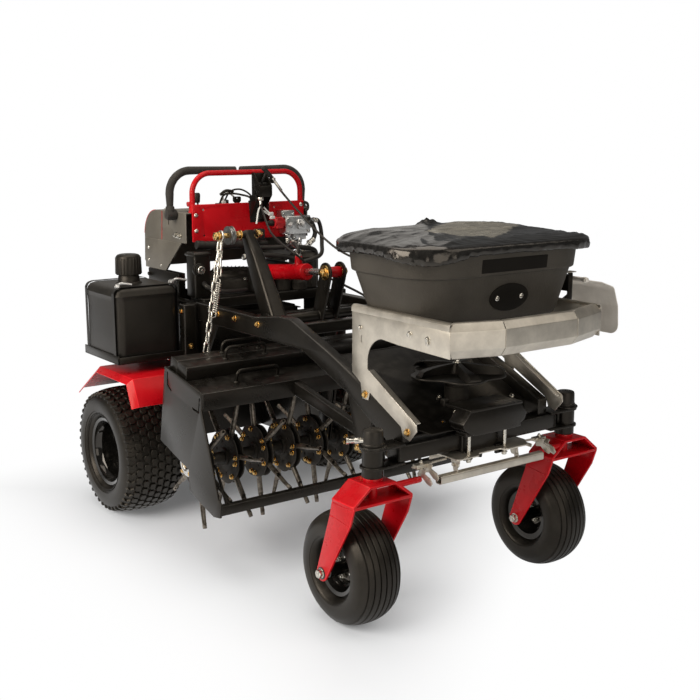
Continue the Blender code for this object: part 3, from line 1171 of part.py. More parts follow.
def hopper_cover():
    """Elastic cover: crowned top and a gathered hem that hangs over the rim."""
    corner_steps = 5
    thick = 0.0016
    pleats = 8
    levels = [(0.05, 0.006, 0.0), (0.45, 0.009, 0.0), (0.80, 0.006, 0.15), (0.965, 0.003, 0.5), (1.000, -0.004, 0.9),
              (1.004, -0.016, 1.2), (0.985, -0.026, 1.4)]
    base_z = HOPPER_RIM_Z + FIT + 0.0016
    grow = 0.012
    bm = bmesh.new()

    def ring(scale, rise, fold, inset):
        outline = rounded_rectangle(0.382 + grow, 0.242 + grow, 0.155, base_z, corner_steps)
        count = len(outline)
        verts = []
        for i, (x, y, z) in enumerate(outline):
            a = math.tau * i / count
            wave = 0.0022 * fold * math.sin(pleats * a) + 0.0012 * fold * math.sin(7 * a + 1.3)
            factor = scale - inset / 0.30 + wave / 0.30
            droop = -0.0022 * fold * math.cos(pleats * a + 0.6)
            verts.append(bm.verts.new((x * factor, HOPPER_Y + (y - HOPPER_Y) * factor, z + rise + droop)))
        return verts
    outer = [ring(scale, rise + thick, fold, 0.0) for scale, rise, fold in levels]
    inner = [ring(scale, rise - (0 if i > 4 else thick * 0.5), fold, thick if i > 2 else 0.0)
             for i, (scale, rise, fold) in enumerate(levels)]
    for rings in (outer, inner):
        for lower, upper in zip(rings, rings[1:]):
            for i in range(len(lower)):
                j = (i + 1) % len(lower)
                bm.faces.new((lower[i], lower[j], upper[j], upper[i]))
    bm.faces.new(outer[0])
    bm.faces.new(inner[0])
    for i in range(len(outer[-1])):
        j = (i + 1) % len(outer[-1])
        bm.faces.new((outer[-1][i], outer[-1][j], inner[-1][j], inner[-1][i]))
    piece("hopper_cover", shape("cover", bm), CLOTH, smooth=60)


def spreader_frame():
    """Folded stainless frame: side legs on the rails, side arms and the front guard."""
    out = GUARD_OUT
    sheet = GUARD_SHEET
    flange_x = RAIL_OUT + FIT
    inner_corner = arc((0.050 - 0.085, GUARD_BOTTOM_Z - 0.072), 0.085, 0, 80, 5)
    side_view = [(0.128, 0.980), (-0.333, GUARD_TOP_Z), (-0.333, GUARD_BOTTOM_Z), (-0.100, GUARD_BOTTOM_Z + 0.006)]
    side_view += list(reversed(inner_corner))
    side_view += [(0.050, 0.790), (-0.190, 0.661), (-0.192, 0.640), (-0.160, 0.604), (-0.128, 0.612),
                  (-0.118, 0.640), (0.036, 0.716), (0.044, 0.690), (0.074, 0.690), (0.084, 0.740), (0.128, 0.766)]
    frame = plate(side_view, (-flange_x - sheet, -flange_x), "right_side")
    arm_out = flange_x + sheet
    lip = [(-arm_out, -0.3325), (-arm_out, 0.127), (-arm_out + 0.012, 0.127), (-arm_out + 0.012, -0.318),
           (-0.140, -0.350), (0.140, -0.350), (arm_out - 0.012, -0.318), (arm_out - 0.012, 0.127),
           (arm_out, 0.127), (arm_out, -0.3325), (0.149, -0.3845), (-0.149, -0.3845)]
    weld(frame, plate(side_view, (flange_x, arm_out), "left_side"))
    weld(frame, flat_plate(lip, (GUARD_TOP_Z - sheet - 0.0005, GUARD_TOP_Z - 0.0005), "top_lip"))
    face = [(-arm_out, -0.333), (-arm_out, -0.333 + 0.02), (-0.1475, -0.3805), (0.1475, -0.3805),
            (arm_out, -0.333 + 0.02), (arm_out, -0.333), (0.150, FRONT_END_Y), (-0.150, FRONT_END_Y)]
    weld(frame, flat_plate(face, (GUARD_BOTTOM_Z - 0.004, GUARD_TOP_Z - 0.001), "guard_face"))
    cross = GUARD_BOTTOM_Z + 0.035
    for y in (-0.255, 0.070):
        weld(frame, block((-arm_out + 0.001, arm_out - 0.001), (y, y + 0.030), (cross - 0.025, cross - 0.0195), "cross_strap"))
    (low_x, _, _, low_z), (high_x, _, _, high_z) = hopper_levels()[:2]
    seat_top = low_z + (high_z - low_z) * (HOPPER_SEAT_X - low_x) / (high_x - low_x) - FIT
    for side in (-1, 1):
        seat = sorted((side * HOPPER_SEAT_X, side * (HOPPER_SEAT_X + 0.014)))
        weld(frame, block(seat, (-0.240, 0.090), (cross - 0.0205, seat_top), "hopper_seat"))
    piece("spreader_frame", frame, STAINLESS)


def deflector_bracket():
    """Black bracket on the left arm; it carries the side deflector."""
    x0 = RAIL_OUT + FIT + GUARD_SHEET + FIT
    body = block((x0, x0 + 0.006), (-0.200, -0.050), (0.910, 0.975), "foot")
    web = [(x0 + 0.001, 0.915), (x0 + 0.001, 0.972), (x0 + 0.038, 0.990), (x0 + 0.038, 1.060),
           (x0 + 0.058, 1.060), (x0 + 0.058, 0.935)]
    for y in (-0.160, -0.074):
        weld(body, front_plate(web, (y, y + 0.006), "web"))
    piece("deflector_bracket", body, BLACK)


def deflector():
    """Stainless side deflector on a lengthwise hinge."""
    x0 = RAIL_OUT + FIT + GUARD_SHEET + FIT + 0.058 + FIT + 0.008
    axis_z = 1.040
    y0, y1 = -0.215, -0.012
    pin = bar((x0, y0 + 0.01, axis_z), (x0, y1 - 0.01, axis_z), 0.008, 12, name="pin")
    outline = [(x0 - 0.004, axis_z - 0.002), (x0 + 0.090, axis_z - 0.020), (x0 + 0.150, 0.990),
               (x0 + 0.165, 0.860), (x0 + 0.160, 0.840), (x0 + 0.1565, 0.842), (x0 + 0.161, 0.862),
               (x0 + 0.1465, 0.988), (x0 + 0.089, axis_z - 0.0235), (x0 - 0.004, axis_z - 0.006)]
    weld(pin, front_plate(outline, (y0, y1), "blade"))
    piece("deflector", pin, STAINLESS, (x0, (y0 + y1) / 2, axis_z), smooth=30)


def spinner_motor():
    """Hydraulic motor that hangs in the deck and turns the spinner."""
    top = SPINNER_Z - 0.012
    body = bar((0, SPINNER_Y, 0.595), (0, SPINNER_Y, top), 0.040, 16, name="motor")
    cut(body, bar((0, SPINNER_Y, top - 0.030), (0, SPINNER_Y, top + 0.01), bore_radius(0.008, 12), 12, name="socket"))
    piece("spinner_motor", body, CAST_IRON)


def spinner():
    """Black impeller: disc with five fins and its drive stub."""
    disc = bar((0, SPINNER_Y, SPINNER_Z), (0, SPINNER_Y, SPINNER_Z + 0.006), SPINNER_R, 20, name="disc")
    weld(disc, bar((0, SPINNER_Y, SPINNER_Z - 0.038), (0, SPINNER_Y, SPINNER_Z + 0.004), 0.008, 12, name="stub"))
    weld(disc, bar((0, SPINNER_Y, SPINNER_Z + 0.003), (0, SPINNER_Y, SPINNER_Z + 0.040), 0.022, 16, 0.018, "hub"))
    for fin in range(5):
        a = math.tau * fin / 5 + 0.35
        ahead = Vector((math.cos(a), math.sin(a), 0))
        side = Vector((-ahead.y, ahead.x, 0)) * 0.002
        inner = Vector((0, SPINNER_Y, SPINNER_Z + 0.004)) + ahead * 0.016
        outer = Vector((0, SPINNER_Y, SPINNER_Z + 0.004)) + ahead * (SPINNER_R - 0.004)
        up = Vector((0, 0, 1))
        corners = [inner - side, outer - side, outer - side + up * 0.020, inner - side + up * 0.034]
        weld(disc, extruded([tuple(c) for c in corners], tuple(side * 2), "fin"))
    piece("spinner", disc, PLASTIC, (0, SPINNER_Y, SPINNER_Z))


def gate_plate():
    """Rate gate that turns round the hopper's outlet neck."""
    z0 = 0.874
    gate = bar((0, HOPPER_Y, z0 - 0.008), (0, HOPPER_Y, z0), 0.078, 16, name="gate")
    weld(gate, block((-0.150, -0.060), (HOPPER_Y - 0.012, HOPPER_Y + 0.012), (z0 - 0.007, z0 - 0.001), "gate_arm"))
    cut(gate, bar((0, HOPPER_Y, z0 - 0.004), (0, HOPPER_Y, z0 + 0.01), bore_radius(0.045, 16), 16, name="neck_seat"))
    cut(gate, bar((0, HOPPER_Y, z0 - 0.02), (0, HOPPER_Y, z0 + 0.01), 0.028, 12, name="gate_hole"))
    piece("gate_plate", gate, PLASTIC, (0, HOPPER_Y, z0))


# Assembly


def main():
    for side, label in ((-1, "right"), (1, "left")):
        caster_fork(side, label)
        caster_wheel(side, label)
        caster_cap(side, label)
        fender(side, label)
        wheel_motor(side, label)
        drive_wheel(side, label)
        drive_lever(side, label)
        tine_rotor(side, label)
    axle_beam()
    lock_bracket()
    caster_lock_bar()
    main_frame()
    front_deck()
    foot_platform()
    console_body()
    front_panel()
    throttle_lever()
    choke_knob()
    ignition_key()
    control_bracket()
    gate_lever()
    thigh_pad()
    engine()
    oil_filter_box()
    fuel_tank()
    fuel_cap()
    valve_block()
    hoses_and_cables()
    tine_frame()
    tine_weights()
    lift_arm()
    lift_cylinder()
    cylinder_rod()
    lift_chain()
    chain_spring()
    hopper()
    hopper_cover()
    spreader_frame()
    deflector_bracket()
    deflector()
    spinner_motor()
    spinner()
    gate_plate()


main()
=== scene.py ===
"""The looks of a stand-on lawn aerator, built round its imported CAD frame."""

# %% [markdown]
# # Dressing a stand-on aerator
#
# The machine stands on four tyres: two swivel casters at the hopper end and two turf tyres
# under the operator. Between them hangs a unit of hollow tines that pulls cores out of a lawn.
# The CAD frame gives every size and place. Each step below takes one group of pieces, says what
# it is on the real machine, and models it a little finer than the frame does.

# %% Load the frame
import math

import bmesh
import bpy
from mathutils import Matrix, Vector, noise


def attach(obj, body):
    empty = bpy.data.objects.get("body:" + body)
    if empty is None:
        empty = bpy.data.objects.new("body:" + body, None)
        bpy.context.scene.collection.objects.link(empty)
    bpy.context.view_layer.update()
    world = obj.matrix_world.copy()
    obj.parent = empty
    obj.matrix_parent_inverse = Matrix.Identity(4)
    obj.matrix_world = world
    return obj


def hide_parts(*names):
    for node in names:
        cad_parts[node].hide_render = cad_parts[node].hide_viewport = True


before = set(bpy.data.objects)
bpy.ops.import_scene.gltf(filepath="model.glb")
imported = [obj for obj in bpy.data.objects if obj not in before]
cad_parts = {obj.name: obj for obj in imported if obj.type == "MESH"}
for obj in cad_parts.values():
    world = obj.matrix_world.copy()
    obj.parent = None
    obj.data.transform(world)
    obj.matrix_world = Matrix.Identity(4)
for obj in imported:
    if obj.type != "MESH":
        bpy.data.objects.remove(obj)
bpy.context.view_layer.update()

# %% [markdown]
# ## Where things are
#
# All sizes here are in metres. They are counted as on a maker's drawing, from the axle of the
# front casters: y = 0 lies above it and y grows towards the operator. The frame itself is centred
# under the machine, so one small function moves a drawing point into the frame. Long lists of
# points are in millimetres, as a drawing gives them, and another function makes metres of them.

# %% Drawing points
AXLE_TO_MIDDLE = 0.7425


def at(x, y, z):
    """A point of the drawing, in the frame."""
    return Vector((x, y - AXLE_TO_MIDDLE, z))


def mm(*rows):
    """Rows of millimetres, in metres."""
    return [tuple(value / 1000 for value in row) for row in rows]


X_AXIS, Z_AXIS = Vector((1, 0, 0)), Vector((0, 0, 1))
print("the caster axle lies at", tuple(at(0, 0, 0.184)))

# %% [markdown]
# ## Camera, floor and light
#
# The picture is a studio one: a white paper sweep, a large soft lamp on the left, and weaker ones
# above, in front and behind. Faces that look left are pale, from that lamp and from a painted
# reflection: in reflections only, the floor glows brighter towards the rear left. The others stay dark.
#
# A sweep could be modelled as a curved sheet, but a flat floor that turns into
# plain white away from the machine gives the same picture and keeps the shadow, except at the
# front right, where the floor is painted white over the shadow.

# %% Camera
camera_data = bpy.data.cameras.new("studio_camera")
camera_data.sensor_width = 36.0
FOCAL_PIXELS, PICTURE_PIXELS = 1087, 700
camera_data.lens = FOCAL_PIXELS / PICTURE_PIXELS * 36.0
camera = bpy.data.objects.new("studio_camera", camera_data)
camera.location = (-2.317, -3.3195, 1.506)
camera.rotation_euler = (math.radians(78.75), 0, math.radians(-36.4))
bpy.context.scene.collection.objects.link(camera)
bpy.context.scene.camera = camera
bpy.context.scene.view_settings.view_transform = 'Standard'
print("lens", round(camera_data.lens, 1), "mm")


# %% Soft lamps
def soft_lamp(name, place, aim, size, power, tint=(1.0, 0.95, 0.88)):
    """A square soft box that faces a point."""
    data = bpy.data.lights.new(name, 'AREA')
    data.shape = 'RECTANGLE'
    data.size, data.size_y = size
    data.energy = power
    data.color = tint
    lamp = bpy.data.objects.new(name, data)
    lamp.location = place
    lamp.rotation_euler = (Vector(aim) - Vector(place)).to_track_quat('-Z', 'Y').to_euler()
    bpy.context.scene.collection.objects.link(lamp)


soft_lamp("left_box", (-4.1, -0.3, 2.6), (0, 0, 0.6), (3.4, 2.6), 205)
soft_lamp("top_box", (-0.3, 0.2, 4.4), (0, 0, 0.4), (3.6, 3.6), 90)
soft_lamp("front_box", (-0.9, -4.8, 1.6), (0, 0, 0.7), (3.4, 2.4), 46)
soft_lamp("high_front_box", (1.8, -3.4, 4.0), (0, -0.6, 0.9), (3.0, 3.0), 34)
soft_lamp("rear_box", (1.2, 4.2, 2.6), (0, 0, 0.8), (5.0, 2.6), 15)

# %% [markdown]
# ## Shader maths as plain Python
#
# A finish is a network of nodes. Written node by node it is hard to read, so a node's output is
# wrapped in a small class on which +, - and * work, and one method makes any other node from its
# type, its settings and the values of its sockets.


# %% A node's output that can be calculated with
class Flow:
    def __init__(self, finish, socket):
        self.finish, self.socket = finish, socket

    def maths(self, operation, *values, clamp=False):
        return self.finish.node('ShaderNodeMath', {'operation': operation, 'use_clamp': clamp},
            dict(enumerate(values)))

    def __add__(self, other):
        return self.maths('ADD', self, other)

    def __radd__(self, other):
        return self.maths('ADD', other, self)

    def __sub__(self, other):
        return self.maths('SUBTRACT', self, other)

    def __rsub__(self, other):
        return self.maths('SUBTRACT', other, self)

    def __mul__(self, other):
        return self.maths('MULTIPLY', self, other)

    def __rmul__(self, other):
        return self.maths('MULTIPLY', other, self)

    def held(self):
        """The same number, kept between 0 and 1."""
        return self.maths('ADD', self, 0.0, clamp=True)

    def step(self, low, high):
        """0 below low, 1 above high, with a soft rise between."""
        return self.finish.node('ShaderNodeMapRange', {'interpolation_type': 'SMOOTHSTEP'},
            {'Value': self, 'From Min': low, 'From Max': high})


class Finish:
    """One material of the machine, named for what it is."""

    def __init__(self, name, **constants):
        self.material = bpy.data.materials.new(name)
        self.material.use_nodes = True
        self.tree = self.material.node_tree
        self.shader = self.tree.nodes["Principled BSDF"]
        self.place = self.node('ShaderNodeTexCoord', out='Object')
        for socket, value in constants.items():
            self.shader.inputs[socket.replace('_', ' ')].default_value = value

    def node(self, kind, settings=None, values=None, out=0):
        made = self.tree.nodes.new(kind)
        for key, value in (settings or {}).items():
            setattr(made, key, value)
        for key, value in (values or {}).items():
            if isinstance(value, Flow):
                self.tree.links.new(value.socket, made.inputs[key])
            else:
                made.inputs[key].default_value = value
        return Flow(self, made.outputs[out])

    def noise(self, scale, detail=3.0, rough=0.55, place=None):
        return self.node('ShaderNodeTexNoise', None, {'Vector': place or self.place, 'Scale': scale, 'Detail': detail,
            'Roughness': rough}, out=0)

    def stretched(self, x, y, z):
        """Object coordinates scaled apart, for a grain that runs one way."""
        return self.node('ShaderNodeVectorMath', {'operation': 'MULTIPLY'}, {0: self.place, 1: (x, y, z)})

    def blend(self, factor, first, second):
        """A colour between two colours."""
        return self.node('ShaderNodeMix', {'data_type': 'RGBA'}, {0: factor, 6: first, 7: second}, out=2)

    def mark(self, name):
        """The number that a piece carries under this name."""
        return self.node('ShaderNodeAttribute', {'attribute_name': name}, out='Fac')

    def facing_up(self):
        """1 where the surface looks up, 0 where it looks sideways or down."""
        normal = self.node('ShaderNodeNewGeometry', out='Normal')
        return self.node('ShaderNodeSeparateXYZ', None, {0: normal}, out='Z').held()

    def show(self, colour=None, roughness=None, height=None, depth=0.0002, strength=1.0, **others):
        if height is not None:
            others['Normal'] = self.node('ShaderNodeBump', None, {'Height': height, 'Distance': depth,
                'Strength': strength})
        others['Base_Color'], others['Roughness'] = colour, roughness
        for socket, value in others.items():
            if value is not None:
                self.tree.links.new(value.socket, self.shader.inputs[socket.replace('_', ' ')])
        return self.material


def rgb(*parts):
    return (*parts, 1.0)


print("shader helpers ready")

# %% [markdown]
# ## Floor and backdrop
#
# The floor is white paper. Near the machine it is an ordinary matt surface and takes the shadow,
# and further out it shines with a strength of one, so that its edge melts into the white world.
# Towards the front right it is painted white over the machine's shadow, which is painted light.
# In reflections it glows from dim in front to white at the rear left, a painted reflection that
# makes the faces which look left pale.

# %% Floor
paper = Finish("white_paper", Roughness=0.9)
paper_output = paper.tree.nodes["Material Output"]
paper.shader.inputs['Base Color'].default_value = rgb(0.8, 0.84, 0.9)
spot = paper.node('ShaderNodeSeparateXYZ', None, {0: paper.place}, out='X').socket.node.outputs
floor_x, floor_y = Flow(paper, spot['X']), Flow(paper, spot['Y'])
aside = floor_x.maths('ABSOLUTE', floor_x) - 0.62
ahead = floor_y.maths('ABSOLUTE', floor_y) - 0.98
away = aside.maths('MAXIMUM', aside, ahead)
to_rear_left = floor_y - floor_x
plain_white = paper.node('ShaderNodeEmission', None, {'Color': rgb(1, 1, 1), 'Strength': 1.0})
rays = paper.tree.nodes.new('ShaderNodeLightPath')
to_front_right = floor_x * 0.7 - floor_y * 0.9
rising = 0.1 + away.step(-0.16, 0.55) * 0.9
# towards the front right the floor glows white over the machine's shadow: painted light
floor_white_and_painted_light = rising.maths('MAXIMUM', rising, to_front_right.step(0.25, 0.95))
in_picture = floor_white_and_painted_light * Flow(paper, rays.outputs['Is Camera Ray'])
# in reflections the floor glows dim at the front and up to white at the rear left: partly the white backdrop, partly
# a painted reflection that makes left-facing faces pale
backdrop_and_painted_reflection = (0.16 + to_rear_left.step(-0.4, 2.2) * 0.84) * Flow(paper, rays.outputs['Is Glossy Ray'])
whiteness = (in_picture + backdrop_and_painted_reflection).held()
mixed = paper.node('ShaderNodeMixShader', None, {0: whiteness, 1: Flow(paper, paper.shader.outputs[0]),
    2: plain_white})
paper.tree.links.new(mixed.socket, paper_output.inputs['Surface'])

floor_bm = bmesh.new()
bmesh.ops.create_circle(floor_bm, cap_ends=True, segments=96, radius=9.0)
floor_mesh = bpy.data.meshes.new("paper_floor")
floor_bm.to_mesh(floor_mesh)
floor_bm.free()
floor = bpy.data.objects.new("paper_floor", floor_mesh)
floor_mesh.materials.append(paper.material)
bpy.context.scene.collection.objects.link(floor)

world = bpy.data.worlds.new("white_studio")
bpy.context.scene.world = world
world.use_nodes = True
sky = world.node_tree.nodes["Background"]
path = world.node_tree.nodes.new('ShaderNodeLightPath')
grey_to_white = world.node_tree.nodes.new('ShaderNodeMix')
grey_to_white.data_type = 'FLOAT'
grey_to_white.inputs[2].default_value = 0.11
grey_to_white.inputs[3].default_value = 1.0
world.node_tree.links.new(path.outputs['Is Camera Ray'], grey_to_white.inputs[0])
world.node_tree.links.new(grey_to_white.outputs[0], sky.inputs['Strength'])
sky.inputs['Color'].default_value = rgb(1, 1, 1)
print("floor and world ready")

# %% [markdown]
# ## Paints
#
# Powder coat is sprayed as dust and melted in an oven. It never lies quite flat: seen close up it
# has an orange skin, and handling leaves it a little duller here and there. Edges lose some of it
# first. Pieces carry a number called `edge` on their rounded corners, and the paint turns a shade
# lighter and smoother there: partly wear, and partly a painted highlight along the rounded edge.
# A picture of paint could do the same, but noise has no seams.


# %% Painted steel
# finishes tint their reflections warm: the warm colour of the lamps is painted into the materials
WARM_LIGHT_TINT = (1.0, 0.88, 0.74, 1.0)


def painted(name, colour, light, roughness, skin=0.00012, coat=0.0, dust=0.05, dust_colour=(0.3, 0.28, 0.25),
        shine=0.35):
    """Powder coat or gloss paint, with its skin, dull patches, dust, and edges painted paler as wear and highlight.
    """
    paint = Finish(name, Coat_Weight=coat, Coat_Roughness=0.1, Specular_IOR_Level=shine, Specular_Tint=WARM_LIGHT_TINT)
    patches = paint.noise(9.0, 4.0, 0.6)
    fine = paint.noise(620.0, 2.0)
    skin_waves = paint.noise(190.0, 2.0)
    edge = paint.mark("edge")
    body = paint.blend(patches.step(0.35, 0.7), rgb(*colour), rgb(*light))
    # marked edges are painted paler: partly wear, partly a painted highlight on the rounded edge
    edge_wear_and_highlight = paint.blend((edge * (patches * 0.5 + 0.25)).held(), body, rgb(*[min(1.0, c * 1.6 + 0.02) for c in light]))
    dusty = (paint.facing_up() * paint.noise(34.0, 5.0, 0.7).step(0.42, 0.75) * dust).held()
    colour_flow = paint.blend(dusty, edge_wear_and_highlight, rgb(*dust_colour))
    rough = (roughness + (patches - 0.5) * 0.22 + dusty * 1.2 - edge * 0.06).held()
    return paint.show(colour_flow, rough, skin_waves * 0.7 + fine * 0.3, skin)


RED = painted("red_powder_coat", (0.42, 0.002, 0.006), (0.52, 0.0045, 0.01), 0.28, coat=0.08, dust=0.05,
    dust_colour=(0.5, 0.16, 0.12), shine=0.22)
BLACK = painted("black_powder_coat", (0.0046, 0.004, 0.0032), (0.0085, 0.0075, 0.006), 0.3, coat=0.0, dust=0.06,
    shine=0.32)
GLOSS_BLACK = painted("gloss_black_enamel", (0.004, 0.0037, 0.0032), (0.008, 0.0074, 0.0064), 0.13, skin=0.00005,
    coat=0.5, dust=0.02)
GREY = painted("grey_console_paint", (0.105, 0.095, 0.078), (0.14, 0.127, 0.105), 0.46, coat=0.03, dust=0.2)
CAST = painted("dark_cast_iron", (0.011, 0.0095, 0.008), (0.028, 0.0245, 0.02), 0.55, skin=0.0006, dust=0.25)
print("paints:", RED.name, BLACK.name, GLOSS_BLACK.name, GREY.name, CAST.name)

# %% [markdown]
# ## Bare and plated metals
#
# Stainless sheet comes with a dull mill finish: pale, a little mottled, and brushed along one way.
# Bolts are zinc plated, some of them passivated to a yellow gold. Cut zinc is brighter on its
# edges, and every metal here is painted paler on its marked edges, partly as that wear and partly
# as a painted highlight. All of them are metals with a varied roughness, which matters more than their colour.


# %% Metals
def metal(name, colour, light, roughness, mottle=26.0, grain=(1, 1, 1), grain_scale=260.0, depth=0.00008,
        metallic=1.0, spread=0.25):
    """A bare or plated metal, mottled and grained."""
    steel = Finish(name, Metallic=metallic)
    cloud = steel.noise(mottle, 5.0, 0.65)
    grain_flow = steel.noise(grain_scale, 3.0, 0.6, steel.stretched(*grain))
    edge = steel.mark("edge")
    # marked edges are painted paler: partly wear, partly a painted highlight on the rounded edge
    tone = steel.blend((cloud.step(0.3, 0.72) + edge * 0.4).held(), rgb(*colour), rgb(*light))
    rough = (roughness + (cloud - 0.5) * spread + (grain_flow - 0.5) * 0.18 - edge * 0.08).held()
    return steel.show(tone, rough, grain_flow * 0.6 + cloud * 0.4, depth)


STAINLESS = metal("stainless_sheet", (0.5, 0.455, 0.385), (0.66, 0.605, 0.515), 0.38, 14.0, (1, 1, 5), 90.0, 0.0001,
    0.86, 0.2)
# a paler, rougher copy of the stainless sheet, made paler to stand for the light the deflector blade catches: painted
# light
STAINLESS_PAINTED_LIGHTER = metal("stainless_painted_lighter", (0.8, 0.745, 0.66), (0.92, 0.865, 0.78), 0.55, 14.0, (1, 1, 5), 90.0, 0.0001, 0.55,
    0.15)
ZINC = metal("bright_zinc", (0.5, 0.47, 0.41), (0.74, 0.7, 0.62), 0.26, 120.0)
GOLD_ZINC = metal("yellow_zinc", (0.5, 0.27, 0.08), (0.86, 0.6, 0.24), 0.24, 90.0)
CHROME = metal("hard_chrome", (0.72, 0.7, 0.66), (0.86, 0.84, 0.79), 0.26, 40.0, spread=0.06, depth=0.00002)
TURNED_STEEL = metal("turned_steel", (0.15, 0.145, 0.135), (0.34, 0.33, 0.31), 0.36, 30.0, spread=0.1, depth=0.00003)
STEEL = metal("worn_tine_steel", (0.075, 0.062, 0.05), (0.3, 0.26, 0.21), 0.38, 60.0, (1, 1, 1), 300.0, 0.0003, 0.85,
    0.3)
ALLOY = metal("machined_alloy", (0.52, 0.51, 0.49), (0.72, 0.71, 0.69), 0.3, 50.0)
print("metals:", STAINLESS.name, ZINC.name, GOLD_ZINC.name, CHROME.name, STEEL.name, ALLOY.name)

# %% [markdown]
# ## Rubber, foam and plastics
#
# A tyre is matt but not evenly: rubber blooms grey where it bends and keeps mould marks. Foam
# grips are closed-cell foam with a fine pebble. Moulded tanks have a leather-like grain, and the
# hopper a coarser, sparkling one. Each of them is one noise for colour and one for bump.


# %% Soft and moulded finishes
def moulded(name, colour, light, roughness, pebble=700.0, depth=0.0003, bloom=7.0, spread=0.15, sheen=0.0, dust=0.1,
        cells=False, coat=0.0, shine=0.35):
    """Rubber, foam or plastic with its bloom and its moulded pebble."""
    stuff = Finish(name, Sheen_Weight=sheen, Sheen_Roughness=0.5, Coat_Weight=coat, Coat_Roughness=0.25,
        Specular_IOR_Level=shine, Specular_Tint=WARM_LIGHT_TINT)
    cloud = stuff.noise(bloom, 5.0, 0.6)
    if cells:
        grain = stuff.node('ShaderNodeTexVoronoi', {'feature': 'F1'}, {'Vector': stuff.place, 'Scale': pebble})
    else:
        grain = stuff.noise(pebble, 3.0, 0.7)
    edge = stuff.mark("edge")
    # marked edges are painted paler: partly wear, partly a painted highlight on the rounded edge
    tone = stuff.blend((cloud.step(0.32, 0.72) + edge * 0.3).held(), rgb(*colour), rgb(*light))
    dusty = (stuff.facing_up() * stuff.noise(40.0, 5.0, 0.7).step(0.45, 0.8) * dust).held()
    tone = stuff.blend(dusty, tone, rgb(0.22, 0.2, 0.17))
    rough = (roughness + (cloud - 0.5) * spread + (grain - 0.5) * 0.1 + dusty * 0.5).held()
    return stuff.show(tone, rough, grain, depth)


TYRE = moulded("tyre_rubber", (0.005, 0.0044, 0.0036), (0.013, 0.0115, 0.0092), 0.4, 420.0, 0.00022, 9.0, 0.24,
    dust=0.1)
RUBBER = moulded("hose_rubber", (0.01, 0.01, 0.01), (0.02, 0.019, 0.018), 0.46, 600.0, 0.0002)
FOAM = moulded("grip_foam", (0.016, 0.0155, 0.0145), (0.034, 0.032, 0.029), 0.74, 480.0, 0.0005, 12.0, sheen=0.1,
    cells=True)
PAD_VINYL = moulded("pad_vinyl", (0.012, 0.012, 0.012), (0.022, 0.021, 0.02), 0.5, 560.0, 0.0004, 8.0, cells=True)
PLASTIC = moulded("black_plastic", (0.007, 0.0064, 0.0056), (0.014, 0.0128, 0.011), 0.4, 520.0, 0.0003, 6.0)
MATT_BLACK = moulded("matt_black_plate", (0.006, 0.0053, 0.0044), (0.0092, 0.0082, 0.007), 0.62, 520.0, 0.0002, 6.0,
    shine=0.12)
CHARCOAL = moulded("charcoal_plastic", (0.037, 0.0328, 0.0268), (0.056, 0.05, 0.0412), 0.54, 190.0, 0.0016, 5.0, 0.12,
    dust=0.06, shine=0.3)
WHITE_PLASTIC = moulded("white_nylon", (0.62, 0.61, 0.57), (0.76, 0.75, 0.71), 0.45, 300.0, 0.0002)
RED_KNOB = moulded("red_plastic", (0.42, 0.01, 0.015), (0.52, 0.02, 0.025), 0.35, 300.0, 0.0001)
print("moulded finishes ready")

# %% [markdown]
# ## Shapes that come back all over the machine
#
# Nearly all of this machine is folded sheet, flat bar, tube and round bar. A few helpers make
# those with bmesh operators: a block with eased corners, a flat part cut from an outline, a round
# bar, a turned part and a bent tube. Real sheet and bar have small radii that catch the light, so
# each helper rounds its corners and marks them for the paint.


# %% Eased corners, blocks and plates
def fresh():
    """An empty bmesh whose faces can be marked as rounded corners, which the finishes paint paler, as wear and as a
    painted highlight.
    """
    bm = bmesh.new()
    bm.faces.layers.float.new("edge")
    return bm


def sided(side, *reach):
    """Two places on one side of the machine, the lower x first."""
    return sorted(side * x for x in reach)


def skin(bm, rings):
    """Faces between each ring of corners and the next one."""
    for lower, upper in zip(rings, rings[1:]):
        for i in range(len(lower)):
            j = (i + 1) % len(lower)
            bm.faces.new((lower[i], lower[j], upper[j], upper[i]))


def verts_of(geom):
    return [item for item in geom if isinstance(item, bmesh.types.BMVert)]


def eased(bm, verts, radius, steps=2, angle=28):
    """Round the sharp edges among these vertices, and mark the new corners."""
    if radius <= 0:
        return
    chosen = set(verts)
    bmesh.ops.recalc_face_normals(bm, faces=list({face for vert in verts for face in vert.link_faces}))
    edges = [edge for edge in {e for vert in verts for e in vert.link_edges} if len(edge.link_faces) == 2
        and edge.verts[0] in chosen and edge.verts[1] in chosen and edge.calc_face_angle(0) > math.radians(angle)]
    made = bmesh.ops.bevel(bm, geom=edges, offset=radius, offset_type='OFFSET', segments=steps, profile=0.5,
        affect='EDGES', clamp_overlap=True, material=-1)
    layer = bm.faces.layers.float["edge"]
    for face in made['faces']:
        face[layer] = 1.0


def block(bm, x, y, z, ease=0.0015, steps=2, turn=None):
    """A block between the pairs x, y and z; turn is (degrees, axis) about its middle."""
    low, high = at(x[0], y[0], z[0]), at(x[1], y[1], z[1])
    verts = bmesh.ops.create_cube(bm, size=1.0)['verts']
    bmesh.ops.scale(bm, verts=verts, vec=high - low)
    if turn:
        bmesh.ops.rotate(bm, verts=verts, cent=(0, 0, 0), matrix=Matrix.Rotation(math.radians(turn[0]), 3, turn[1]))
    bmesh.ops.translate(bm, verts=verts, vec=(low + high) / 2)
    eased(bm, verts, ease, steps)


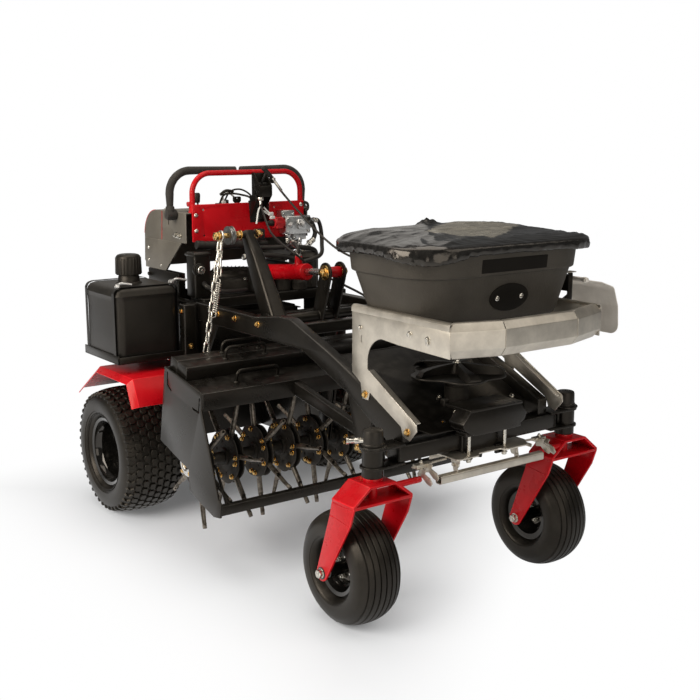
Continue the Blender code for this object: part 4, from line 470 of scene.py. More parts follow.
def rounded(outline, radius, steps=5):
    """A flat outline of pairs with each corner turned into an arc."""
    points = []
    count = len(outline)
    for i in range(count):
        before, corner, after = (Vector(outline[(i + j) % count]) for j in (-1, 0, 1))
        back, ahead = (before - corner), (after - corner)
        half = back.angle(ahead) / 2
        reach = min(radius / math.tan(half), back.length * 0.48, ahead.length * 0.48)
        size = reach * math.tan(half)
        middle = corner + (back.normalized() + ahead.normalized()).normalized() * (size / math.sin(half))
        first = corner + back.normalized() * reach - middle
        last = corner + ahead.normalized() * reach - middle
        turn = first.angle_signed(last)
        for step in range(steps + 1):
            points.append(tuple(middle + Matrix.Rotation(-turn * step / steps, 2) @ first))
    return points


def grown(bm, corners, step, ease=0.001, steps=2, corner_radius=0.0, corner_steps=4, holes=()):
    """A flat outline of drawing points, made as thick as step; it can have rounded corners or holes."""
    known = set(bm.verts)
    verts = [bm.verts.new(at(*corner)) for corner in corners]
    if holes:
        loops = [verts] + [[bm.verts.new(at(*corner)) for corner in hole] for hole in holes]
        edges = [bm.edges.new((loop[i], loop[i - 1])) for loop in loops for i in range(len(loop))]
        filled = bmesh.ops.triangle_fill(bm, edges=edges, use_beauty=True)['geom']
        faces = [item for item in filled if isinstance(item, bmesh.types.BMFace)]
    else:
        faces = [bm.faces.new(verts)]
        if corner_radius:
            made = bmesh.ops.bevel(bm, geom=verts, offset=corner_radius, segments=corner_steps, profile=0.5,
                affect='VERTICES', clamp_overlap=True, material=-1)
            faces = [max((f for f in {f for v in made['verts'] for f in v.link_faces}), key=lambda f: f.calc_area())]
    base = list({vert for face in faces for vert in face.verts})
    moved = verts_of(bmesh.ops.extrude_face_region(bm, geom=faces)['geom'])
    bmesh.ops.translate(bm, verts=moved, vec=step)
    eased(bm, base + moved, ease, steps)
    return [vert for vert in bm.verts if vert not in known]


def side_plate(bm, outline, x, ease=0.001, holes=(), **others):
    """A plate that stands fore and aft: an outline in (y, z) and its two x faces."""
    holes = [[(x[0], y, z) for y, z in hole] for hole in holes]
    return grown(bm, [(x[0], y, z) for y, z in outline], (x[1] - x[0], 0, 0), ease, holes=holes, **others)


def cross_plate(bm, outline, y, ease=0.001, holes=(), **others):
    """A plate that stands across: an outline in (x, z) and its two y faces."""
    holes = [[(x, y[0], z) for x, z in hole] for hole in holes]
    return grown(bm, [(x, y[0], z) for x, z in outline], (0, y[1] - y[0], 0), ease, holes=holes, **others)


def level_plate(bm, outline, z, ease=0.001, holes=(), **others):
    """A plate that lies flat: an outline in (x, y) and its two z faces."""
    holes = [[(x, y, z[0]) for x, y in hole] for hole in holes]
    return grown(bm, [(x, y, z[0]) for x, y in outline], (0, 0, z[1] - z[0]), ease, holes=holes, **others)


def circle(centre, radius, count=24):
    """Points of a round hole in an outline."""
    return [(centre[0] + radius * math.cos(math.tau * i / count), centre[1] + radius * math.sin(math.tau * i / count))
        for i in range(count)]


def arc(centre, radius, first, last, steps):
    """Points on an arc of an outline, angles in degrees."""
    turns = [math.radians(first + (last - first) * i / steps) for i in range(steps + 1)]
    return [(centre[0] + radius * math.cos(a), centre[1] + radius * math.sin(a)) for a in turns]


# %% Round bars, turned parts and bent tubes
POLE = 0.0002      # a turned solid starts this close to its axis, 0.2 in lists of millimetres


def rod(bm, start, end, radius, sides=24, end_radius=None, ease=0.0, raw=False):
    """A round bar or cone between two drawing points."""
    start, end = (Vector(start), Vector(end)) if raw else (at(*start), at(*end))
    along = end - start
    turn = Z_AXIS.rotation_difference(along).to_matrix().to_4x4()
    verts = bmesh.ops.create_cone(bm, cap_ends=True, segments=sides, radius1=radius,
        radius2=radius if end_radius is None else end_radius, depth=along.length,
        matrix=Matrix.Translation((start + end) / 2) @ turn)['verts']
    eased(bm, verts, ease, 2, 50)
    return verts


def turned(bm, profile, centre, axis, steps=64):
    """A closed profile of (place along the axis, radius) that is spun once round."""
    axis, centre = Vector(axis).normalized(), at(*centre)
    across = Z_AXIS if abs(axis.z) < 0.7 else X_AXIS
    across = (across - axis * across.dot(axis)).normalized()
    ring = [bm.verts.new(centre + axis * along + across * radius) for along, radius in profile]
    edges = [bm.edges.new((ring[i], ring[(i + 1) % len(ring)])) for i in range(len(ring))]
    before = set(bm.verts)
    bmesh.ops.spin(bm, geom=ring + edges, cent=centre, axis=axis, dvec=(0, 0, 0), angle=math.tau, steps=steps,
        use_merge=True)
    made = ring + [vert for vert in bm.verts if vert not in before]
    made = [vert for vert in made if vert.is_valid]
    bmesh.ops.recalc_face_normals(bm, faces=list({face for vert in made for face in vert.link_faces}))
    return made


def bent_path(points, radius, steps=8):
    """Corners of a bent rod, in drawing points, as arcs between straight runs."""
    path = [Vector(points[0])]
    for before, corner, after in zip(points, points[1:], points[2:]):
        before, corner, after = Vector(before), Vector(corner), Vector(after)
        back, ahead = (before - corner).normalized(), (after - corner).normalized()
        half = back.angle(ahead) / 2
        middle = corner + (back + ahead).normalized() * (radius / math.sin(half))
        first = corner + back * radius / math.tan(half) - middle
        last = corner + ahead * radius / math.tan(half) - middle
        path += [middle + first.normalized().slerp(last.normalized(), i / steps) * radius for i in range(steps + 1)]
    return path + [Vector(points[-1])]


def smooth_path(points, parts=6):
    """A soft curve through the chosen points of a hose or cable."""
    spots = [Vector(p) for p in points]
    spots = [spots[0] * 2 - spots[1]] + spots + [spots[-1] * 2 - spots[-2]]
    route = []
    for a, b, c, d in zip(spots, spots[1:], spots[2:], spots[3:]):
        for step in range(parts):
            t = step / parts
            route.append(0.5 * (2 * b + (c - a) * t + (2 * a - 5 * b + 4 * c - d) * t * t + (3 * b - a - 3 * c + d)
                * t ** 3))
    return route + [spots[-2]]


def tube(bm, points, radius, closed=False, resolution=3, flare=None):
    """A round tube along drawing points; flare gives each point its own share of the radius."""
    curve = bpy.data.curves.new("tube_line", 'CURVE')
    curve.dimensions = '3D'
    curve.bevel_depth = radius
    curve.bevel_resolution = resolution
    curve.use_fill_caps = not closed
    spline = curve.splines.new('POLY')
    spline.points.add(len(points) - 1)
    spline.use_cyclic_u = closed
    for number, (spot, place) in enumerate(zip(spline.points, points)):
        spot.co = (*at(*place), 1.0)
        spot.radius = flare(number) if flare else 1.0
    holder = bpy.data.objects.new("tube_line", curve)
    mesh = bpy.data.meshes.new_from_object(holder)
    before = set(bm.verts)
    bm.from_mesh(mesh)
    made = [vert for vert in bm.verts if vert not in before]
    bmesh.ops.remove_doubles(bm, verts=made, dist=1e-6)
    bpy.data.objects.remove(holder)
    bpy.data.meshes.remove(mesh)
    bpy.data.curves.remove(curve)


# %% A finished piece
SHOWN = []


def show_piece(name, bm, finish, replaces=None, smooth=35, body="chassis"):
    """Turn the bmesh into a piece with this finish that rides on its body, and hide the frame part it replaces."""
    mesh = bpy.data.meshes.new(name)
    bm.to_mesh(mesh)
    bm.free()
    mesh.materials.append(finish)
    mesh.shade_smooth()
    mesh.set_sharp_from_angle(angle=math.radians(smooth))
    piece = bpy.data.objects.new(name, mesh)
    bpy.context.scene.collection.objects.link(piece)
    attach(piece, body)
    if replaces:
        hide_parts(replaces)
    SHOWN.append(name)
    print(name, len(mesh.polygons), "faces")
    return piece


def fasten(bm, seat, axis, across=0.016, washer=None, stub=0.0):
    """A hexagon head or nut with its washer; seat is the drawing point where the washer lies."""
    axis = Vector(axis).normalized()
    seat = at(*seat)
    washer = across * 0.78 if washer is None else washer
    rod(bm, seat - axis * 0.001, seat + axis * across * 0.11, washer, 28, None, across * 0.03, raw=True)
    head = rod(bm, seat + axis * across * 0.1, seat + axis * across * 0.62, across * 0.577, 6, raw=True)
    eased(bm, head, across * 0.05, 2, 40)
    rod(bm, seat + axis * across * 0.55, seat + axis * (across * 0.66), across * 0.42, 20, across * 0.36, raw=True)
    if stub:
        rod(bm, seat + axis * across * 0.5, seat + axis * (across * 0.62 + stub), across * 0.28, 16, None,
            across * 0.05, raw=True)


def button_head(bm, seat, axis, radius=0.008):
    """A low domed screw head."""
    turned(bm, [(-0.001, POLE), (-0.001, radius), (radius * 0.18, radius), (radius * 0.42, radius * 0.82),
        (radius * 0.56, radius * 0.45), (radius * 0.6, POLE)], seat, axis, 24)


print("shape helpers ready")

# %% [markdown]
# ## Caster wheels
#
# A caster tyre is smooth at the sides and has plain grooves that run round it, so that the wheel
# swivels without tearing turf. A tyre is a turned shape: one half section with its grooves is
# spun once round the axle. The rim is pressed from sheet, so its section is spun as well, as a
# wall with two faces, and the lug nuts and the hub are set into it.

# %% Caster tyres and rims
CASTER_X = 0.414
CASTER_TYRE_R, CASTER_HALF_W = 0.184, 0.084
CASTER_RIM_R, CASTER_RIM_HALF = 0.076, 0.056


def grooved_crown(half, radius, crown, grooves, width, depth):
    """Right half of a ribbed tread, from the middle outwards, as (across, radius) points."""
    points = []
    for groove in grooves:
        edge = groove - width / 2
        for place, drop in ((edge - 0.0008, 0.0), (edge + 0.0004, 0.0012), (edge + 0.0012, depth),
                (edge + width - 0.0012, depth), (edge + width - 0.0004, 0.0012), (edge + width + 0.0008, 0.0)):
            if place > 0:
                points.append((place, radius - crown * (place / half) ** 2.6 - drop))
    return points


def tyre_section(half, radius, rim_r, rim_half, crown, tread):
    """A closed section of a tyre: bead, bulged side wall, shoulder and tread, on both sides."""
    lip = rim_r + 0.015
    rise = radius - crown - lip
    side = [(rim_half - 0.009, rim_r + 0.0004), (rim_half - 0.008, lip), (rim_half + 0.006, lip + 0.06 * rise),
        (half * 0.9, lip + 0.16 * rise), (half * 0.955, lip + 0.25 * rise), (half * 0.962, lip + 0.285 * rise),
        (half * 0.985, lip + 0.3 * rise), (half, lip + 0.46 * rise), (half * 0.998, lip + 0.6 * rise),
        (half * 0.975, lip + 0.8 * rise), (half * 0.935, lip + 0.94 * rise), (half * 0.905, lip + 1.0 * rise)]
    inner = [(rim_half - 0.02, rim_r + 0.0004), (rim_half - 0.022, lip), (half * 0.8, lip + 0.4 * rise),
        (half * 0.7, lip + 0.85 * rise)]
    right = side + list(reversed(tread))
    outer = right + [(-x, r) for x, r in reversed(right)]
    hidden = [(-x, r) for x, r in inner] + list(reversed(inner))
    return outer + hidden


for side, label in ((-1, "right"), (1, "left")):
    tread = grooved_crown(CASTER_HALF_W, CASTER_TYRE_R, 0.03, (0.0, 0.0205, 0.0405, 0.059), 0.0052, 0.0052)
    bm = fresh()
    turned(bm, tyre_section(CASTER_HALF_W, CASTER_TYRE_R, CASTER_RIM_R, CASTER_RIM_HALF, 0.03, tread),
        (side * CASTER_X, 0, CASTER_TYRE_R), X_AXIS, 128)
    show_piece("ribbed_tyre_" + label, bm, TYRE, "caster_tyre_" + label, 32, body=label + "_caster_wheel")


def pressed_rim(bm, centre, outward, radius, half, disc_at, hub_r, hub_out, bolt_circle, bore):
    """A dished disc wheel: two lips, a well, a disc with a raised ring, a hub and lug nuts."""
    sheet = 0.004
    face = [(half, radius + 0.012), (half + 0.0015, radius + 0.0095), (half - 0.002, radius - 0.002),
        (half - 0.022, radius - 0.006), (half - 0.03, radius - 0.013), (disc_at + 0.022, radius - 0.015),
        (disc_at + 0.01, radius - 0.019), (disc_at + 0.004, radius - 0.03), (disc_at + 0.01, bolt_circle + 0.02),
        (disc_at + 0.012, bolt_circle + 0.012), (disc_at + 0.004, bolt_circle + 0.006),
        (disc_at + 0.004, hub_r + 0.006), (disc_at + 0.01, hub_r)]
    back = [(disc_at - sheet, hub_r), (disc_at - sheet, radius - 0.034), (disc_at - sheet, radius - 0.019),
        (-half + 0.03, radius - 0.015), (-half + 0.022, radius - 0.01), (-half + 0.002, radius - 0.006),
        (-half, radius + 0.01), (-half - 0.0005, radius + 0.012), (-half + 0.004, radius + 0.012),
        (-half + 0.009, radius), (half - 0.009, radius), (half - 0.004, radius + 0.012)]
    turned(bm, face + back, centre, X_AXIS * outward, 96)
    turned(bm, [(-hub_out, bore), (hub_out, bore), (hub_out, hub_r * 0.8), (hub_out - 0.003, hub_r * 0.92),
        (disc_at + 0.01, hub_r * 1.02), (disc_at - sheet, hub_r * 1.02), (-hub_out, hub_r * 0.92)], centre,
        X_AXIS * outward, 48)


def lug_nuts(bm, centre, outward, at_depth, circle, count, across, phase=0.3):
    for number in range(count):
        a = math.tau * number / count + phase
        seat = (centre[0] + outward * at_depth, centre[1] + circle * math.cos(a), centre[2] + circle * math.sin(a))
        fasten(bm, seat, (outward, 0, 0), across, across * 0.62, across * 0.5)


for side, label in ((-1, "right"), (1, "left")):
    centre = (side * CASTER_X, 0, CASTER_TYRE_R)
    bm = fresh()
    pressed_rim(bm, centre, side, CASTER_RIM_R, CASTER_RIM_HALF, disc_at=0.012, hub_r=0.021, hub_out=0.092,
        bolt_circle=0.04, bore=0.0104)
    show_piece("pressed_rim_" + label, bm, GLOSS_BLACK, "caster_rim_" + label, 30, body=label + "_caster_wheel")
    bm = fresh()
    for outward in (-1, 1):
        lug_nuts(bm, (centre[0] + side * 0.012, 0, CASTER_TYRE_R), outward, 0.006, 0.0375, 4, 0.013)
    rod(bm, (centre[0] + side * 0.006, 0.05, CASTER_TYRE_R + 0.032), (centre[0] - side * 0.03, 0.056,
        CASTER_TYRE_R + 0.036), 0.0035, 12, ease=0.0008)
    show_piece("rim_nuts_" + label, bm, ZINC, body=label + "_caster_wheel")

# %% [markdown]
# ## Turf tyres
#
# The driven tyres carry rounded six-sided blocks in staggered rows, and at each shoulder a
# zigzag of longer bars that fade into the side wall. Displacing a smooth tyre by a pattern would
# blur them. Here one block is modelled with eased edges, bent to the crown and copied round the
# wheel, which is how a mould for such a tyre is cut as well.

# %% Turf tread
DRIVE_X, WHEELBASE = 0.505, 1.39
DRIVE_TYRE_R, DRIVE_HALF_W = 0.254, 0.1275
DRIVE_RIM_R, DRIVE_RIM_HALF = 0.127, 0.103
TREAD_DEPTH = 0.0085
TREAD_ROUND = 44


def crown_radius(across):
    """Radius of the carcass under the tread at a place across the tyre."""
    return DRIVE_TYRE_R - TREAD_DEPTH - 0.021 * abs(across / DRIVE_HALF_W) ** 2.8


def tread_block(bm, centre, outline, across, turn):
    """One rubber block: its outline in (across, along) is wrapped on the tyre and grown outwards."""
    ring = [bm.verts.new((u, v, 0)) for u, v in outline]
    face = bm.faces.new(ring)
    top = bmesh.ops.extrude_face_region(bm, geom=[face])['geom']
    raised = verts_of(top)
    middle = Vector((sum(u for u, v in outline) / len(outline), sum(v for u, v in outline) / len(outline), 0))
    bmesh.ops.translate(bm, verts=raised, vec=(0, 0, 1))
    bmesh.ops.scale(bm, verts=raised, vec=(0.9, 0.92, 1), space=Matrix.Translation(-middle))
    cap = [item for item in top if isinstance(item, bmesh.types.BMFace)]
    inset = bmesh.ops.inset_region(bm, faces=cap, thickness=0.0012, depth=0.0)
    rim = {vert for face in inset['faces'] for vert in face.verts} - set(cap[0].verts)
    for vert in ring + list(rim) + list(cap[0].verts):
        along = across + vert.co.x
        height = 0.0 if vert.co.z < 0.5 else TREAD_DEPTH
        if vert in rim:
            height -= 0.0016
        radius = crown_radius(along) - 0.003 + (height + 0.003 if height else 0.0)
        a = turn + vert.co.y / DRIVE_TYRE_R
        vert.co = at(centre[0] + along, centre[1] + radius * math.cos(a), centre[2] + radius * math.sin(a))


def hexagon(width, length, nip=0.24):
    """A block outline with long sides along the tyre and clipped corners."""
    return [(-width / 2, -length * nip), (-width * 0.28, -length / 2), (width * 0.28, -length / 2),
        (width / 2, -length * nip), (width / 2, length * nip), (width * 0.28, length / 2),
        (-width * 0.28, length / 2), (-width / 2, length * nip)]


def turf_tyre(bm, centre):
    pitch = math.tau / TREAD_ROUND
    arc_length = pitch * DRIVE_TYRE_R
    rows = (-0.0755, -0.0453, -0.0151, 0.0151, 0.0453, 0.0755)
    for number in range(TREAD_ROUND):
        for place, across in enumerate(rows):
            turn = pitch * (number + (0.5 if place % 2 else 0.0))
            tread_block(bm, centre, hexagon(0.0265, arc_length * 0.84), across, turn)
        for end in (-1, 1):
            turn = pitch * (number + (0.25 if end < 0 else 0.75))
            bar = [(0.0, -arc_length * 0.36), (0.0125, -arc_length * 0.12), (0.024, -arc_length * 0.3),
                (0.0285, -arc_length * 0.22), (0.0285, arc_length * 0.02), (0.02, arc_length * 0.16),
                (0.01, arc_length * 0.34), (0.0, arc_length * 0.16)]
            outline = [(end * (u - 0.004), v) for u, v in bar]
            tread_block(bm, centre, outline if end > 0 else outline[::-1], end * 0.0955, turn)


for side, label in ((-1, "right"), (1, "left")):
    centre = (side * DRIVE_X, WHEELBASE, DRIVE_TYRE_R)
    bm = fresh()
    tread = [(x * 0.1 * DRIVE_HALF_W, crown_radius(x * 0.1 * DRIVE_HALF_W)) for x in range(0, 10)]
    section = tyre_section(DRIVE_HALF_W, DRIVE_TYRE_R, DRIVE_RIM_R, DRIVE_RIM_HALF, 0.02 + TREAD_DEPTH, tread)
    turned(bm, section, centre, X_AXIS, 128)
    for end in (-1, 1):
        for ring_r, rise in ((0.152, 0.0012), (0.158, 0.0012)):
            turned(bm, [(end * 0.1175, ring_r), (end * 0.12, ring_r + 0.001), (end * 0.12, ring_r + 0.0022),
                (end * 0.1175, ring_r + 0.0032)], centre, X_AXIS, 96)
    turf_tyre(bm, centre)
    bmesh.ops.recalc_face_normals(bm, faces=bm.faces)
    show_piece("turf_tyre_" + label, bm, TYRE, "drive_tyre_" + label, 40, body=label + "_drive_wheel")
    bm = fresh()
    pressed_rim(bm, centre, side, DRIVE_RIM_R, DRIVE_RIM_HALF, disc_at=-0.02, hub_r=0.034, hub_out=0.034,
        bolt_circle=0.062, bore=0.0186)
    rod(bm, (centre[0] + side * 0.072, centre[1] + 0.085, centre[2] + 0.062),
        (centre[0] + side * 0.1, centre[1] + 0.083, centre[2] + 0.06), 0.0045, 14, 0.0035, ease=0.001)
    show_piece("deep_rim_" + label, bm, GLOSS_BLACK, "drive_rim_" + label, 30, body=label + "_drive_wheel")
    bm = fresh()
    lug_nuts(bm, centre, side, -0.006, 0.056, 5, 0.02)
    rod(bm, (side * 0.5, WHEELBASE, DRIVE_TYRE_R), (side * 0.531, WHEELBASE, DRIVE_TYRE_R), 0.016, 32, ease=0.001)
    fasten(bm, (side * 0.53, WHEELBASE, DRIVE_TYRE_R), (side, 0, 0), 0.034, 0.024, 0.006)
    show_piece("lug_nuts_" + label, bm, ZINC, body=label + "_drive_wheel")

# %% [markdown]
# ## Caster forks
#
# Each fork is flat bar and folded plate, welded and then powder coated red. The crown is a hollow
# trapezoid: a folded hat on a flat cross plate. Its legs taper to a round heel at the wheel bolt.
# A weld bead is a wavy round bead, so it is a thin bent tube whose radius ripples.

# %% Weld beads
def weld_bead(bm, points, radius=0.0022, ripple=0.0035):
    """A bead along drawing points, with the small waves that each drop of weld leaves."""
    path = []
    for first, last in zip(points, points[1:]):
        first, last = Vector(first), Vector(last)
        count = max(3, int((last - first).length / ripple))
        path += [first.lerp(last, i / count) for i in range(count)]
    path.append(Vector(points[-1]))
    tube(bm, path, radius, resolution=1, flare=lambda i: 0.85 + 0.25 * (i % 2) + 0.1 * math.sin(i * 1.7))


# %% Red forks
FORK_Y = -0.11
LEG_IN, LEG_OUT = 0.104, 0.112
CROWN_TOP, SHOULDER = 0.49, 0.44
CROSS_LOW = SHOULDER - 0.012

for side, label in ((-1, "right"), (1, "left")):
    bm = fresh()
    x = side * CASTER_X
    hat = [(x - LEG_OUT, CROSS_LOW), (x - LEG_OUT, SHOULDER), (x - 0.05, CROWN_TOP), (x + 0.05, CROWN_TOP),
        (x + LEG_OUT, SHOULDER), (x + LEG_OUT, CROSS_LOW), (x + LEG_IN, CROSS_LOW), (x + LEG_IN, SHOULDER - 0.005),
        (x + 0.046, CROWN_TOP - 0.008), (x - 0.046, CROWN_TOP - 0.008), (x - LEG_IN, SHOULDER - 0.005),
        (x - LEG_IN, CROSS_LOW)]
    cross_plate(bm, hat, (FORK_Y - 0.055, FORK_Y + 0.055), 0.0022)
    block(bm, (x - LEG_IN - 0.001, x + LEG_IN + 0.001), (FORK_Y - 0.0545, FORK_Y + 0.0545),
        (CROSS_LOW, CROSS_LOW + 0.008), 0.0015)
    heel = arc((0.0, CASTER_TYRE_R), 0.026, -150, 30, 14)
    leg = [(FORK_Y - 0.055, CROSS_LOW + 0.003), (FORK_Y - 0.037, CROSS_LOW - 0.05)] + heel
    leg += [(FORK_Y + 0.067, CROSS_LOW - 0.045), (FORK_Y + 0.055, CROSS_LOW + 0.003)]
    for out in (-1, 1):
        side_plate(bm, leg, sorted((x + out * LEG_IN, x + out * LEG_OUT)), 0.0018)
        edge_x = x + out * (LEG_OUT - 0.0005)
        weld_bead(bm, [(edge_x, FORK_Y - 0.05, CROSS_LOW), (edge_x, FORK_Y + 0.05, CROSS_LOW)], 0.002)
        weld_bead(bm, [(x + out * LEG_IN, FORK_Y - 0.054, CROSS_LOW + 0.0085),
            (x + out * 0.06, FORK_Y - 0.054, CROSS_LOW + 0.0085)], 0.0018)
        fold_x = x + out * (LEG_OUT + 0.0003)
        rod(bm, (fold_x - out * 0.0012, FORK_Y - 0.03, 0.375), (fold_x - out * 0.0012, FORK_Y + 0.064, 0.385), 0.002,
            10)
    rod(bm, (x, FORK_Y, CROWN_TOP - 0.004), (x, FORK_Y, 0.4996), 0.03, 40, ease=0.002)
    rod(bm, (x, FORK_Y, 0.4985), (x, FORK_Y, 0.615), 0.0195, 32)
    rod(bm, (x, FORK_Y, CROSS_LOW + 0.007), (x, FORK_Y, CROWN_TOP - 0.007), 0.014, 24)
    lock_y, lock_z = FORK_Y - 0.041, CROWN_TOP - 0.016
    rod(bm, (side * (CASTER_X - 0.062), lock_y, lock_z), (side * 0.262, lock_y, lock_z), 0.01, 28, ease=0.0035)
    show_piece("red_fork_" + label, bm, RED, "caster_fork_" + label, 30, body=label + "_caster_fork")

    bm = fresh()
    outer, inner = x + side * LEG_OUT, x - side * LEG_OUT
    fasten(bm, (outer, 0, CASTER_TYRE_R), (side, 0, 0), 0.024, 0.015)
    fasten(bm, (inner, 0, CASTER_TYRE_R), (-side, 0, 0), 0.024, 0.0165, 0.0045)
    rod(bm, (x - LEG_IN, 0, CASTER_TYRE_R), (x + LEG_IN, 0, CASTER_TYRE_R), 0.0092, 20)
    show_piece("wheel_bolt_" + label, bm, ZINC, body=label + "_caster_fork")
    bm = fresh()
    rod(bm, (outer - side * 0.0002, 0, CASTER_TYRE_R), (outer + side * 0.0016, 0, CASTER_TYRE_R), 0.0195, 32,
        ease=0.0005)
    show_piece("bolt_washer_" + label, bm, GLOSS_BLACK, body=label + "_caster_fork")

# %% [markdown]
# ## Front beam
#
# The beam is a rectangular tube with a round barrel welded to each end between two flange plates.
# The fork's kingpin turns in the barrel under a rubber dust cap. In the middle sit a sleeve and a
# roof-shaped hood, and two long bolts clamp a stainless bracket below. All of it is welded up from
# the blocks, bars and plates above, so it needs no boolean: the parts simply run into each other.

# %% Beam, barrels and hood
BEAM_Y = (-0.14, -0.08)
BEAM_Z = (0.535, 0.585)
bm = fresh()
block(bm, (-0.334, 0.334), BEAM_Y, BEAM_Z, 0.0045, 3)
for side in (-1, 1):
    x = side * CASTER_X
    turned(bm, mm((500, 21.3), (500, 31), (502, 33), (590, 33), (590, 21.3)), (x, FORK_Y, 0), Z_AXIS, 56)
    for low in (BEAM_Z[1] - 0.0005, BEAM_Z[0] - 0.0075):
        flange = [(side * 0.313, -0.143)] + [(x + side * (0.04 * math.cos(a)), FORK_Y + 0.04 * math.sin(a))
            for a in (math.radians(-90 + 15 * i) for i in range(13))] + [(side * 0.313, -0.077)]
        level_plate(bm, flange, (low, low + 0.008), 0.0015)
    rod(bm, (x, FORK_Y, 0.592), (x, FORK_Y, 0.598), 0.043, 48, ease=0.002)
    block(bm, sided(side, 0.372, 0.392), (-0.118, -0.1), (0.541, 0.587), 0.002)
    block(bm, sided(side, 0.33, 0.337), (-0.1385, -0.0815), (0.5365, 0.5835), 0.002)
    weld_bead(bm, [(side * 0.334, -0.1405, 0.54), (side * 0.334, -0.1405, 0.58)], 0.002)
    weld_bead(bm, [(side * 0.315, -0.1435, 0.5855), (side * 0.385, -0.1435, 0.5855)], 0.0018)
block(bm, (-0.09, 0.09), (-0.148, -0.072), (0.525, 0.595), 0.004, 3)
hood = mm((-137, 634), (-128, 612), (-85, 590), (85, 590), (128, 612), (137, 634), (105, 672), (-105, 672))
cross_plate(bm, hood, (-0.202, -0.134), 0.003)
cross_plate(bm, mm((-112, 668), (112, 668), (112, 676), (-112, 676)), (-0.206, -0.09), 0.0012)
for side in (-1, 1):
    block(bm, sided(side, 0.05, 0.088), (-0.156, -0.146), (0.5, 0.53), 0.002)
    block(bm, sided(side, 0.03, 0.118), (-0.196, -0.146), (0.5895, 0.6035), 0.003)
show_piece("front_beam", bm, BLACK, "axle_beam", 30)

# %% Dust caps and clamp bolts
for side, label in ((-1, "right"), (1, "left")):
    bm = fresh()
    turned(bm, mm((598.5, 27), (598.5, 34), (601.5, 34.8), (605.5, 34.2), (607.5, 32.2), (640, 31.2), (645.5, 29.6),
        (647.5, 26.2), (649, 3), (652, 0.2), (642, 0.2), (642, 27)), (side * CASTER_X, FORK_Y, -0.0005), Z_AXIS, 56)
    show_piece("dust_cap_" + label, bm, PLASTIC, "caster_cap_" + label, 40)

bm = fresh()
for side in (-1, 1):
    rod(bm, (side * 0.077, -0.164, 0.496), (side * 0.077, -0.164, 0.606), 0.0062, 24)
    for turn in range(7):
        z = 0.499 + turn * 0.0032
        rod(bm, (side * 0.077, -0.164, z), (side * 0.077, -0.164, z + 0.0016), 0.0069, 20, ease=0.0005)
    fasten(bm, (side * 0.077, -0.164, 0.6035), (0, 0, 1), 0.015, 0.011)
    fasten(bm, (side * 0.077, -0.164, 0.506), (0, 0, -1), 0.015, 0.011)
rod(bm, (-0.44, -0.098, 0.613), (-0.462, -0.083, 0.613), 0.0095, 6, ease=0.0008)
rod(bm, (-0.45, -0.091, 0.613), (-0.478, -0.073, 0.613), 0.0075, 24, 0.007, ease=0.001)
turned(bm, mm((-3, 4.5), (4, 4.5), (4, 10.2), (-3, 10.2)), (-0.479, -0.072, 0.613), (-0.82, 0.57, 0), 28)
show_piece("clamp_bolts", bm, ZINC)

# %% Stainless lock bracket and lock bar
bm = fresh()
top = 0.5246
bracket = mm((-150, -195), (-150, -60), (185, -60), (185, -150), (150, -195), (60, -195), (45, -176), (-45, -176),
    (-60, -195))
level_plate(bm, bracket, (top - 0.005, top), 0.0008, corner_radius=0.006)
block(bm, (-0.15, 0.185), (-0.064, -0.06), (top - 0.03, top - 0.002), 0.0008)
for x in (-0.126, 0.126):
    lug = [(-0.176, top - 0.001), (-0.174, 0.494), (-0.168, 0.487), (-0.152, 0.487), (-0.146, 0.494),
        (-0.144, top - 0.001)]
    side_plate(bm, lug, (x - 0.003, x + 0.003), 0.0008)
for x in (0.172, -0.14):
    side_plate(bm, mm((-192, 520.5), (-192, 508), (-152, 508), (-152, 520.5)), (x, x + 0.003), 0.0006,
        corner_radius=0.003)
show_piece("stainless_bracket", bm, STAINLESS, "lock_bracket", 30)

bm = fresh()
hook = mm((-176, 520), (-170, 506), (-196, 498), (-206, 484), (-198, 474), (-180, 478), (-160, 492), (-140, 488),
    (-136, 500), (-150, 520))
for x, lift in mm((-262, -12), (-236, 0), (248, 0), (272, -6)):
    side_plate(bm, [(y, z + lift) for y, z in hook], (x, x + 0.003), 0.0005)
block(bm, (-0.275, -0.214), (-0.15, -0.128), (0.505, 0.518), 0.0008)
block(bm, (0.236, 0.284), (-0.15, -0.128), (0.505, 0.518), 0.0008)
rod(bm, (-0.285, -0.14, 0.512), (-0.15, -0.14, 0.516), 0.004, 14)
rod(bm, (0.15, -0.14, 0.516), (0.29, -0.14, 0.512), 0.004, 14)
for x in (-0.25, 0.262):
    fasten(bm, (x, -0.139, 0.518), (0, 0, 1), 0.011, 0.009, 0.004)
show_piece("latch_linkage", bm, STAINLESS, smooth=30)

bm = fresh()
bar_y, bar_z = -0.17, 0.465
outline = [(bar_y - 0.0135, bar_z - 0.0135), (bar_y + 0.0135, bar_z - 0.0135), (bar_y + 0.0135, bar_z + 0.0135),
    (bar_y - 0.0135, bar_z + 0.0135)]
side_plate(bm, outline, (-0.205, 0.24), 0.0, corner_radius=0.0065, corner_steps=5)
ends = [face for face in bm.faces if abs(abs(face.normal.x) - 1) < 0.01]
bmesh.ops.inset_region(bm, faces=ends, thickness=0.0022, depth=0.0)
bore = [face for face in ends if face.is_valid]
hollowed = bmesh.ops.extrude_face_region(bm, geom=bore)
for vert in verts_of(hollowed['geom']):
    vert.co.x -= math.copysign(0.03, vert.co.x)
bmesh.ops.delete(bm, geom=[face for face in bore if face.is_valid], context='FACES')
for side in (-1, 1):
    arm = mm((-169, 507), (-163, 511), (-156, 511), (-150, 506), (-161, 470), (-179, 470))
    side_plate(bm, arm, sided(side, 0.1294, 0.1344), 0.0008)
    fasten(bm, (side * 0.1344, -0.16, 0.5), (side, 0, 0), 0.01)
show_piece("stainless_lock_bar", bm, STAINLESS, "caster_lock_bar", 30, body="caster_lock")

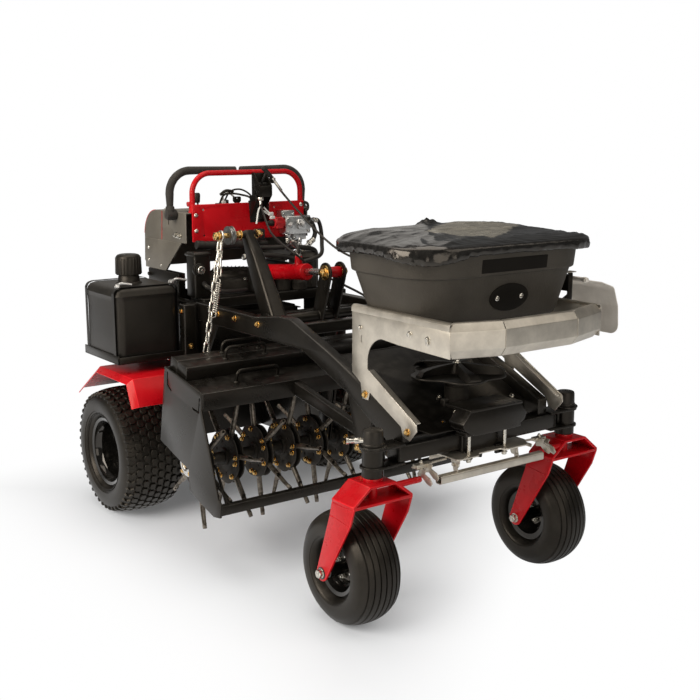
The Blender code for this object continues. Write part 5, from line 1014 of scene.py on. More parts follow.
# %% [markdown]
# ## Chassis
#
# The chassis is welded from flat plate and rectangular tube. Two rails climb from the front beam
# over the tine unit to a box of plate that holds the engine and the wheel motors. Plates that are
# cut with a laser have crisp outlines and only a small radius from deburring and paint. Each is
# grown here from its outline, and windows are holes in that outline.

# %% Rails, rear box and cross members
RAIL_IN, RAIL_OUT = 0.27, 0.31
BOX_IN, BOX_OUT = 0.29, 0.335
BOX_FRONT, BOX_REAR = 1.145, 1.66
BOX_TOP = 0.86
bm = fresh()
rail = [(-0.125, 0.5855), (-0.125, 0.64), (0.079, 0.73), (0.269, 0.806), (0.493, 0.885), (0.56, 0.885), (0.72, 0.862),
    (BOX_FRONT + 0.02, 0.862), (BOX_FRONT + 0.02, 0.79), (0.56, 0.79), (0.427, 0.79), (0.159, 0.688), (-0.0765, 0.56),
    (-0.0765, 0.5855)]
box_side = [(BOX_FRONT, BOX_TOP), (BOX_FRONT, 0.43), (1.23, 0.18), (BOX_REAR, 0.165), (BOX_REAR, BOX_TOP)]
window = rounded(mm((1300, 820), (1300, 660), (1600, 660), (1600, 820)), 0.02)
hanger = rounded(mm((50, 660), (200, 720), (142, 498), (98, 498)), 0.01)
for side in (-1, 1):
    side_plate(bm, box_side, sided(side, BOX_IN, BOX_OUT), 0.003, holes=[window])
    side_plate(bm, rail, sided(side, RAIL_IN, RAIL_OUT), 0.0045, steps=3)
    side_plate(bm, hanger, sided(side, 0.274, 0.286), 0.0015)
    block(bm, sided(side, 0.333, 0.385), (1.115, 1.16), (0.6205, 0.862), 0.005, 3)
    block(bm, sided(side, 0.262, 0.294), (1.33, 1.6), (0.856, 0.9545), 0.003)
    for y in (1.345, 1.585):
        fasten(bm, (side * 0.294, y, 0.93), (side, 0, 0), 0.014)
inside = BOX_IN + 0.001
block(bm, (-inside, inside), (1.151, 1.654), (0.598, 0.606), 0.001)
block(bm, (-inside, inside), (1.146, 1.158), (0.44, 0.78), 0.0015)
block(bm, (-inside, inside), (1.647, 1.659), (0.17, 0.84), 0.0015)
block(bm, (-0.28, 0.28), (0.88, 0.915), (0.795, 0.835), 0.004, 3)
block(bm, (-0.28, 0.28), (0.47, 0.505), (0.825, 0.865), 0.004, 3)
block(bm, (-0.28, 0.28), (0.056, 0.088), (0.635, 0.67), 0.003)
block(bm, (-0.657, -0.331), (1.13, 1.44), (0.657, 0.665), 0.0015)
block(bm, (-0.657, -0.651), (1.13, 1.44), (0.6575, 0.69), 0.0012)
block(bm, (-0.657, -0.345), (1.13, 1.136), (0.6575, 0.684), 0.0012)
block(bm, (-0.285, 0.285), (1.142, 1.22), (0.832, 0.872), 0.0045, 3)
lug = rounded(mm((1150, 862), (1166, 979), (1214, 979), (1216, 862)), 0.012)
for x in (-0.04, 0.032):
    side_plate(bm, lug, (x, x + 0.008), 0.0012)
# gussets where the box meets the rails
gusset = rounded(mm((1146, 794), (1146, 560), (1060, 700), (1000, 794)), 0.006)
for side in (-1, 1):
    side_plate(bm, gusset, sided(side, 0.298, 0.306), 0.0015)
show_piece("welded_frame", bm, BLACK, "main_frame", 30)

bm = fresh()
for x, y, z in mm((-311, 985, 838), (-311, 860, 838), (-311, 700, 838)):
    fasten(bm, (x, y, z), (-1, 0, 0), 0.016, stub=0.003)
    fasten(bm, (-x, y, z), (1, 0, 0), 0.016, stub=0.003)
for side in (-1, 1):
    fasten(bm, (side * 0.36, 1.115, 0.7), (0, -1, 0), 0.015, stub=0.004)
    fasten(bm, (side * 0.287, 0.12, 0.52), (side, 0, 0), 0.024, 0.018, 0.004)
    fasten(bm, (side * 0.386, 1.138, 0.835), (side, 0, 0), 0.013)
show_piece("frame_bolts", bm, GOLD_ZINC)

# %% Engine bay sheet and front deck
bm = fresh()


def deck_height(y):
    """Top of the sloping deck above a place along the machine."""
    return 0.6 + 0.43 * (y + 0.129)


outline = mm((-200, -129), (200, -129), (269.5, -60), (269.5, 300), (-269.5, 300), (-269.5, -60))
slot = rounded(mm((-22, -85), (22, -85), (22, -66), (-22, -66)), 0.009)
holes = [[(x, y, deck_height(y) - 0.004) for x, y in hole] for hole in (circle((0, -0.016), 0.0402, 32), slot,
    circle((-0.115, -0.085), 0.007, 16), circle((0.115, -0.085), 0.007, 16))]
grown(bm, [(x, y, deck_height(y) - 0.004) for x, y in outline], (0, 0, 0.004), 0.0008, holes=holes)
block(bm, (-0.2695, 0.2695), (0.295, 0.301), (0.725, 0.784), 0.0015)
block(bm, (-0.2695, -0.2655), (-0.055, 0.296), (0.626, 0.632), 0.0005)
show_piece("sloping_deck", bm, BLACK, "front_deck", 30)
bm = fresh()
for x in (-0.235, 0.235):
    for y in (-0.035, 0.23):
        fasten(bm, (x, y, deck_height(y)), (0, -0.395, 0.919), 0.012)
for a in range(4):
    angle = math.radians(45 + 90 * a)
    x, y = 0.055 * math.cos(angle), -0.016 + 0.055 * math.sin(angle)
    fasten(bm, (x, y, deck_height(y)), (0, -0.395, 0.919), 0.011)
button_head(bm, (0.0, -0.076, 0.626), (0, -0.395, 0.919), 0.009)
show_piece("deck_bolts", bm, ZINC)

# %% [markdown]
# ## Mudguards
#
# Each mudguard is one sheet, folded twice across and once along its outer edge. A sheet is
# a surface with a thickness, so its middle lines are laid out as a grid of points, and the grid is
# thickened and its folds are eased afterwards.

# %% Folded mudguards
for side, label in ((-1, "right"), (1, "left")):
    profile = [Vector((1.002, 0.5195)), Vector((1.0455, 0.618)), Vector((1.337, 0.618)), Vector((1.523, 0.499))]
    normals = [Vector((-(b - a).y, (b - a).x)).normalized() for a, b in zip(profile, profile[1:])]
    drops = [normals[0]] + [(a + b) / (1 + a.dot(b)) for a, b in zip(normals, normals[1:])] + [normals[-1]]
    bm = fresh()
    rows = []
    for x, drop in mm((345, 0), (641, 0), (663.5, 20)):
        rows.append([bm.verts.new(at(side * x, *(point - normal * drop))) for point, normal in zip(profile, drops)])
    for inner, outer in zip(rows, rows[1:]):
        for i in range(3):
            bm.faces.new((inner[i], inner[i + 1], outer[i + 1], outer[i]))
    bmesh.ops.recalc_face_normals(bm, faces=bm.faces)
    if sum(face.normal.z for face in bm.faces) < 0:
        bmesh.ops.reverse_faces(bm, faces=bm.faces)
    bmesh.ops.solidify(bm, geom=list(bm.faces), thickness=0.0038)
    eased(bm, list(bm.verts), 0.0014, 2, 12)
    show_piece("folded_mudguard_" + label, bm, RED, "fender_" + label, 20)
    bm = fresh()
    for x, y in ((0.372, 1.09), (0.372, 1.3)):
        button_head(bm, (side * x, y, 0.6195), (0, 0, 1), 0.01)
    show_piece("mudguard_screws_" + label, bm, ZINC)

# %% Wheel motors
for side, label in ((-1, "right"), (1, "left")):
    bm = fresh()
    y, z = WHEELBASE, DRIVE_TYRE_R
    turned(bm, mm((335.5, 0.2), (335.5, 60), (342, 62), (352, 62), (355, 55), (366, 55), (369, 60), (400, 60),
        (404, 52), (406, 46), (430, 43), (432, 20), (455, 18.5), (520, 17), (520, 0.2)), (0, y, z), (side, 0, 0), 48)
    for number in range(7):
        a = math.tau * number / 7
        seat = (side * 0.404, y + 0.052 * math.cos(a), z + 0.052 * math.sin(a))
        fasten(bm, seat, (side, 0, 0), 0.012)
    for dy in (-0.022, 0.022):
        rod(bm, (side * 0.38, y + dy, z + 0.05), (side * 0.38, y + dy, z + 0.082), 0.0105, 6, ease=0.001)
        rod(bm, (side * 0.38, y + dy, z + 0.08), (side * 0.38, y + dy, z + 0.096), 0.0085, 20)
    show_piece("hub_motor_" + label, bm, CAST, "wheel_motor_" + label)

# %% Foot platform
PLATFORM_Z, PLATFORM_HALF, REAR_END = 0.191, 0.3, 1.87
hinge_y = 1.6675
bm = fresh()
rear = REAR_END - 0.0005
block(bm, (-PLATFORM_HALF, PLATFORM_HALF), (hinge_y + 0.004, rear), (PLATFORM_Z - 0.004, PLATFORM_Z + 0.004), 0.0015)
for x in (-PLATFORM_HALF, PLATFORM_HALF - 0.006):
    block(bm, (x, x + 0.006), (hinge_y + 0.02, rear - 0.0005), (PLATFORM_Z - 0.022, PLATFORM_Z + 0.0035), 0.002)
block(bm, (-PLATFORM_HALF + 0.001, PLATFORM_HALF - 0.001), (rear - 0.007, rear - 0.001),
    (PLATFORM_Z - 0.021, PLATFORM_Z + 0.003), 0.002)
for number in range(7):
    first = -0.279 + number * 0.08
    rod(bm, (first, hinge_y, PLATFORM_Z), (first + 0.076, hinge_y, PLATFORM_Z), 0.0078, 24, ease=0.0008)
for row in range(5):
    for column in range(17):
        x = -0.264 + column * 0.033
        y = hinge_y + 0.032 + row * 0.036 + (0.018 if column % 2 else 0.0)
        if y < rear - 0.016:
            turned(bm, mm((3, 5.2), (3, 9.5), (5.2, 8), (5.6, 6.8), (5, 5.2)), (x, y, PLATFORM_Z), Z_AXIS, 14)
show_piece("grip_platform", bm, BLACK, "foot_platform", 30, body="platform")

# %% [markdown]
# ## Operator station
#
# The operator stands behind a grey console with a red panel on its front. A red hoop is the fixed
# bar to hold, and two foam covered levers in front of it steer the wheel motors. The console is a
# folded shell, so its section is drawn as an outline and grown along the machine's width, and its
# cheeks are separate plates with the front corner cut away below the panel.

# %% Grey console
CONSOLE_HALF, CONSOLE_FRONT, CONSOLE_REAR = 0.29, 1.2625, 1.63
CONSOLE_LOW, CONSOLE_TOP = 0.955, 1.2
SHELL_BEND = (CONSOLE_REAR - 0.11, CONSOLE_TOP - 0.11)
bm = fresh()
outer_arc = arc(SHELL_BEND, 0.11, 90, 0, 14)
inner_arc = arc(SHELL_BEND, 0.106, 0, 90, 14)
shell = [(CONSOLE_FRONT, CONSOLE_TOP)] + outer_arc + [(CONSOLE_REAR, CONSOLE_LOW),
    (CONSOLE_REAR - 0.004, CONSOLE_LOW)]
shell += inner_arc + [(CONSOLE_FRONT, CONSOLE_TOP - 0.004)]
side_plate(bm, shell, (-CONSOLE_HALF, CONSOLE_HALF), 0.0012)
cheek = [(CONSOLE_FRONT, CONSOLE_TOP - 0.001), (CONSOLE_FRONT, 1.08), (1.3, 1.08), (1.44, CONSOLE_LOW),
    (CONSOLE_REAR - 0.001, CONSOLE_LOW)]
cheek += [(y - 0.0005, z - 0.0005) for y, z in reversed(outer_arc)]
slot_hole = rounded(mm((1408, 1145), (1416, 1145), (1416, 1186), (1408, 1186)), 0.003)
for side in (-1, 1):
    side_plate(bm, cheek, sided(side, CONSOLE_HALF - 0.004, CONSOLE_HALF - 0.0002), 0.0014,
        holes=[slot_hole, circle((1.47, 1.12), 0.0035, 14)])
    wedge = mm((1300, 1079.5), (1436, 957), (1590, 957), (1625, 985), (1625, 1079.5))
    plate = side_plate(bm, wedge, sided(side, CONSOLE_HALF - 0.001, CONSOLE_HALF + 0.0026), 0.0012)
    for vert in plate:
        vert.co.x += side * 0.06 * max(0.0, 1.0795 - vert.co.z) * 0.55
show_piece("console_shell", bm, GREY, "console_body", 28)

bm = fresh()
for side in (-1, 1):
    seam = mm((1462, 1198.5), (1465, 1198.5), (1474, 1082), (1471, 1082))
    side_plate(bm, seam, sided(side, CONSOLE_HALF - 0.001, CONSOLE_HALF + 0.001), 0.0003)
    edge_line = arc(SHELL_BEND, 0.1106, 88, 4, 12)
    edge_line += arc(SHELL_BEND, 0.1084, 4, 88, 12)
    side_plate(bm, edge_line, sided(side, CONSOLE_HALF - 0.002, CONSOLE_HALF + 0.001), 0.0003)
show_piece("console_red_edges", bm, RED)

bm = fresh()
for side in (-1, 1):
    for y, z in ((1.345, 1.108), (1.315, 1.106)):
        fasten(bm, (side * CONSOLE_HALF, y, z), (side, 0, 0), 0.016, 0.012, 0.004)
    rod(bm, (side * 0.293, 1.362, 1.108), (side * 0.293, 1.3, 1.104), 0.0042, 14)
    for y, z in mm((1590, 1040), (1590, 990), (1480, 975)):
        button_head(bm, (side * (CONSOLE_HALF + 0.0036), y, z), (side, 0, 0), 0.007)
for x in (-0.246, 0.246):
    for y in (1.3, 1.52):
        button_head(bm, (x, y, CONSOLE_TOP), (0, 0, 1), 0.0065)
show_piece("console_screws", bm, ZINC)

# %% Red panel and hoop
PANEL_BACK = CONSOLE_FRONT - 0.0005
bm = fresh()
panel = mm((-264, 1085), (-264, 1232), (-4, 1232), (1, 1151), (91, 1151), (94, 1232), (264, 1232), (264, 1085))
drilled = [circle((x, z), r, 18) for x, z, r in mm((-214, 1210, 4.2), (-212, 1108, 4.2), (118, 1208, 3.6),
    (245, 1100, 3.6), (-120, 1100, 3.2))]
cross_plate(bm, panel, (PANEL_BACK - 0.0085, PANEL_BACK - 0.0045), 0.0016, holes=drilled)
for x in (-0.2632, 0.2602):
    block(bm, (x, x + 0.003), (PANEL_BACK - 0.008, PANEL_BACK), (1.086, 1.231), 0.0008)
block(bm, (-0.263, -0.005), (PANEL_BACK - 0.008, PANEL_BACK), (1.2285, 1.2318), 0.001)
block(bm, (0.095, 0.263), (PANEL_BACK - 0.008, PANEL_BACK), (1.2285, 1.2318), 0.001)
show_piece("red_panel", bm, RED, "front_panel", 30)

bm = fresh()
HOOP_HALF, HOOP_Y, HOOP_TOP, HOOP_R = 0.255, 1.268, 1.353, 0.011
hoop = bent_path([(-HOOP_HALF, HOOP_Y, 1.196), (-HOOP_HALF, HOOP_Y, HOOP_TOP), (HOOP_HALF, HOOP_Y, HOOP_TOP),
    (HOOP_HALF, HOOP_Y, 1.196)], 0.08, 14)
tube(bm, hoop, HOOP_R, resolution=5)
for side in (-1, 1):
    rod(bm, (side * HOOP_HALF, HOOP_Y, 1.1995), (side * HOOP_HALF, HOOP_Y, 1.2045), 0.0165, 28, ease=0.001)
show_piece("red_hoop", bm, RED, smooth=60)

bm = fresh()
front = PANEL_BACK - 0.0088
for x, z in mm((-248, 1190), (-248, 1128), (250, 1215)):
    button_head(bm, (x, front + 0.0003, z), (0, -1, 0), 0.0085)
show_piece("panel_screws", bm, ZINC)

bm = fresh()
# a rubber bit at the panel's edge, and the black roll under the panel
tube(bm, smooth_path(mm((262, 1250, 1226), (276, 1243, 1218), (278, 1243, 1198), (268, 1248, 1186))), 0.006)
roll = smooth_path(mm((-262, 1232, 1076), (-170, 1226, 1070), (-60, 1230, 1068), (60, 1228, 1064)), 14)
tube(bm, roll, 0.017, resolution=4, flare=lambda i: 1.0 + 0.05 * math.sin(i * 1.9) + 0.04 * math.sin(i * 0.7))
show_piece("black_loom_roll", bm, RUBBER, smooth=60)

# %% Foam covered levers
for side, label in ((-1, "right"), (1, "left")):
    bm = fresh()
    x_out, y, top = side * 0.314, 1.345, 1.362
    grip = bent_path([(x_out, y, 1.218), (x_out, y, top), (side * 0.012, y, top)], 0.09, 14)
    count = len(grip)
    tube(bm, grip, 0.0164, resolution=5, flare=lambda i: 0.8 if i in (0, count - 1) else 1.0 + 0.012
        * math.sin(i * 2.3))
    turned(bm, mm((0.5, 0.2), (0.5, 20.5), (4, 22), (30, 22), (36, 19), (41, 17.5), (42, 0.2)),
        (side * (CONSOLE_HALF + 0.0001), y, 1.19), (side, 0, 0), 40)
    turned(bm, mm((-6, 0.2), (-6, 18.5), (2, 20.5), (30, 17.5), (34, 15), (34, 0.2)), (x_out, y, 1.19), Z_AXIS, 36)
    show_piece("foam_lever_" + label, bm, FOAM, "drive_lever_" + label, 50, body=label + "_steering_lever")

# %% Throttle, choke and key
bm = fresh()
base = CONSOLE_TOP + 0.0005
controls_y = CONSOLE_FRONT + 0.0625
rod(bm, (-0.21, controls_y, base + 0.008), (-0.19, controls_y, base + 0.008), 0.0078, 24, ease=0.0008)
block(bm, (-0.2025, -0.1975), (controls_y - 0.004, controls_y + 0.004), (base + 0.008, base + 0.048), 0.0008)
turned(bm, mm((0, 0.2), (0, 8.5), (4, 10.8), (28, 13.5), (36, 12.8), (40, 9.5), (41, 0.2)),
    (-0.2, controls_y + 0.003, base + 0.033), (0, 0.09, 1), 28)
show_piece("throttle_knob", bm, PLASTIC, "throttle_lever", 40, body="throttle")

bm = fresh()
rod(bm, (-0.236, controls_y, base), (-0.236, controls_y, base + 0.024), 0.0046, 20)
turned(bm, mm((0, 0.2), (0, 10), (3, 12.2), (12, 13.8), (16, 13.2), (18.5, 10), (19, 0.2)),
    (-0.236, controls_y, base + 0.02), Z_AXIS, 28)
show_piece("choke_pull", bm, RED_KNOB, "choke_knob", 40, body="choke")

bm = fresh()
key_y = controls_y - 0.02
turned(bm, mm((0, 0.2), (0, 10.8), (22, 10.8), (24.5, 9), (30, 8.5), (30, 0.2)), (-0.03, key_y, base), Z_AXIS, 28)
cross_plate(bm, rounded([(-0.04, base + 0.028), (-0.02, base + 0.028), (-0.012, base + 0.036), (-0.012, base + 0.054),
    (-0.048, base + 0.054), (-0.048, base + 0.036)], 0.005), (key_y - 0.003, key_y + 0.003), 0.001,
    holes=[circle((-0.03, base + 0.046), 0.0035, 14)])
show_piece("turning_key", bm, PLASTIC, "ignition_key", 40, body="key")

bm = fresh()
for x, y, across in ((-0.2, controls_y, 0.034), (-0.236, controls_y, 0.017), (-0.03, key_y, 0.019)):
    turned(bm, [(0.0, across * 0.42), (0.0, across * 0.8), (0.0016, across * 0.74), (0.0022, across * 0.42)],
        (x, y, CONSOLE_TOP), Z_AXIS, 32)
# switch, gauge and harness plugs that stand on the console's top
for x, y, wide, tall in mm((-105, 1315, 30, 30), (-72, 1330, 22, 42), (45, 1300, 34, 36), (130, 1330, 40, 20)):
    block(bm, (x - wide / 2, x + wide / 2), (y - 0.014, y + 0.014), (CONSOLE_TOP - 0.001, CONSOLE_TOP + tall), 0.003,
        3)
tube(bm, smooth_path(mm((-105, 1315, 1228), (-94, 1300, 1262), (-60, 1292, 1268), (-20, 1284, 1262), (8, 1262, 1250),
    (14, 1244, 1215)), 8), 0.0042)
tube(bm, smooth_path(mm((-72, 1330, 1240), (-60, 1306, 1276), (-22, 1290, 1284), (12, 1270, 1262), (22, 1250, 1224)),
    8), 0.0036)
tube(bm, smooth_path(mm((-110, 1300, 1264), (-86, 1296, 1280), (-52, 1296, 1276)), 8), 0.006)
show_piece("switches_and_plugs", bm, PLASTIC, smooth=40)

# %% Bracket for the cables, and the rate lever
bm = fresh()
foot_y = PANEL_BACK - 0.005
block(bm, (0.0, 0.09), (foot_y - 0.006, foot_y), (1.1505, 1.232), 0.0012)
mast = [(foot_y - 0.006, 1.198), (foot_y - 0.06, 1.262), (foot_y - 0.06, 1.3), (foot_y - 0.02, 1.352),
    (foot_y - 0.001, 1.352), (foot_y - 0.001, 1.198)]
for x in ((0.012, 0.017), (0.068, 0.073)):
    side_plate(bm, rounded(mast, 0.006), x, 0.001, holes=[circle((foot_y - 0.03, 1.27), 0.004, 14)])
block(bm, (0.013, 0.072), (foot_y - 0.058, foot_y - 0.053), (1.255, 1.3), 0.001)
block(bm, (0.072, 0.1), (foot_y - 0.044, foot_y - 0.038), (1.308, 1.33), 0.0015)
block(bm, (0.013, 0.072), (foot_y - 0.004, foot_y - 0.0005), (1.228, 1.35), 0.001)
side_plate(bm, rounded([(foot_y - 0.001, 1.16), (foot_y - 0.052, 1.236), (foot_y - 0.052, 1.262),
    (foot_y - 0.001, 1.262)], 0.006), (0.0005, 0.0045), 0.0008)
for z in (1.165, 1.215):
    button_head(bm, (0.045, foot_y - 0.006, z), (0, -1, 0), 0.006)
show_piece("cable_bracket", bm, BLACK, "control_bracket", 30)

bm = fresh()
lever_y, lever_z = CONSOLE_FRONT - 0.03, 1.305
rod(bm, (0.0176, lever_y, lever_z), (0.0674, lever_y, lever_z), 0.0068, 24)
rod(bm, (0.0425, lever_y, lever_z), (0.05, lever_y - 0.028, lever_z + 0.05), 0.0048, 18)
sleeve_start, sleeve_end = Vector((0.0745, lever_y - 0.033, lever_z + 0.026)), Vector((0.03, lever_y - 0.033,
    lever_z + 0.0705))
along = (sleeve_end - sleeve_start).normalized()
turned(bm, mm((0, 0.2), (0, 6.2), (6, 7.8), (18, 8.6), (22, 9.6), (26, 8.6), (30, 9.8), (34, 8.8), (38, 10), (42, 9),
    (48, 10), (56, 10.4), (61, 8.5), (63, 0.2)), tuple(sleeve_start), along, 32)
show_piece("rate_lever_grip", bm, RUBBER, "gate_lever", 45, body="rate_lever")

# %% [markdown]
# ## Pad for the thighs
#
# A pad is foam under vinyl, glued to a board. It is fullest in the middle, thin at its seam, and
# the vinyl pulls small wrinkles from the corners. The shape is a grid whose height follows a soft
# crown, plus fine ripples that grow towards the seam, with a piping cord all round it.

# %% Thigh pad
bm = fresh()
across, up = 72, 30
half_x, low, high = 0.205, 0.975, 1.085
back = CONSOLE_REAR + 0.0006
grids = []
for face in (0, 1):
    rows = []
    for j in range(up + 1):
        v = 2 * j / up - 1
        row = []
        for i in range(across + 1):
            u = 2 * i / across - 1
            crown = max(0.0, (1 - u ** 6) * (1 - v ** 4)) ** 0.5
            pucker = 0.0011 * math.sin(u * 40) * v ** 4 + 0.001 * math.sin(v * 19 + u * 3) * u ** 6
            x = half_x * u * (1 - 0.03 * (1 - v * v))
            z = (low + high) / 2 + (high - low) / 2 * v * (1 - 0.02 * (1 - u * u))
            deep = 0.0 if face == 0 else 0.013 + 0.03 * crown + pucker + 0.0006 * noise.noise(Vector((x * 60, z * 60,
                1)))
            row.append(bm.verts.new(at(x, back + deep, z)))
        rows.append(row)
    grids.append(rows)
for rows in grids:
    for j in range(up):
        for i in range(across):
            bm.faces.new((rows[j][i], rows[j][i + 1], rows[j + 1][i + 1], rows[j + 1][i]))
rims = [rows[0] + [row[-1] for row in rows[1:]] + rows[-1][-2::-1] + [row[0] for row in rows[-2:0:-1]]
    for rows in grids]
for i in range(len(rims[0])):
    j = (i + 1) % len(rims[0])
    bm.faces.new((rims[0][i], rims[0][j], rims[1][j], rims[1][i]))
bmesh.ops.recalc_face_normals(bm, faces=bm.faces)
pad = show_piece("vinyl_thigh_pad", bm, PAD_VINYL, "thigh_pad", 60)
bm = fresh()
corners = [(-0.2045, low + 0.002), (-0.2045, high - 0.002), (0.2045, high - 0.002), (0.2045, low + 0.002)]
ring = rounded(corners, 0.012, 8)
tube(bm, [(x, back + 0.0135, z) for x, z in ring], 0.0028, closed=True, resolution=2)
show_piece("pad_piping", bm, RUBBER, smooth=60)

# %% [markdown]
# ## Engine, filter, tank and valve
#
# The engine is an air-cooled twin. What shows of it from the front is its blower housing with a
# finned screen, the two cylinder heads with their cooling fins, and a round air cleaner. Fins are
# thin plates in a row. The tank is blow moulded: its corners are very round, its seam runs round
# the top, and the cap is ribbed so that a glove can turn it.

# %% Engine
DECK = 0.6065
bm = fresh()
block(bm, (-0.19, 0.19), (1.215, 1.58), (DECK, 0.8), 0.01, 4)
turned(bm, mm((798, 0.2), (798, 176), (803, 180), (850, 180), (900, 177), (918, 170), (925, 158), (925, 0.2)),
    (0, 1.4, 0), Z_AXIS, 72)
turned(bm, mm((924, 0.2), (924, 100), (936, 98), (944, 88), (947, 70), (947, 0.2)), (0, 1.4, 0), Z_AXIS, 56)
for number in range(28):
    a = math.tau * number / 28
    rod(bm, (0.03 * math.cos(a), 1.4 + 0.03 * math.sin(a), 0.9475), (0.086 * math.cos(a), 1.4 + 0.086 * math.sin(a),
        0.9475), 0.0016, 6)
for side in (-1, 1):
    for number in range(9):
        z = 0.652 + number * 0.0152
        block(bm, sided(side, 0.186, 0.255), (1.268, 1.402), (z, z + 0.0045), 0.0008, 1)
    block(bm, sided(side, 0.186, 0.238), (1.282, 1.388), (0.64, 0.79), 0.006, 3)
    block(bm, sided(side, 0.236, 0.257), (1.29, 1.38), (0.662, 0.772), 0.008, 4)
for number in range(11):
    x = -0.15 + number * 0.03
    block(bm, (x - 0.003, x + 0.003), (1.2045, 1.218), (0.64, 0.78), 0.0015, 1)
rod(bm, (0.12, 1.3, 0.89), (0.232, 1.217, 0.935), 0.026, 32, ease=0.002)
for share in (0.2, 0.4, 0.6, 0.8):
    spot = Vector((0.12, 1.3, 0.89)).lerp(Vector((0.232, 1.217, 0.935)), share)
    step = (Vector((0.232, 1.217, 0.935)) - Vector((0.12, 1.3, 0.89))).normalized() * 0.004
    rod(bm, spot - step, spot + step, 0.0285, 32, ease=0.001)
turned(bm, mm((872.8, 0.2), (872.8, 56), (876, 60), (994, 60), (998, 62.5), (1004, 62.5), (1008, 58), (1018, 52),
    (1024, 40), (1024, 0.2)), (0.235, 1.215, 0), Z_AXIS, 56)
for number in range(16):
    a = math.tau * number / 16
    block(bm, (0.235 + 0.0605 * math.cos(a) - 0.002, 0.235 + 0.0605 * math.cos(a) + 0.002),
        (1.215 + 0.0605 * math.sin(a) - 0.002, 1.215 + 0.0605 * math.sin(a) + 0.002), (0.88, 0.99), 0.0008, 1)
# covers over the intake at the left front, as they show beside the cylinder
for place, radius, tall in (((0.11, 1.2), 0.042, 0.06), ((0.18, 1.17), 0.036, 0.04)):
    turned(bm, [(0.874, POLE), (0.874, radius), (0.874 + tall * 0.7, radius), (0.874 + tall, radius * 0.75),
        (0.874 + tall, POLE)], (*place, 0), Z_AXIS, 40)
show_piece("twin_engine", bm, CAST, "engine", 32)

bm = fresh()
for x, y, z, across in mm((68, 1158, 935, 22), (128, 1148, 932, 20), (235, 1215, 1023, 18)):
    axis = (0, 0, 1) if z > 1 else (0, -1, 0.1)
    fasten(bm, (x, y, z), axis, across, across * 0.7, 0.003)
for a in range(6):
    angle = math.tau * a / 6 + 0.3
    fasten(bm, (0.166 * math.cos(angle), 1.4 + 0.166 * math.sin(angle), 0.92), (0, 0, 1), 0.012)
show_piece("engine_fittings", bm, ZINC)

# %% Filter housing
bm = fresh()
block(bm, (-0.3, -0.228), (1.18, 1.25), (0.8725, 1.052), 0.006, 3)
block(bm, (-0.304, -0.224), (1.176, 1.254), (1.036, 1.046), 0.002, 2)
rod(bm, (-0.285, 1.182, 0.985), (-0.285, 1.166, 0.985), 0.026, 40, ease=0.002)
rod(bm, (-0.285, 1.168, 0.985), (-0.285, 1.158, 0.985), 0.021, 40, ease=0.002)
show_piece("filter_housing", bm, BLACK, "oil_filter_box", 32)
bm = fresh()
turned(bm, mm((0, 8.5), (0, 16), (8, 16), (10, 14.5), (10, 8.5)), (-0.285, 1.159, 0.985), (0, -1, 0), 36)
rod(bm, (-0.285, 1.16, 0.985), (-0.285, 1.146, 0.985), 0.006, 6, ease=0.0008)
show_piece("filter_knob", bm, ZINC)

# %% Fuel tank and cap
bm = fresh()
x0, x1, y0, y1 = -0.653, -0.392, 1.14, 1.43
z0, z1 = 0.6655, 0.943


def tank_ring(inset, z, corner):
    outline = [(x0 + inset, y0 + inset), (x1 - inset, y0 + inset), (x1 - inset, y1 - inset), (x0 + inset, y1 - inset)]
    return [bm.verts.new(at(x, y, z)) for x, y in rounded(outline, corner, 8)]


levels = [(0.012, z0, 0.03), (0.003, z0 + 0.005, 0.034), (0.0, z0 + 0.016, 0.036), (0.0005, z0 + 0.1, 0.036),
    (0.0012, z0 + 0.19, 0.036), (0.0005, z1 - 0.052, 0.036), (0.0, z1 - 0.036, 0.036), (-0.0014, z1 - 0.034, 0.036),
    (-0.0014, z1 - 0.031, 0.036), (0.0, z1 - 0.029, 0.036), (0.002, z1 - 0.018, 0.036), (0.009, z1 - 0.007, 0.036),
    (0.02, z1 - 0.0015, 0.034), (0.04, z1, 0.03), (0.075, z1 - 0.001, 0.02)]
rings = [tank_ring(*level) for level in levels]
skin(bm, rings)
bm.faces.new(rings[0])
bm.faces.new(rings[-1])
bmesh.ops.recalc_face_normals(bm, faces=bm.faces)
FILLER = (-0.53, 1.285)      # the middle of the tank's neck, seen from above
turned(bm, mm((930, 0.2), (930, 52), (944, 50), (949, 42), (968, 40), (970, 38.5), (974.5, 38.5), (974.5, 29.5),
    (1008, 29.5), (1008, 0.2)), (*FILLER, 0), Z_AXIS, 56)
show_piece("moulded_tank", bm, PLASTIC, "fuel_tank", 50)

bm = fresh()
turned(bm, mm((975.2, 31.8), (975.2, 47), (977.5, 49), (1038, 47.5), (1046, 45.5), (1051, 40), (1053, 34),
    (1053, 0.2), (1030, 0.2), (1030, 31.8)), (*FILLER, 0), Z_AXIS, 72)
for number in range(24):
    a = math.tau * number / 24
    x, y = FILLER[0] + 0.0482 * math.cos(a), FILLER[1] + 0.0482 * math.sin(a)
    rod(bm, (x, y, 0.979), (x - 0.001 * math.cos(a), y - 0.001 * math.sin(a), 1.041), 0.0028, 10, 0.0022, ease=0.0006)
turned(bm, mm((1052, 0.2), (1052, 12), (1054.5, 10), (1055, 0.2)), (*FILLER, 0), Z_AXIS, 28)
show_piece("ribbed_cap", bm, PLASTIC, "fuel_cap", 40, body="tank_cap")

bm = fresh()
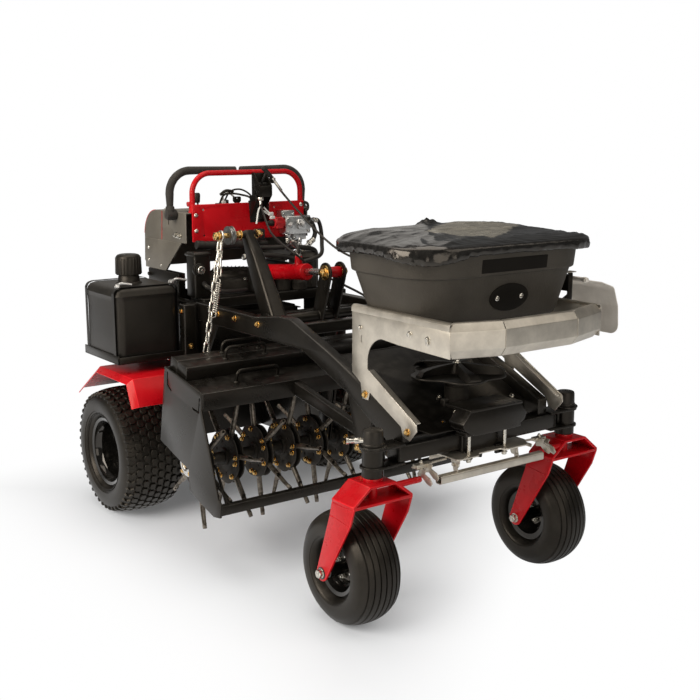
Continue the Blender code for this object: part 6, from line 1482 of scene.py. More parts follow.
# the holding strap that runs over the tank, with its clip at the front
for y in (1.163, 1.408):
    strap = smooth_path([(x0 - 0.0022, y, z0 + 0.004), (x0 - 0.0022, y, z1 - 0.05), (x0 + 0.0005, y, z1 - 0.014),
        (x0 + 0.02, y, z1 + 0.0004), (x0 + 0.06, y, z1 + 0.0022), (x1 - 0.06, y, z1 + 0.0022),
        (x1 - 0.02, y, z1 + 0.0004), (x1 + 0.0005, y, z1 - 0.014), (x1 + 0.0022, y, z1 - 0.05),
        (x1 + 0.0022, y, z0 + 0.004)], 5)
    left = [bm.verts.new(at(p.x, p.y - 0.01, p.z)) for p in strap]
    right = [bm.verts.new(at(p.x, p.y + 0.01, p.z)) for p in strap]
    for i in range(len(strap) - 1):
        bm.faces.new((left[i], left[i + 1], right[i + 1], right[i]))
bmesh.ops.recalc_face_normals(bm, faces=bm.faces)
bmesh.ops.solidify(bm, geom=list(bm.faces), thickness=0.0014)
show_piece("tank_straps", bm, RUBBER, smooth=50)

bm = fresh()
for x, z in ((-0.64, 0.948), (-0.41, 0.948)):
    tube(bm, smooth_path([(x, 1.168, z), (x + 0.02, 1.16, z + 0.01), (x + 0.06, 1.158, z + 0.004)], 6), 0.0055)
fasten(bm, (-0.632, 1.166, 0.948), (0, -1, 0), 0.015, stub=0.004)
fasten(bm, (-0.412, 1.166, 0.948), (0, -1, 0), 0.015, stub=0.004)
for y in (1.15, 1.42):
    fasten(bm, (-0.44, y, 0.657), (0, 0, -1), 0.013)
show_piece("tank_clips", bm, ALLOY)

# %% Hydraulic valve
valve_back = PANEL_BACK - 0.0095
valve_y = valve_back - 0.026
bm = fresh()
block(bm, (0.14, 0.262), (valve_back - 0.052, valve_back), (1.098, 1.172), 0.0025)
block(bm, (0.128, 0.19), (valve_back - 0.04, valve_back - 0.001), (1.165, 1.196), 0.002)
block(bm, (0.182, 0.248), (valve_back - 0.04, valve_back - 0.001), (1.072, 1.104), 0.002)
block(bm, (0.196, 0.236), (valve_back - 0.06, valve_back - 0.05), (1.118, 1.158), 0.003)
for x, z in mm((150, 1162), (150, 1108), (252, 1162), (252, 1108), (136, 1181), (182, 1181), (190, 1081)):
    turned(bm, mm((0, 2.2), (0, 4.8), (5, 4.8), (6, 4), (6, 2.2)),
        (x, valve_back - (0.052 if 1.1 < z < 1.17 else 0.04), z), (0, -1, 0), 18)
fasten(bm, (0.216, valve_back - 0.06, 1.138), (0, -1, 0), 0.024, 0.015, 0.004)
fasten(bm, (0.165, valve_back - 0.052, 1.136), (0, -1, 0), 0.02, 0.012, 0.003)
rod(bm, (0.256, valve_y, 1.15), (0.292, valve_y, 1.15), 0.0105, 6, ease=0.001)
rod(bm, (0.262, valve_y, 1.15), (0.272, valve_y, 1.15), 0.0135, 6, ease=0.001)
rod(bm, (0.165, valve_y, 1.102), (0.165, valve_y, 1.08), 0.0105, 6, ease=0.001)
rod(bm, (0.165, valve_y, 1.098), (0.165, valve_y, 1.089), 0.0135, 6, ease=0.001)
rod(bm, (0.218, valve_y - 0.01, 1.08), (0.218, valve_y - 0.01, 1.062), 0.011, 6, ease=0.001)
elbow = smooth_path([(0.218, valve_y - 0.01, 1.066), (0.219, valve_y - 0.012, 1.05), (0.228, valve_y - 0.016, 1.042),
    (0.244, valve_y - 0.018, 1.044), (0.256, valve_y - 0.018, 1.052)], 6)
tube(bm, elbow, 0.0072)
show_piece("valve_manifold", bm, ALLOY, "valve_block", 32)
bm = fresh()
rod(bm, (0.094, valve_y, 1.146), (0.141, valve_y, 1.146), 0.0218, 40, ease=0.003)
block(bm, (0.1, 0.134), (valve_y - 0.02, valve_y + 0.02), (1.122, 1.17), 0.004, 3)
show_piece("valve_coil", bm, RED_KNOB, smooth=32)
bm = fresh()
rod(bm, (0.072, valve_y, 1.146), (0.096, valve_y, 1.146), 0.0118, 28, ease=0.002)
rod(bm, (0.064, valve_y, 1.146), (0.078, valve_y, 1.146), 0.008, 24, ease=0.001)
block(bm, (0.24, 0.259), (valve_back - 0.06, valve_back - 0.052), (1.15, 1.166), 0.002)
show_piece("valve_plunger", bm, PLASTIC, smooth=40)

# %% [markdown]
# ## Hoses and cables
#
# A hose is a bent tube through the points of its route; its ends sit in crimped steel ferrules. A
# push-pull cable is thinner, and where it leaves its clamp it has a bright sleeve and a rubber boot.

# %% Hose routes
pressure = [(0.165, valve_y, 1.0793), (0.165, valve_y, 1.068), (0.165, valve_y, 1.056), (0.13, valve_y - 0.05, 1.04),
    (0.06, valve_y - 0.16, 1.066), (0.014, valve_y - 0.27, 1.088), (0.0, 0.905, 1.074), (0.0, 0.9, 1.0415)]
back_route = [(0.2925, valve_y, 1.15), (0.318, valve_y, 1.146), (0.33, valve_y - 0.004, 1.11),
    (0.324, valve_y - 0.02, 1.05), (0.255, valve_y - 0.102, 1.01), (0.15, valve_y - 0.096, 0.984),
    (0.08, 1.1395, 0.961), (0.0466, 1.1395, 0.96)]
stop_y = CONSOLE_FRONT - 0.0608
gate_route = [(0.02, stop_y, 1.2545), (0.02, stop_y, 1.247), (0.02, stop_y, 1.238), (0.018, stop_y - 0.004, 1.225),
    (-0.014, 1.08, 1.129), (-0.032, 0.97, 1.09), (-0.03, 0.893, 1.062), (-0.014, 0.881, 1.047), (0.012, 0.873, 1.022),
    (0.04, 0.862, 0.998), (0.066, 0.82, 0.972), (0.086, 0.72, 0.945), (0.08, 0.6, 0.925), (0.02, 0.4, 0.908),
    (-0.06, 0.25, 0.895), (-0.105, 0.15, 0.887), (-0.11, 0.1, 0.8872), (-0.11, 0.072, 0.8872)]
deflector_route = mm((83, 1208.5, 1328), (96.5, 1203.5, 1306), (123.7, 1190, 1263.5), (163, 1130, 1189),
    (209.5, 1020, 1089), (243, 900, 1030), (285, 700, 998), (335, 420, 976), (366, 180, 960), (366, 60, 960),
    (366, -55, 965))
for name, route, radius, node in (("pressure_line", pressure, 0.0085, "pressure_hose"),
        ("return_line", back_route, 0.0085, "return_hose"), ("gate_push_cable", gate_route, 0.0045, "gate_cable"),
        ("deflector_push_cable", deflector_route, 0.0045, "deflector_cable")):
    bm = fresh()
    tube(bm, smooth_path(route, 8), radius, resolution=4)
    show_piece(name, bm, RUBBER, node, 60)

# more hoses that loop under the panel and round the engine
bm = fresh()
loops = [[(0.256, valve_y - 0.018, 1.052), (0.276, valve_y - 0.02, 1.066), (0.292, valve_y - 0.016, 1.096),
    (0.286, valve_y - 0.01, 1.128), (0.276, valve_y - 0.004, 1.146)], mm((-40, 1196, 1058), (40, 1180, 1052),
    (120, 1168, 1050), (200, 1166, 1044), (262, 1176, 1030), (290, 1200, 996), (288, 1222, 960)),
    mm((-75, 1192, 1020), (10, 1176, 1024), (110, 1160, 1012), (190, 1150, 980), (232, 1150, 940)),
    mm((-262, 1178, 930), (-262, 1150, 918), (-220, 1136, 900), (-150, 1140, 892), (-80, 1160, 890))]
for route in loops:
    tube(bm, smooth_path(route, 8), 0.0095, resolution=4)
block(bm, (-0.012, 0.03), (1.186, 1.212), (1.082, 1.128), 0.004, 3)
block(bm, (-0.006, 0.022), (1.18, 1.19), (1.09, 1.122), 0.003, 2)
show_piece("loom_and_hoses", bm, RUBBER, smooth=60)


def ferrule(bm, route, radius, length=0.026, at_end=False):
    """A crimped sleeve with its hexagon over the end of a route."""
    points = [Vector(p) for p in (reversed(route) if at_end else route)]
    ahead = (points[1] - points[0]).normalized()
    rod(bm, tuple(points[0]), tuple(points[0] + ahead * length * 0.32), radius * 1.45, 6, ease=0.0006)
    for step in range(3):
        first = points[0] + ahead * length * (0.3 + 0.23 * step)
        rod(bm, tuple(first), tuple(first + ahead * length * 0.2), radius * 1.22, 24, ease=0.0008)


bm = fresh()
ferrule(bm, pressure, 0.0085, 0.02)
ferrule(bm, pressure, 0.0085, 0.028, True)
ferrule(bm, back_route, 0.0085, 0.022)
ferrule(bm, back_route, 0.0085, 0.03, True)
for route in loops[:3]:
    ferrule(bm, route, 0.0095, 0.034)
# the pressure elbow over the cylinder's port
tube(bm, smooth_path(mm((0, 900, 1040), (0, 902, 1062), (4, 912, 1076), (12, 935, 1083)), 6), 0.0078)
ferrule(bm, [(0.012, 0.935, 1.083), (0.018, 0.96, 1.088)], 0.0095, 0.04)
# bright sleeves and end fittings of the two cables
rod(bm, (0.0862, 1.2073, 1.3225), (0.116, 1.1945, 1.277), 0.0062, 24, ease=0.001)
rod(bm, (0.08, 1.2095, 1.333), (0.089, 1.2062, 1.318), 0.0082, 6, ease=0.0008)
turned(bm, mm((0, 5), (0, 12.5), (6, 14), (12, 12.5), (12, 5)), (0.0195, stop_y, 1.2545), (0, 0, -1), 28)
rod(bm, (0.0195, stop_y, 1.2455), (0.018, stop_y - 0.003, 1.215), 0.006, 20, ease=0.0008)
show_piece("ferrules", bm, ZINC, smooth=40)

bm = fresh()
for points in (mm((20, 1196, 1222), (4, 1192, 1205), (-6, 1186, 1175), (-12, 1184, 1150)),
        mm((30, 1196, 1214), (46, 1190, 1196), (60, 1188, 1184)), mm((30, 1198, 1200), (52, 1192, 1184),
        (70, 1190, 1176)), mm((-94, 1304, 1236), (-84, 1322, 1262), (-50, 1334, 1268), (-10, 1330, 1236))):
    tube(bm, smooth_path(points, 5), 0.0036)
block(bm, (0.05, 0.07), (1.184, 1.196), (1.18, 1.194), 0.002)
block(bm, (0.056, 0.076), (1.182, 1.194), (1.166, 1.178), 0.002)
block(bm, (0.268, 0.284), (valve_y - 0.016, valve_y + 0.002), (1.118, 1.134), 0.003)
block(bm, (-0.102, -0.086), (1.296, 1.308), (1.226, 1.24), 0.002)
show_piece("white_plugs", bm, WHITE_PLASTIC, smooth=40)

# %% [markdown]
# ## Lift linkage
#
# A hydraulic cylinder pushes two short plates on a cross shaft. On the same shaft stands a long
# folded channel, and from its end a chain lifts the tine unit. A channel bent from plate has round
# corners as large as the plate is thick, and those long round corners carry the brightest
# highlight of the whole machine. So its section is drawn with arcs and lofted along the arm.

# %% Tower, cross shaft and short plates
CRANK_Y, CRANK_Z = 0.72, 0.84
ANCHOR_Y, ANCHOR_Z = 0.9, 1.14
PIN_Y, PIN_Z = 0.671, 1.006
TOWER_OUT, TOWER_IN = -0.25, -0.195
CHAIN_X = -0.338


def tower_section(front, back, wider, wall=0.0065, bend=0.013):
    """A channel section as (x, depth) pairs; depth counts towards the machine's front."""
    left, right = TOWER_OUT - wider, TOWER_IN + wider
    outer = [(left, -back)] + arc((left + bend, front - bend), bend, 180, 90, 8)
    outer += arc((right - bend, front - bend), bend, 90, 0, 8) + [(right, -back)]
    inner_bend = bend - wall
    inner = [(right - wall, -back)] + arc((right - bend, front - bend), inner_bend, 0, 90, 8)
    inner += arc((left + bend, front - bend), inner_bend, 90, 180, 8) + [(left + wall, -back)]
    return outer + inner


bm = fresh()
base, top = Vector((CRANK_Y, CRANK_Z)), Vector((ANCHOR_Y, ANCHOR_Z))
along = (top - base).normalized()
ahead = Vector((-along.y, along.x))
stations = mm((-27, 37, 20), (-14, 38.5, 32), (0, 39, 36), (150, 36, 32), (250, 32, 28), (285, 26.5, 24),
    (318, 19, 18), (345, 15, 14), (362, 14, 13))
rings = []
for reach, front_depth, back_depth in stations:
    spot = base + along * reach
    wider = 0.005 - 0.01 * min(1.0, max(0.0, (reach - 0.03) / 0.28))
    rings.append([bm.verts.new(at(x, *(spot + ahead * depth)))
        for x, depth in tower_section(front_depth, back_depth, wider)])
skin(bm, rings)
bm.faces.new(rings[0])
bm.faces.new(rings[-1])
eased(bm, [vert for ring in rings for vert in ring], 0.001, 2, 60)
rod(bm, (-0.2695, CRANK_Y, CRANK_Z), (0.2695, CRANK_Y, CRANK_Z), 0.02, 40, ease=0.002)
for x in (-0.262, 0.256):
    rod(bm, (x, CRANK_Y, CRANK_Z), (x + 0.006, CRANK_Y, CRANK_Z), 0.03, 40, ease=0.001)
hole_r = 0.025
plate = arc((PIN_Y, PIN_Z), hole_r + 0.012, 200, -10, 20)
plate += [(CRANK_Y + 0.034, CRANK_Z + 0.01), (CRANK_Y + 0.02, CRANK_Z - 0.022), (CRANK_Y - 0.006, CRANK_Z - 0.028),
    (CRANK_Y - 0.03, CRANK_Z - 0.014)]
for x in (-0.036, 0.029):
    side_plate(bm, plate, (x, x + 0.007), 0.0014, holes=[circle((PIN_Y, PIN_Z), hole_r, 40)])
    for spin in (0, 1):
        weld_bead(bm, [(x + (0.0075 if spin else -0.0005), CRANK_Y + 0.021 * math.cos(a),
            CRANK_Z + 0.021 * math.sin(a)) for a in (math.tau * k / 16 for k in range(17))], 0.0022)
rod(bm, (TOWER_OUT - 0.012, ANCHOR_Y, ANCHOR_Z), (TOWER_IN + 0.002, ANCHOR_Y, ANCHOR_Z), 0.0135, 32, ease=0.001)
show_piece("channel_tower", bm, BLACK, "lift_arm", 32, body="lift_crank")

# %% Sheave and its bolt
bm = fresh()
turned(bm, mm((0, 11), (0, 33), (1.5, 34.5), (4.5, 34), (6.5, 29.5), (10, 27.5), (13.5, 29.5), (15.5, 34),
    (18.5, 34.5), (20, 33), (20, 29), (17.5, 27), (17, 18), (20, 16.5), (20, 11)), (-0.312, ANCHOR_Y, ANCHOR_Z),
    X_AXIS, 64)
turned(bm, mm((-0.1, 15.5), (-0.1, 30), (3, 27), (3.5, 18), (2, 15.5)), (-0.3125, ANCHOR_Y, ANCHOR_Z), X_AXIS, 64)
show_piece("chain_sheave", bm, TURNED_STEEL, smooth=30, body="lift_crank")
bm = fresh()
rod(bm, (-0.362, ANCHOR_Y, ANCHOR_Z), (-0.18, ANCHOR_Y, ANCHOR_Z), 0.0098, 28, ease=0.001)
fasten(bm, (-0.349, ANCHOR_Y, ANCHOR_Z), (-1, 0, 0), 0.027, 0.017, 0.004)
fasten(bm, (-0.256, ANCHOR_Y, ANCHOR_Z), (-1, 0, 0), 0.027, 0.0175)
fasten(bm, (-0.189, ANCHOR_Y, ANCHOR_Z), (1, 0, 0), 0.027, 0.0175, 0.01)
rod(bm, (-0.292, ANCHOR_Y, ANCHOR_Z), (-0.275, ANCHOR_Y, ANCHOR_Z), 0.015, 28, ease=0.0015)
fasten(bm, (TOWER_OUT, CRANK_Y + 0.008, CRANK_Z + 0.004), (-1, 0, 0), 0.022, 0.015)
show_piece("gold_lift_bolts", bm, GOLD_ZINC, body="lift_crank")

# %% Cylinder and rod
pivot, pin = Vector((0, 1.19, 0.955)), Vector((0, PIN_Y, PIN_Z))
forward = (pin - pivot).normalized()
length = (1.19 - 0.842) / abs(forward.y)
bm = fresh()
turned(bm, [(0.03, POLE), (0.03, 0.0285), (0.033, 0.03), (length - 0.03, 0.03), (length - 0.028, 0.0318),
    (length - 0.002, 0.0318), (length, 0.03), (length, 0.0135), (length - 0.01, 0.0128), (0.09, 0.0128),
    (0.09, POLE)], tuple(pivot), forward, 56)
rod(bm, (-0.031, pivot.y, pivot.z), (0.031, pivot.y, pivot.z), 0.02, 40, ease=0.0015)
rod(bm, tuple(pivot), tuple(pivot + forward * 0.04), 0.0165, 28)
port = pivot + forward * ((1.19 - 0.9) / abs(forward.y))
turned(bm, mm((20, 0.2), (20, 19), (34, 15), (50, 14), (60, 14), (61.2, 12.8), (61.2, 0.2)), (0, 0.9, port.z), Z_AXIS,
    36)
side_port = pivot + forward * 0.05
rod(bm, tuple(side_port), tuple(side_port + Vector((0.045, 0, 0))), 0.0118, 28, ease=0.001)
weld_bead(bm, [tuple(pivot + forward * 0.034
    + Vector((0.0298 * math.cos(a), 0.004 * math.sin(a), 0.0298 * math.sin(a))))
    for a in (math.tau * k / 24 for k in range(25))], 0.0018)
show_piece("red_barrel", bm, RED, "lift_cylinder", body="cylinder")

bm = fresh()
rod(bm, tuple(pivot + forward * 0.25), tuple(pin - forward * 0.012), 0.0124, 48, ease=0.0008)
rod(bm, (-0.056, pin.y, pin.z), (0.056, pin.y, pin.z), 0.0098, 28, ease=0.001)
show_piece("polished_rod", bm, CHROME, "cylinder_rod", body="rod")
bm = fresh()
rod(bm, (-0.0284, pin.y, pin.z), (0.0284, pin.y, pin.z), 0.02, 40, ease=0.0012)
show_piece("red_bush", bm, RED, body="rod")
bm = fresh()
for side in (-1, 1):
    rod(bm, (side * 0.0366, pin.y, pin.z), (side * 0.0402, pin.y, pin.z), 0.028, 44, ease=0.0008)
    fasten(bm, (side * 0.0402, pin.y, pin.z), (side, 0, 0), 0.027, 0.0185, 0.003)
show_piece("gold_pin_nuts", bm, GOLD_ZINC, body="rod")

# %% [markdown]
# ## Chain and spring
#
# A short-link chain is one oval of round wire, repeated with a quarter turn each time, so the
# pitch is the inner length of a link. The spring beside it takes up the slack when the unit is
# down. Its wire is a helix with a hook at each end, bent as one tube.

# %% Chain
chain_top = Vector((CHAIN_X, ANCHOR_Y, ANCHOR_Z))
chain_end = Vector((-0.412, 0.905, 0.712))
WIRE = 0.0043
ring_r = 0.0115 / math.cos(math.pi / 8) + WIRE
chain_along = (chain_end - chain_top).normalized()
PITCH = ((chain_end - chain_top).length - ring_r - WIRE * 1.2) / 11
side_way = (X_AXIS - chain_along * X_AXIS.dot(chain_along)).normalized()
fore_way = chain_along.cross(side_way)


def link_place(number):
    """The middle of a link, counted from the tower's bolt."""
    return chain_top + chain_along * (ring_r + WIRE * 0.6 + PITCH * (number + 0.5))


def oval_link(bm, centre, direction, flat_way, length, width, wire):
    points = []
    straight = (length - width) / 2
    for end in (1, -1):
        for step in range(9):
            a = math.radians(-90 + 22.5 * step)
            points.append(centre + end * (direction * (straight + math.cos(a) * width / 2) + flat_way
                * (math.sin(a) * width / 2)))
    tube(bm, points, wire, closed=True, resolution=3)


bm = fresh()
for number in range(11):
    flat_way = side_way if number % 2 == 0 else fore_way
    oval_link(bm, link_place(number), chain_along, flat_way, PITCH + WIRE * 1.2, 0.0172, WIRE)
turned(bm, [(WIRE * math.sin(a), ring_r + WIRE * math.cos(a)) for a in (math.tau * k / 10 for k in range(10))],
    tuple(chain_top), X_AXIS, 40)
outward = Vector((0, -1, 0))
outward = (outward - chain_along * outward.dot(chain_along)).normalized()
third = chain_along.cross(outward)
hook_line = outward * 0.0255
for number in range(4):
    t = (number + 0.55) / 4.3
    spot = (chain_top + chain_along * 0.02).lerp(link_place(3) + hook_line, t)
    lean = ((link_place(3) + hook_line) - (chain_top + chain_along * 0.02)).normalized()
    way = side_way if number % 2 else lean.cross(side_way).normalized()
    oval_link(bm, spot, lean, way, 0.0385, 0.0145, 0.0038)
show_piece("zinc_chain", bm, ZINC, "lift_chain", 60, body="lift_chain_and_spring")

# %% Spring
bm = fresh()
COIL_R, COIL_WIRE = 0.01, 0.0017
offset = outward * (COIL_R + COIL_WIRE + 0.0086 + WIRE + 0.002)
start, tail = link_place(3), link_place(7)
COILS, PER_TURN = 14, 16
lead = 0.017
coil_pitch = ((tail - start).length - lead * 2) / COILS
coils = []
for i in range(COILS * PER_TURN + 1):
    a = math.tau * i / PER_TURN
    coils.append(start + offset + chain_along * (lead + coil_pitch * i / PER_TURN)
        + (outward * math.cos(a) + third * math.sin(a)) * COIL_R)
hook = 0.0072 + WIRE + 0.0005
wire = [start + outward * hook, start + outward * (hook + 0.006) + chain_along * 0.002,
    coils[0] - chain_along * lead * 0.5]
wire += coils
wire += [coils[-1] + chain_along * lead * 0.5, tail + outward * (hook + 0.006) - chain_along * 0.002,
    tail + outward * hook]
tube(bm, wire, COIL_WIRE, resolution=2)
show_piece("coil_spring", bm, ZINC, "chain_spring", 60, body="lift_chain_and_spring")

# %% [markdown]
# ## Tine unit
#
# The unit is a welded carrier with plate ends. Two half shafts turn in it, each with five stars.
# A star is a pair of round plates with six hollow tines bolted between them. A coring tine is a
# steel tube that is cut open along one side, so that the plug of soil can leave it, and closed
# again to a ring at its tip. All of them rust a little and wear bright at the ends.

# %% Carrier
SHAFT_Y, SHAFT_Z = 0.735, 0.362
TILT = math.radians(10.6)
UNIT_HALF = 0.602
HINGE_Y, HINGE_Z = 0.12, 0.52


def unit(s, t):
    """A point of the carrier's own level view, behind and above its shaft, as drawing (y, z)."""
    return (SHAFT_Y + s * math.cos(TILT) - t * math.sin(TILT), SHAFT_Z + s * math.sin(TILT) + t * math.cos(TILT))


def unit_bar(bm, x, s, t, ease=0.002, steps=2):
    side_plate(bm, [unit(s[0], t[0]), unit(s[1], t[0]), unit(s[1], t[1]), unit(s[0], t[1])], x, ease, steps=steps)


bm = fresh()
wide = UNIT_HALF - 0.002
unit_bar(bm, (-wide, wide), (-0.08, 0.186), (0.262, 0.27), 0.0012)
unit_bar(bm, (-wide, wide), (-0.09, -0.078), (0.238, 0.303), 0.0018)
unit_bar(bm, (-wide, wide), (0.178, 0.186), (0.17, 0.302), 0.0015)
unit_bar(bm, (-wide - 0.001, wide + 0.001), (-0.265, -0.256), (-0.076, -0.04), 0.0012)
unit_bar(bm, (-wide, wide), (-0.262, -0.245), (-0.046, -0.04), 0.001)
end = [unit(s, t) for s, t in mm((187, 13), (187, 304), (-80, 304), (-91, 241), (-244.5, -24), (-266, -32),
    (-266, -82), (-224, -97.5), (-102, -88), (-49, -78), (-33, -7))]
tab_slots = [mm((845.5, 678), (838.5, 678), (841.5, 630.5), (814.5, 615), (818, 608.5), (849, 626.5)),
    mm((613.5, 627), (606.5, 625), (615.5, 572.5), (621.5, 571), (665, 577), (664, 584), (621.5, 578.5))]
hang = [unit(s, t) for s, t in mm((-30, 264), (30, 264), (34, 0), (0, -36), (-34, 0))]
arm = [unit(-0.084, 0.296), unit(-0.084, 0.246), (HINGE_Y + 0.01, HINGE_Z - 0.016), (HINGE_Y - 0.01, HINGE_Z - 0.01),
    (HINGE_Y - 0.002, HINGE_Z + 0.016)]
for side in (-1, 1):
    side_plate(bm, end, sided(side, UNIT_HALF - 0.008, UNIT_HALF), 0.0014, holes=tab_slots)
    side_plate(bm, arm, sided(side, 0.2, 0.228), 0.0035, steps=3)
    side_plate(bm, rounded(hang, 0.006), sided(side, 0.004, 0.012), 0.001)
    brace = [unit(-0.15, 0.06), unit(-0.165, 0.06), unit(-0.262, -0.052), unit(-0.25, -0.056)]
    side_plate(bm, brace, sided(side, 0.566, 0.572), 0.0008)
    tube(bm, [(side * 0.594, *unit(-0.19, 0.035)), (side * 0.56, *unit(-0.258, -0.046))], 0.0045)
rod(bm, (-0.2735, HINGE_Y, HINGE_Z), (0.2735, HINGE_Y, HINGE_Z), 0.018, 36, ease=0.0015)
unit_bar(bm, (-0.428, -0.396), (0.18, 0.192), (0.23, 0.3), 0.003, 3)
unit_bar(bm, (0.396, 0.428), (0.18, 0.192), (0.23, 0.3), 0.003, 3)
weld_bead(bm, [(-wide + 0.006, *unit(-0.0775, 0.2705)), (-0.47, *unit(-0.0775, 0.2705))], 0.0024)
weld_bead(bm, [(-wide + 0.006, *unit(-0.0905, 0.303)), (-wide + 0.006, *unit(-0.0905, 0.24))], 0.0024)
show_piece("tine_carrier", bm, BLACK, "tine_frame", 30, body="tine_unit")

bm = fresh()
for side in (-1, 1):
    turned(bm, [(UNIT_HALF - 0.028, 0.021), (UNIT_HALF - 0.028, 0.044), (UNIT_HALF - 0.024, 0.048),
        (UNIT_HALF - 0.012, 0.048), (UNIT_HALF - 0.008, 0.045), (UNIT_HALF - 0.006, 0.036),
        (UNIT_HALF - 0.0025, 0.033), (UNIT_HALF - 0.0025, 0.026), (UNIT_HALF - 0.007, 0.025),
        (UNIT_HALF - 0.007, 0.021)], (0, SHAFT_Y, SHAFT_Z), (side, 0, 0), 56)
show_piece("flange_bearings", bm, ALLOY, smooth=30, body="tine_unit")
bm = fresh()
for side in (-1, 1):
    for a in (-50, -130):
        y, z = SHAFT_Y + 0.0405 * math.cos(math.radians(a)), SHAFT_Z + 0.0405 * math.sin(math.radians(a))
        fasten(bm, (side * (UNIT_HALF - 0.009), y, z), (side, 0, 0), 0.012)
rod(bm, (-0.412, *unit(0.186, 0.292)), (-0.412, *unit(0.176, 0.312)), 0.007, 20)
show_piece("bearing_bolts", bm, GOLD_ZINC, body="tine_unit")


# %% Tines and stars
TINE_TIP, TINE_ROOT, TINE_R = 0.242, 0.07, 0.0098
DISC_R = 0.1
STAR_PITCH = (UNIT_HALF + 0.006) / 5


def coring_tine(bm, centre, outwards, leading):
    """A tube with an open side near its end; leading is the side that is cut open."""
    third_way = outwards.cross(leading)
    stations, around = 26, 14
    span = TINE_TIP - TINE_ROOT
    rows = []
    for i in range(stations + 1):
        share = i / stations
        reach = TINE_ROOT + span * share
        radius = TINE_R * (1.0 - 0.22 * max(0.0, share - 0.55) / 0.45)
        rows.append([bm.verts.new(centre + outwards * reach + (leading * math.cos(a) + third_way * math.sin(a))
            * radius) for a in (math.tau * (k + 0.5) / around for k in range(around))])
    faces = []
    for i in range(stations):
        share = (i + 0.5) / stations
        for k in range(around):
            j = (k + 1) % around
            middle = math.tau * (k + 1.0) / around
            facing = math.cos(middle)
            open_here = 0.5 < share < 0.905 and facing > (0.05 if 0.54 < share < 0.87 else 0.6)
            if not open_here:
                faces.append(bm.faces.new((rows[i][k], rows[i][j], rows[i + 1][j], rows[i + 1][k])))
    bmesh.ops.delete(bm, geom=[vert for row in rows for vert in row if vert.is_valid and not vert.link_faces],
        context='VERTS')
    return faces


def star(bm, plates, x, phase):
    """Both plates of one star, and its six tines."""
    centre = at(x, SHAFT_Y, SHAFT_Z)
    rim = []
    for k in range(72):
        a = math.tau * k / 72
        lobe = 1.0 - 0.045 * (0.5 - 0.5 * math.cos(6 * (a - phase) + math.pi))
        rim.append((SHAFT_Y - math.cos(a) * DISC_R * lobe, SHAFT_Z + math.sin(a) * DISC_R * lobe))
    holes = [circle((SHAFT_Y - math.cos(phase - k * math.tau / 6 - 0.52) * 0.058,
        SHAFT_Z + math.sin(phase - k * math.tau / 6 - 0.52) * 0.058), 0.0045, 12) for k in range(6)]
    for first in (-0.0138, 0.0098):
        side_plate(plates, rim, (x + first, x + first + 0.004), 0.001, holes=holes)
    shell = []
    for k in range(6):
        a = phase - k * math.tau / 6
        outwards = Vector((0, -math.cos(a), math.sin(a)))
        leading = Vector((0, math.sin(a), math.cos(a)))
        shell += coring_tine(bm, centre, outwards, leading)
    return shell


for side, label in ((-1, "right"), (1, "left")):
    bm, plates, bolts = fresh(), fresh(), fresh()
    shell = []
    for number in range(5):
        x = side * STAR_PITCH * (number + 0.5)
        index = 4 - number if side < 0 else 5 + number
        phase = math.radians(39.0 if index % 2 == 0 else 10.0)
        shell += star(bm, plates, x, phase)
        for k in range(6):
            a = phase - k * math.tau / 6
            for turn, radius in ((0.0, 0.082), (-0.3, 0.079)):
                seat = (SHAFT_Y - radius * math.cos(a + turn), SHAFT_Z + radius * math.sin(a + turn))
                if turn and k % 2:
                    continue
                for way in (-1, 1):
                    fasten(bolts, (x + way * 0.0138, *seat), (way, 0, 0), 0.0145, 0.0098, 0.002)
        turned(plates, mm((-22, 19.5), (-22, 31), (-19, 34), (19, 34), (22, 31), (22, 19.5)), (x, SHAFT_Y, SHAFT_Z),
            X_AXIS, 32)
    bmesh.ops.recalc_face_normals(bm, faces=bm.faces)
    bmesh.ops.solidify(bm, geom=shell, thickness=0.0019)
    show_piece("hollow_tines_" + label, bm, STEEL, smooth=40, body=label + "_tine_rotor")
    rod(plates, (side * 0.0015, SHAFT_Y, SHAFT_Z), (side * (UNIT_HALF - 0.0175), SHAFT_Y, SHAFT_Z), 0.0198, 32,
        ease=0.001)
    show_piece("star_plates_" + label, plates, CAST, "tine_rotor_" + label, 30, body=label + "_tine_rotor")
    fasten(bolts, (side * (UNIT_HALF - 0.0176), SHAFT_Y, SHAFT_Z), (side, 0, 0), 0.024, 0.016)
    show_piece("star_bolts_" + label, bolts, GOLD_ZINC, body=label + "_tine_rotor")

# %% Weights with rod handles
for name, (s0, s1), top, handle_s, handle_x in (("rear_weight", (0.128, 0.1775), 0.341, 0.153, (0.235, 0.39)),
        ("middle_weight", (0.058, 0.1275), 0.341, 0.093, (0.245, 0.41)), ("front_weight", (-0.076, 0.0575), 0.292,
        -0.01, (0.25, 0.42))):
    bm = fresh()
    reach = UNIT_HALF - 0.018
    unit_bar(bm, (-reach, reach), (s0, s1), (0.2705, top), 0.0026, 3)
    for side in (-1, 1):
        x0, x1 = side * handle_x[0], side * handle_x[1]
        corners = [(x, *unit(handle_s, top + rise)) for x, rise in ((x0, -0.006), (x0, 0.042), (x1, 0.042),
            (x1, -0.006))]
        tube(bm, bent_path(corners, 0.018, 8), 0.006, resolution=4)
        for x in (x0, x1):
            foot = Vector((x, *unit(handle_s, top)))
            lift = Vector((0, -math.sin(TILT), math.cos(TILT)))
            turned(bm, mm((-2, 0.2), (-2, 12.5), (1.6, 11.8), (3, 8.5), (5, 6.2), (5.2, 0.2)), tuple(foot), lift, 24)
    show_piece(name + "_bar", bm, BLACK, name, 32, body="tine_unit")

# %% [markdown]
# ## Hopper
#
# The hopper is blown or spun in one piece of textured plastic: a deep bin with long round corners,
# a bulging ledge half way up and a flat rim. It is lofted through rings of the same number of
# points, down the outside and up again on the inside, since the cover comes off.

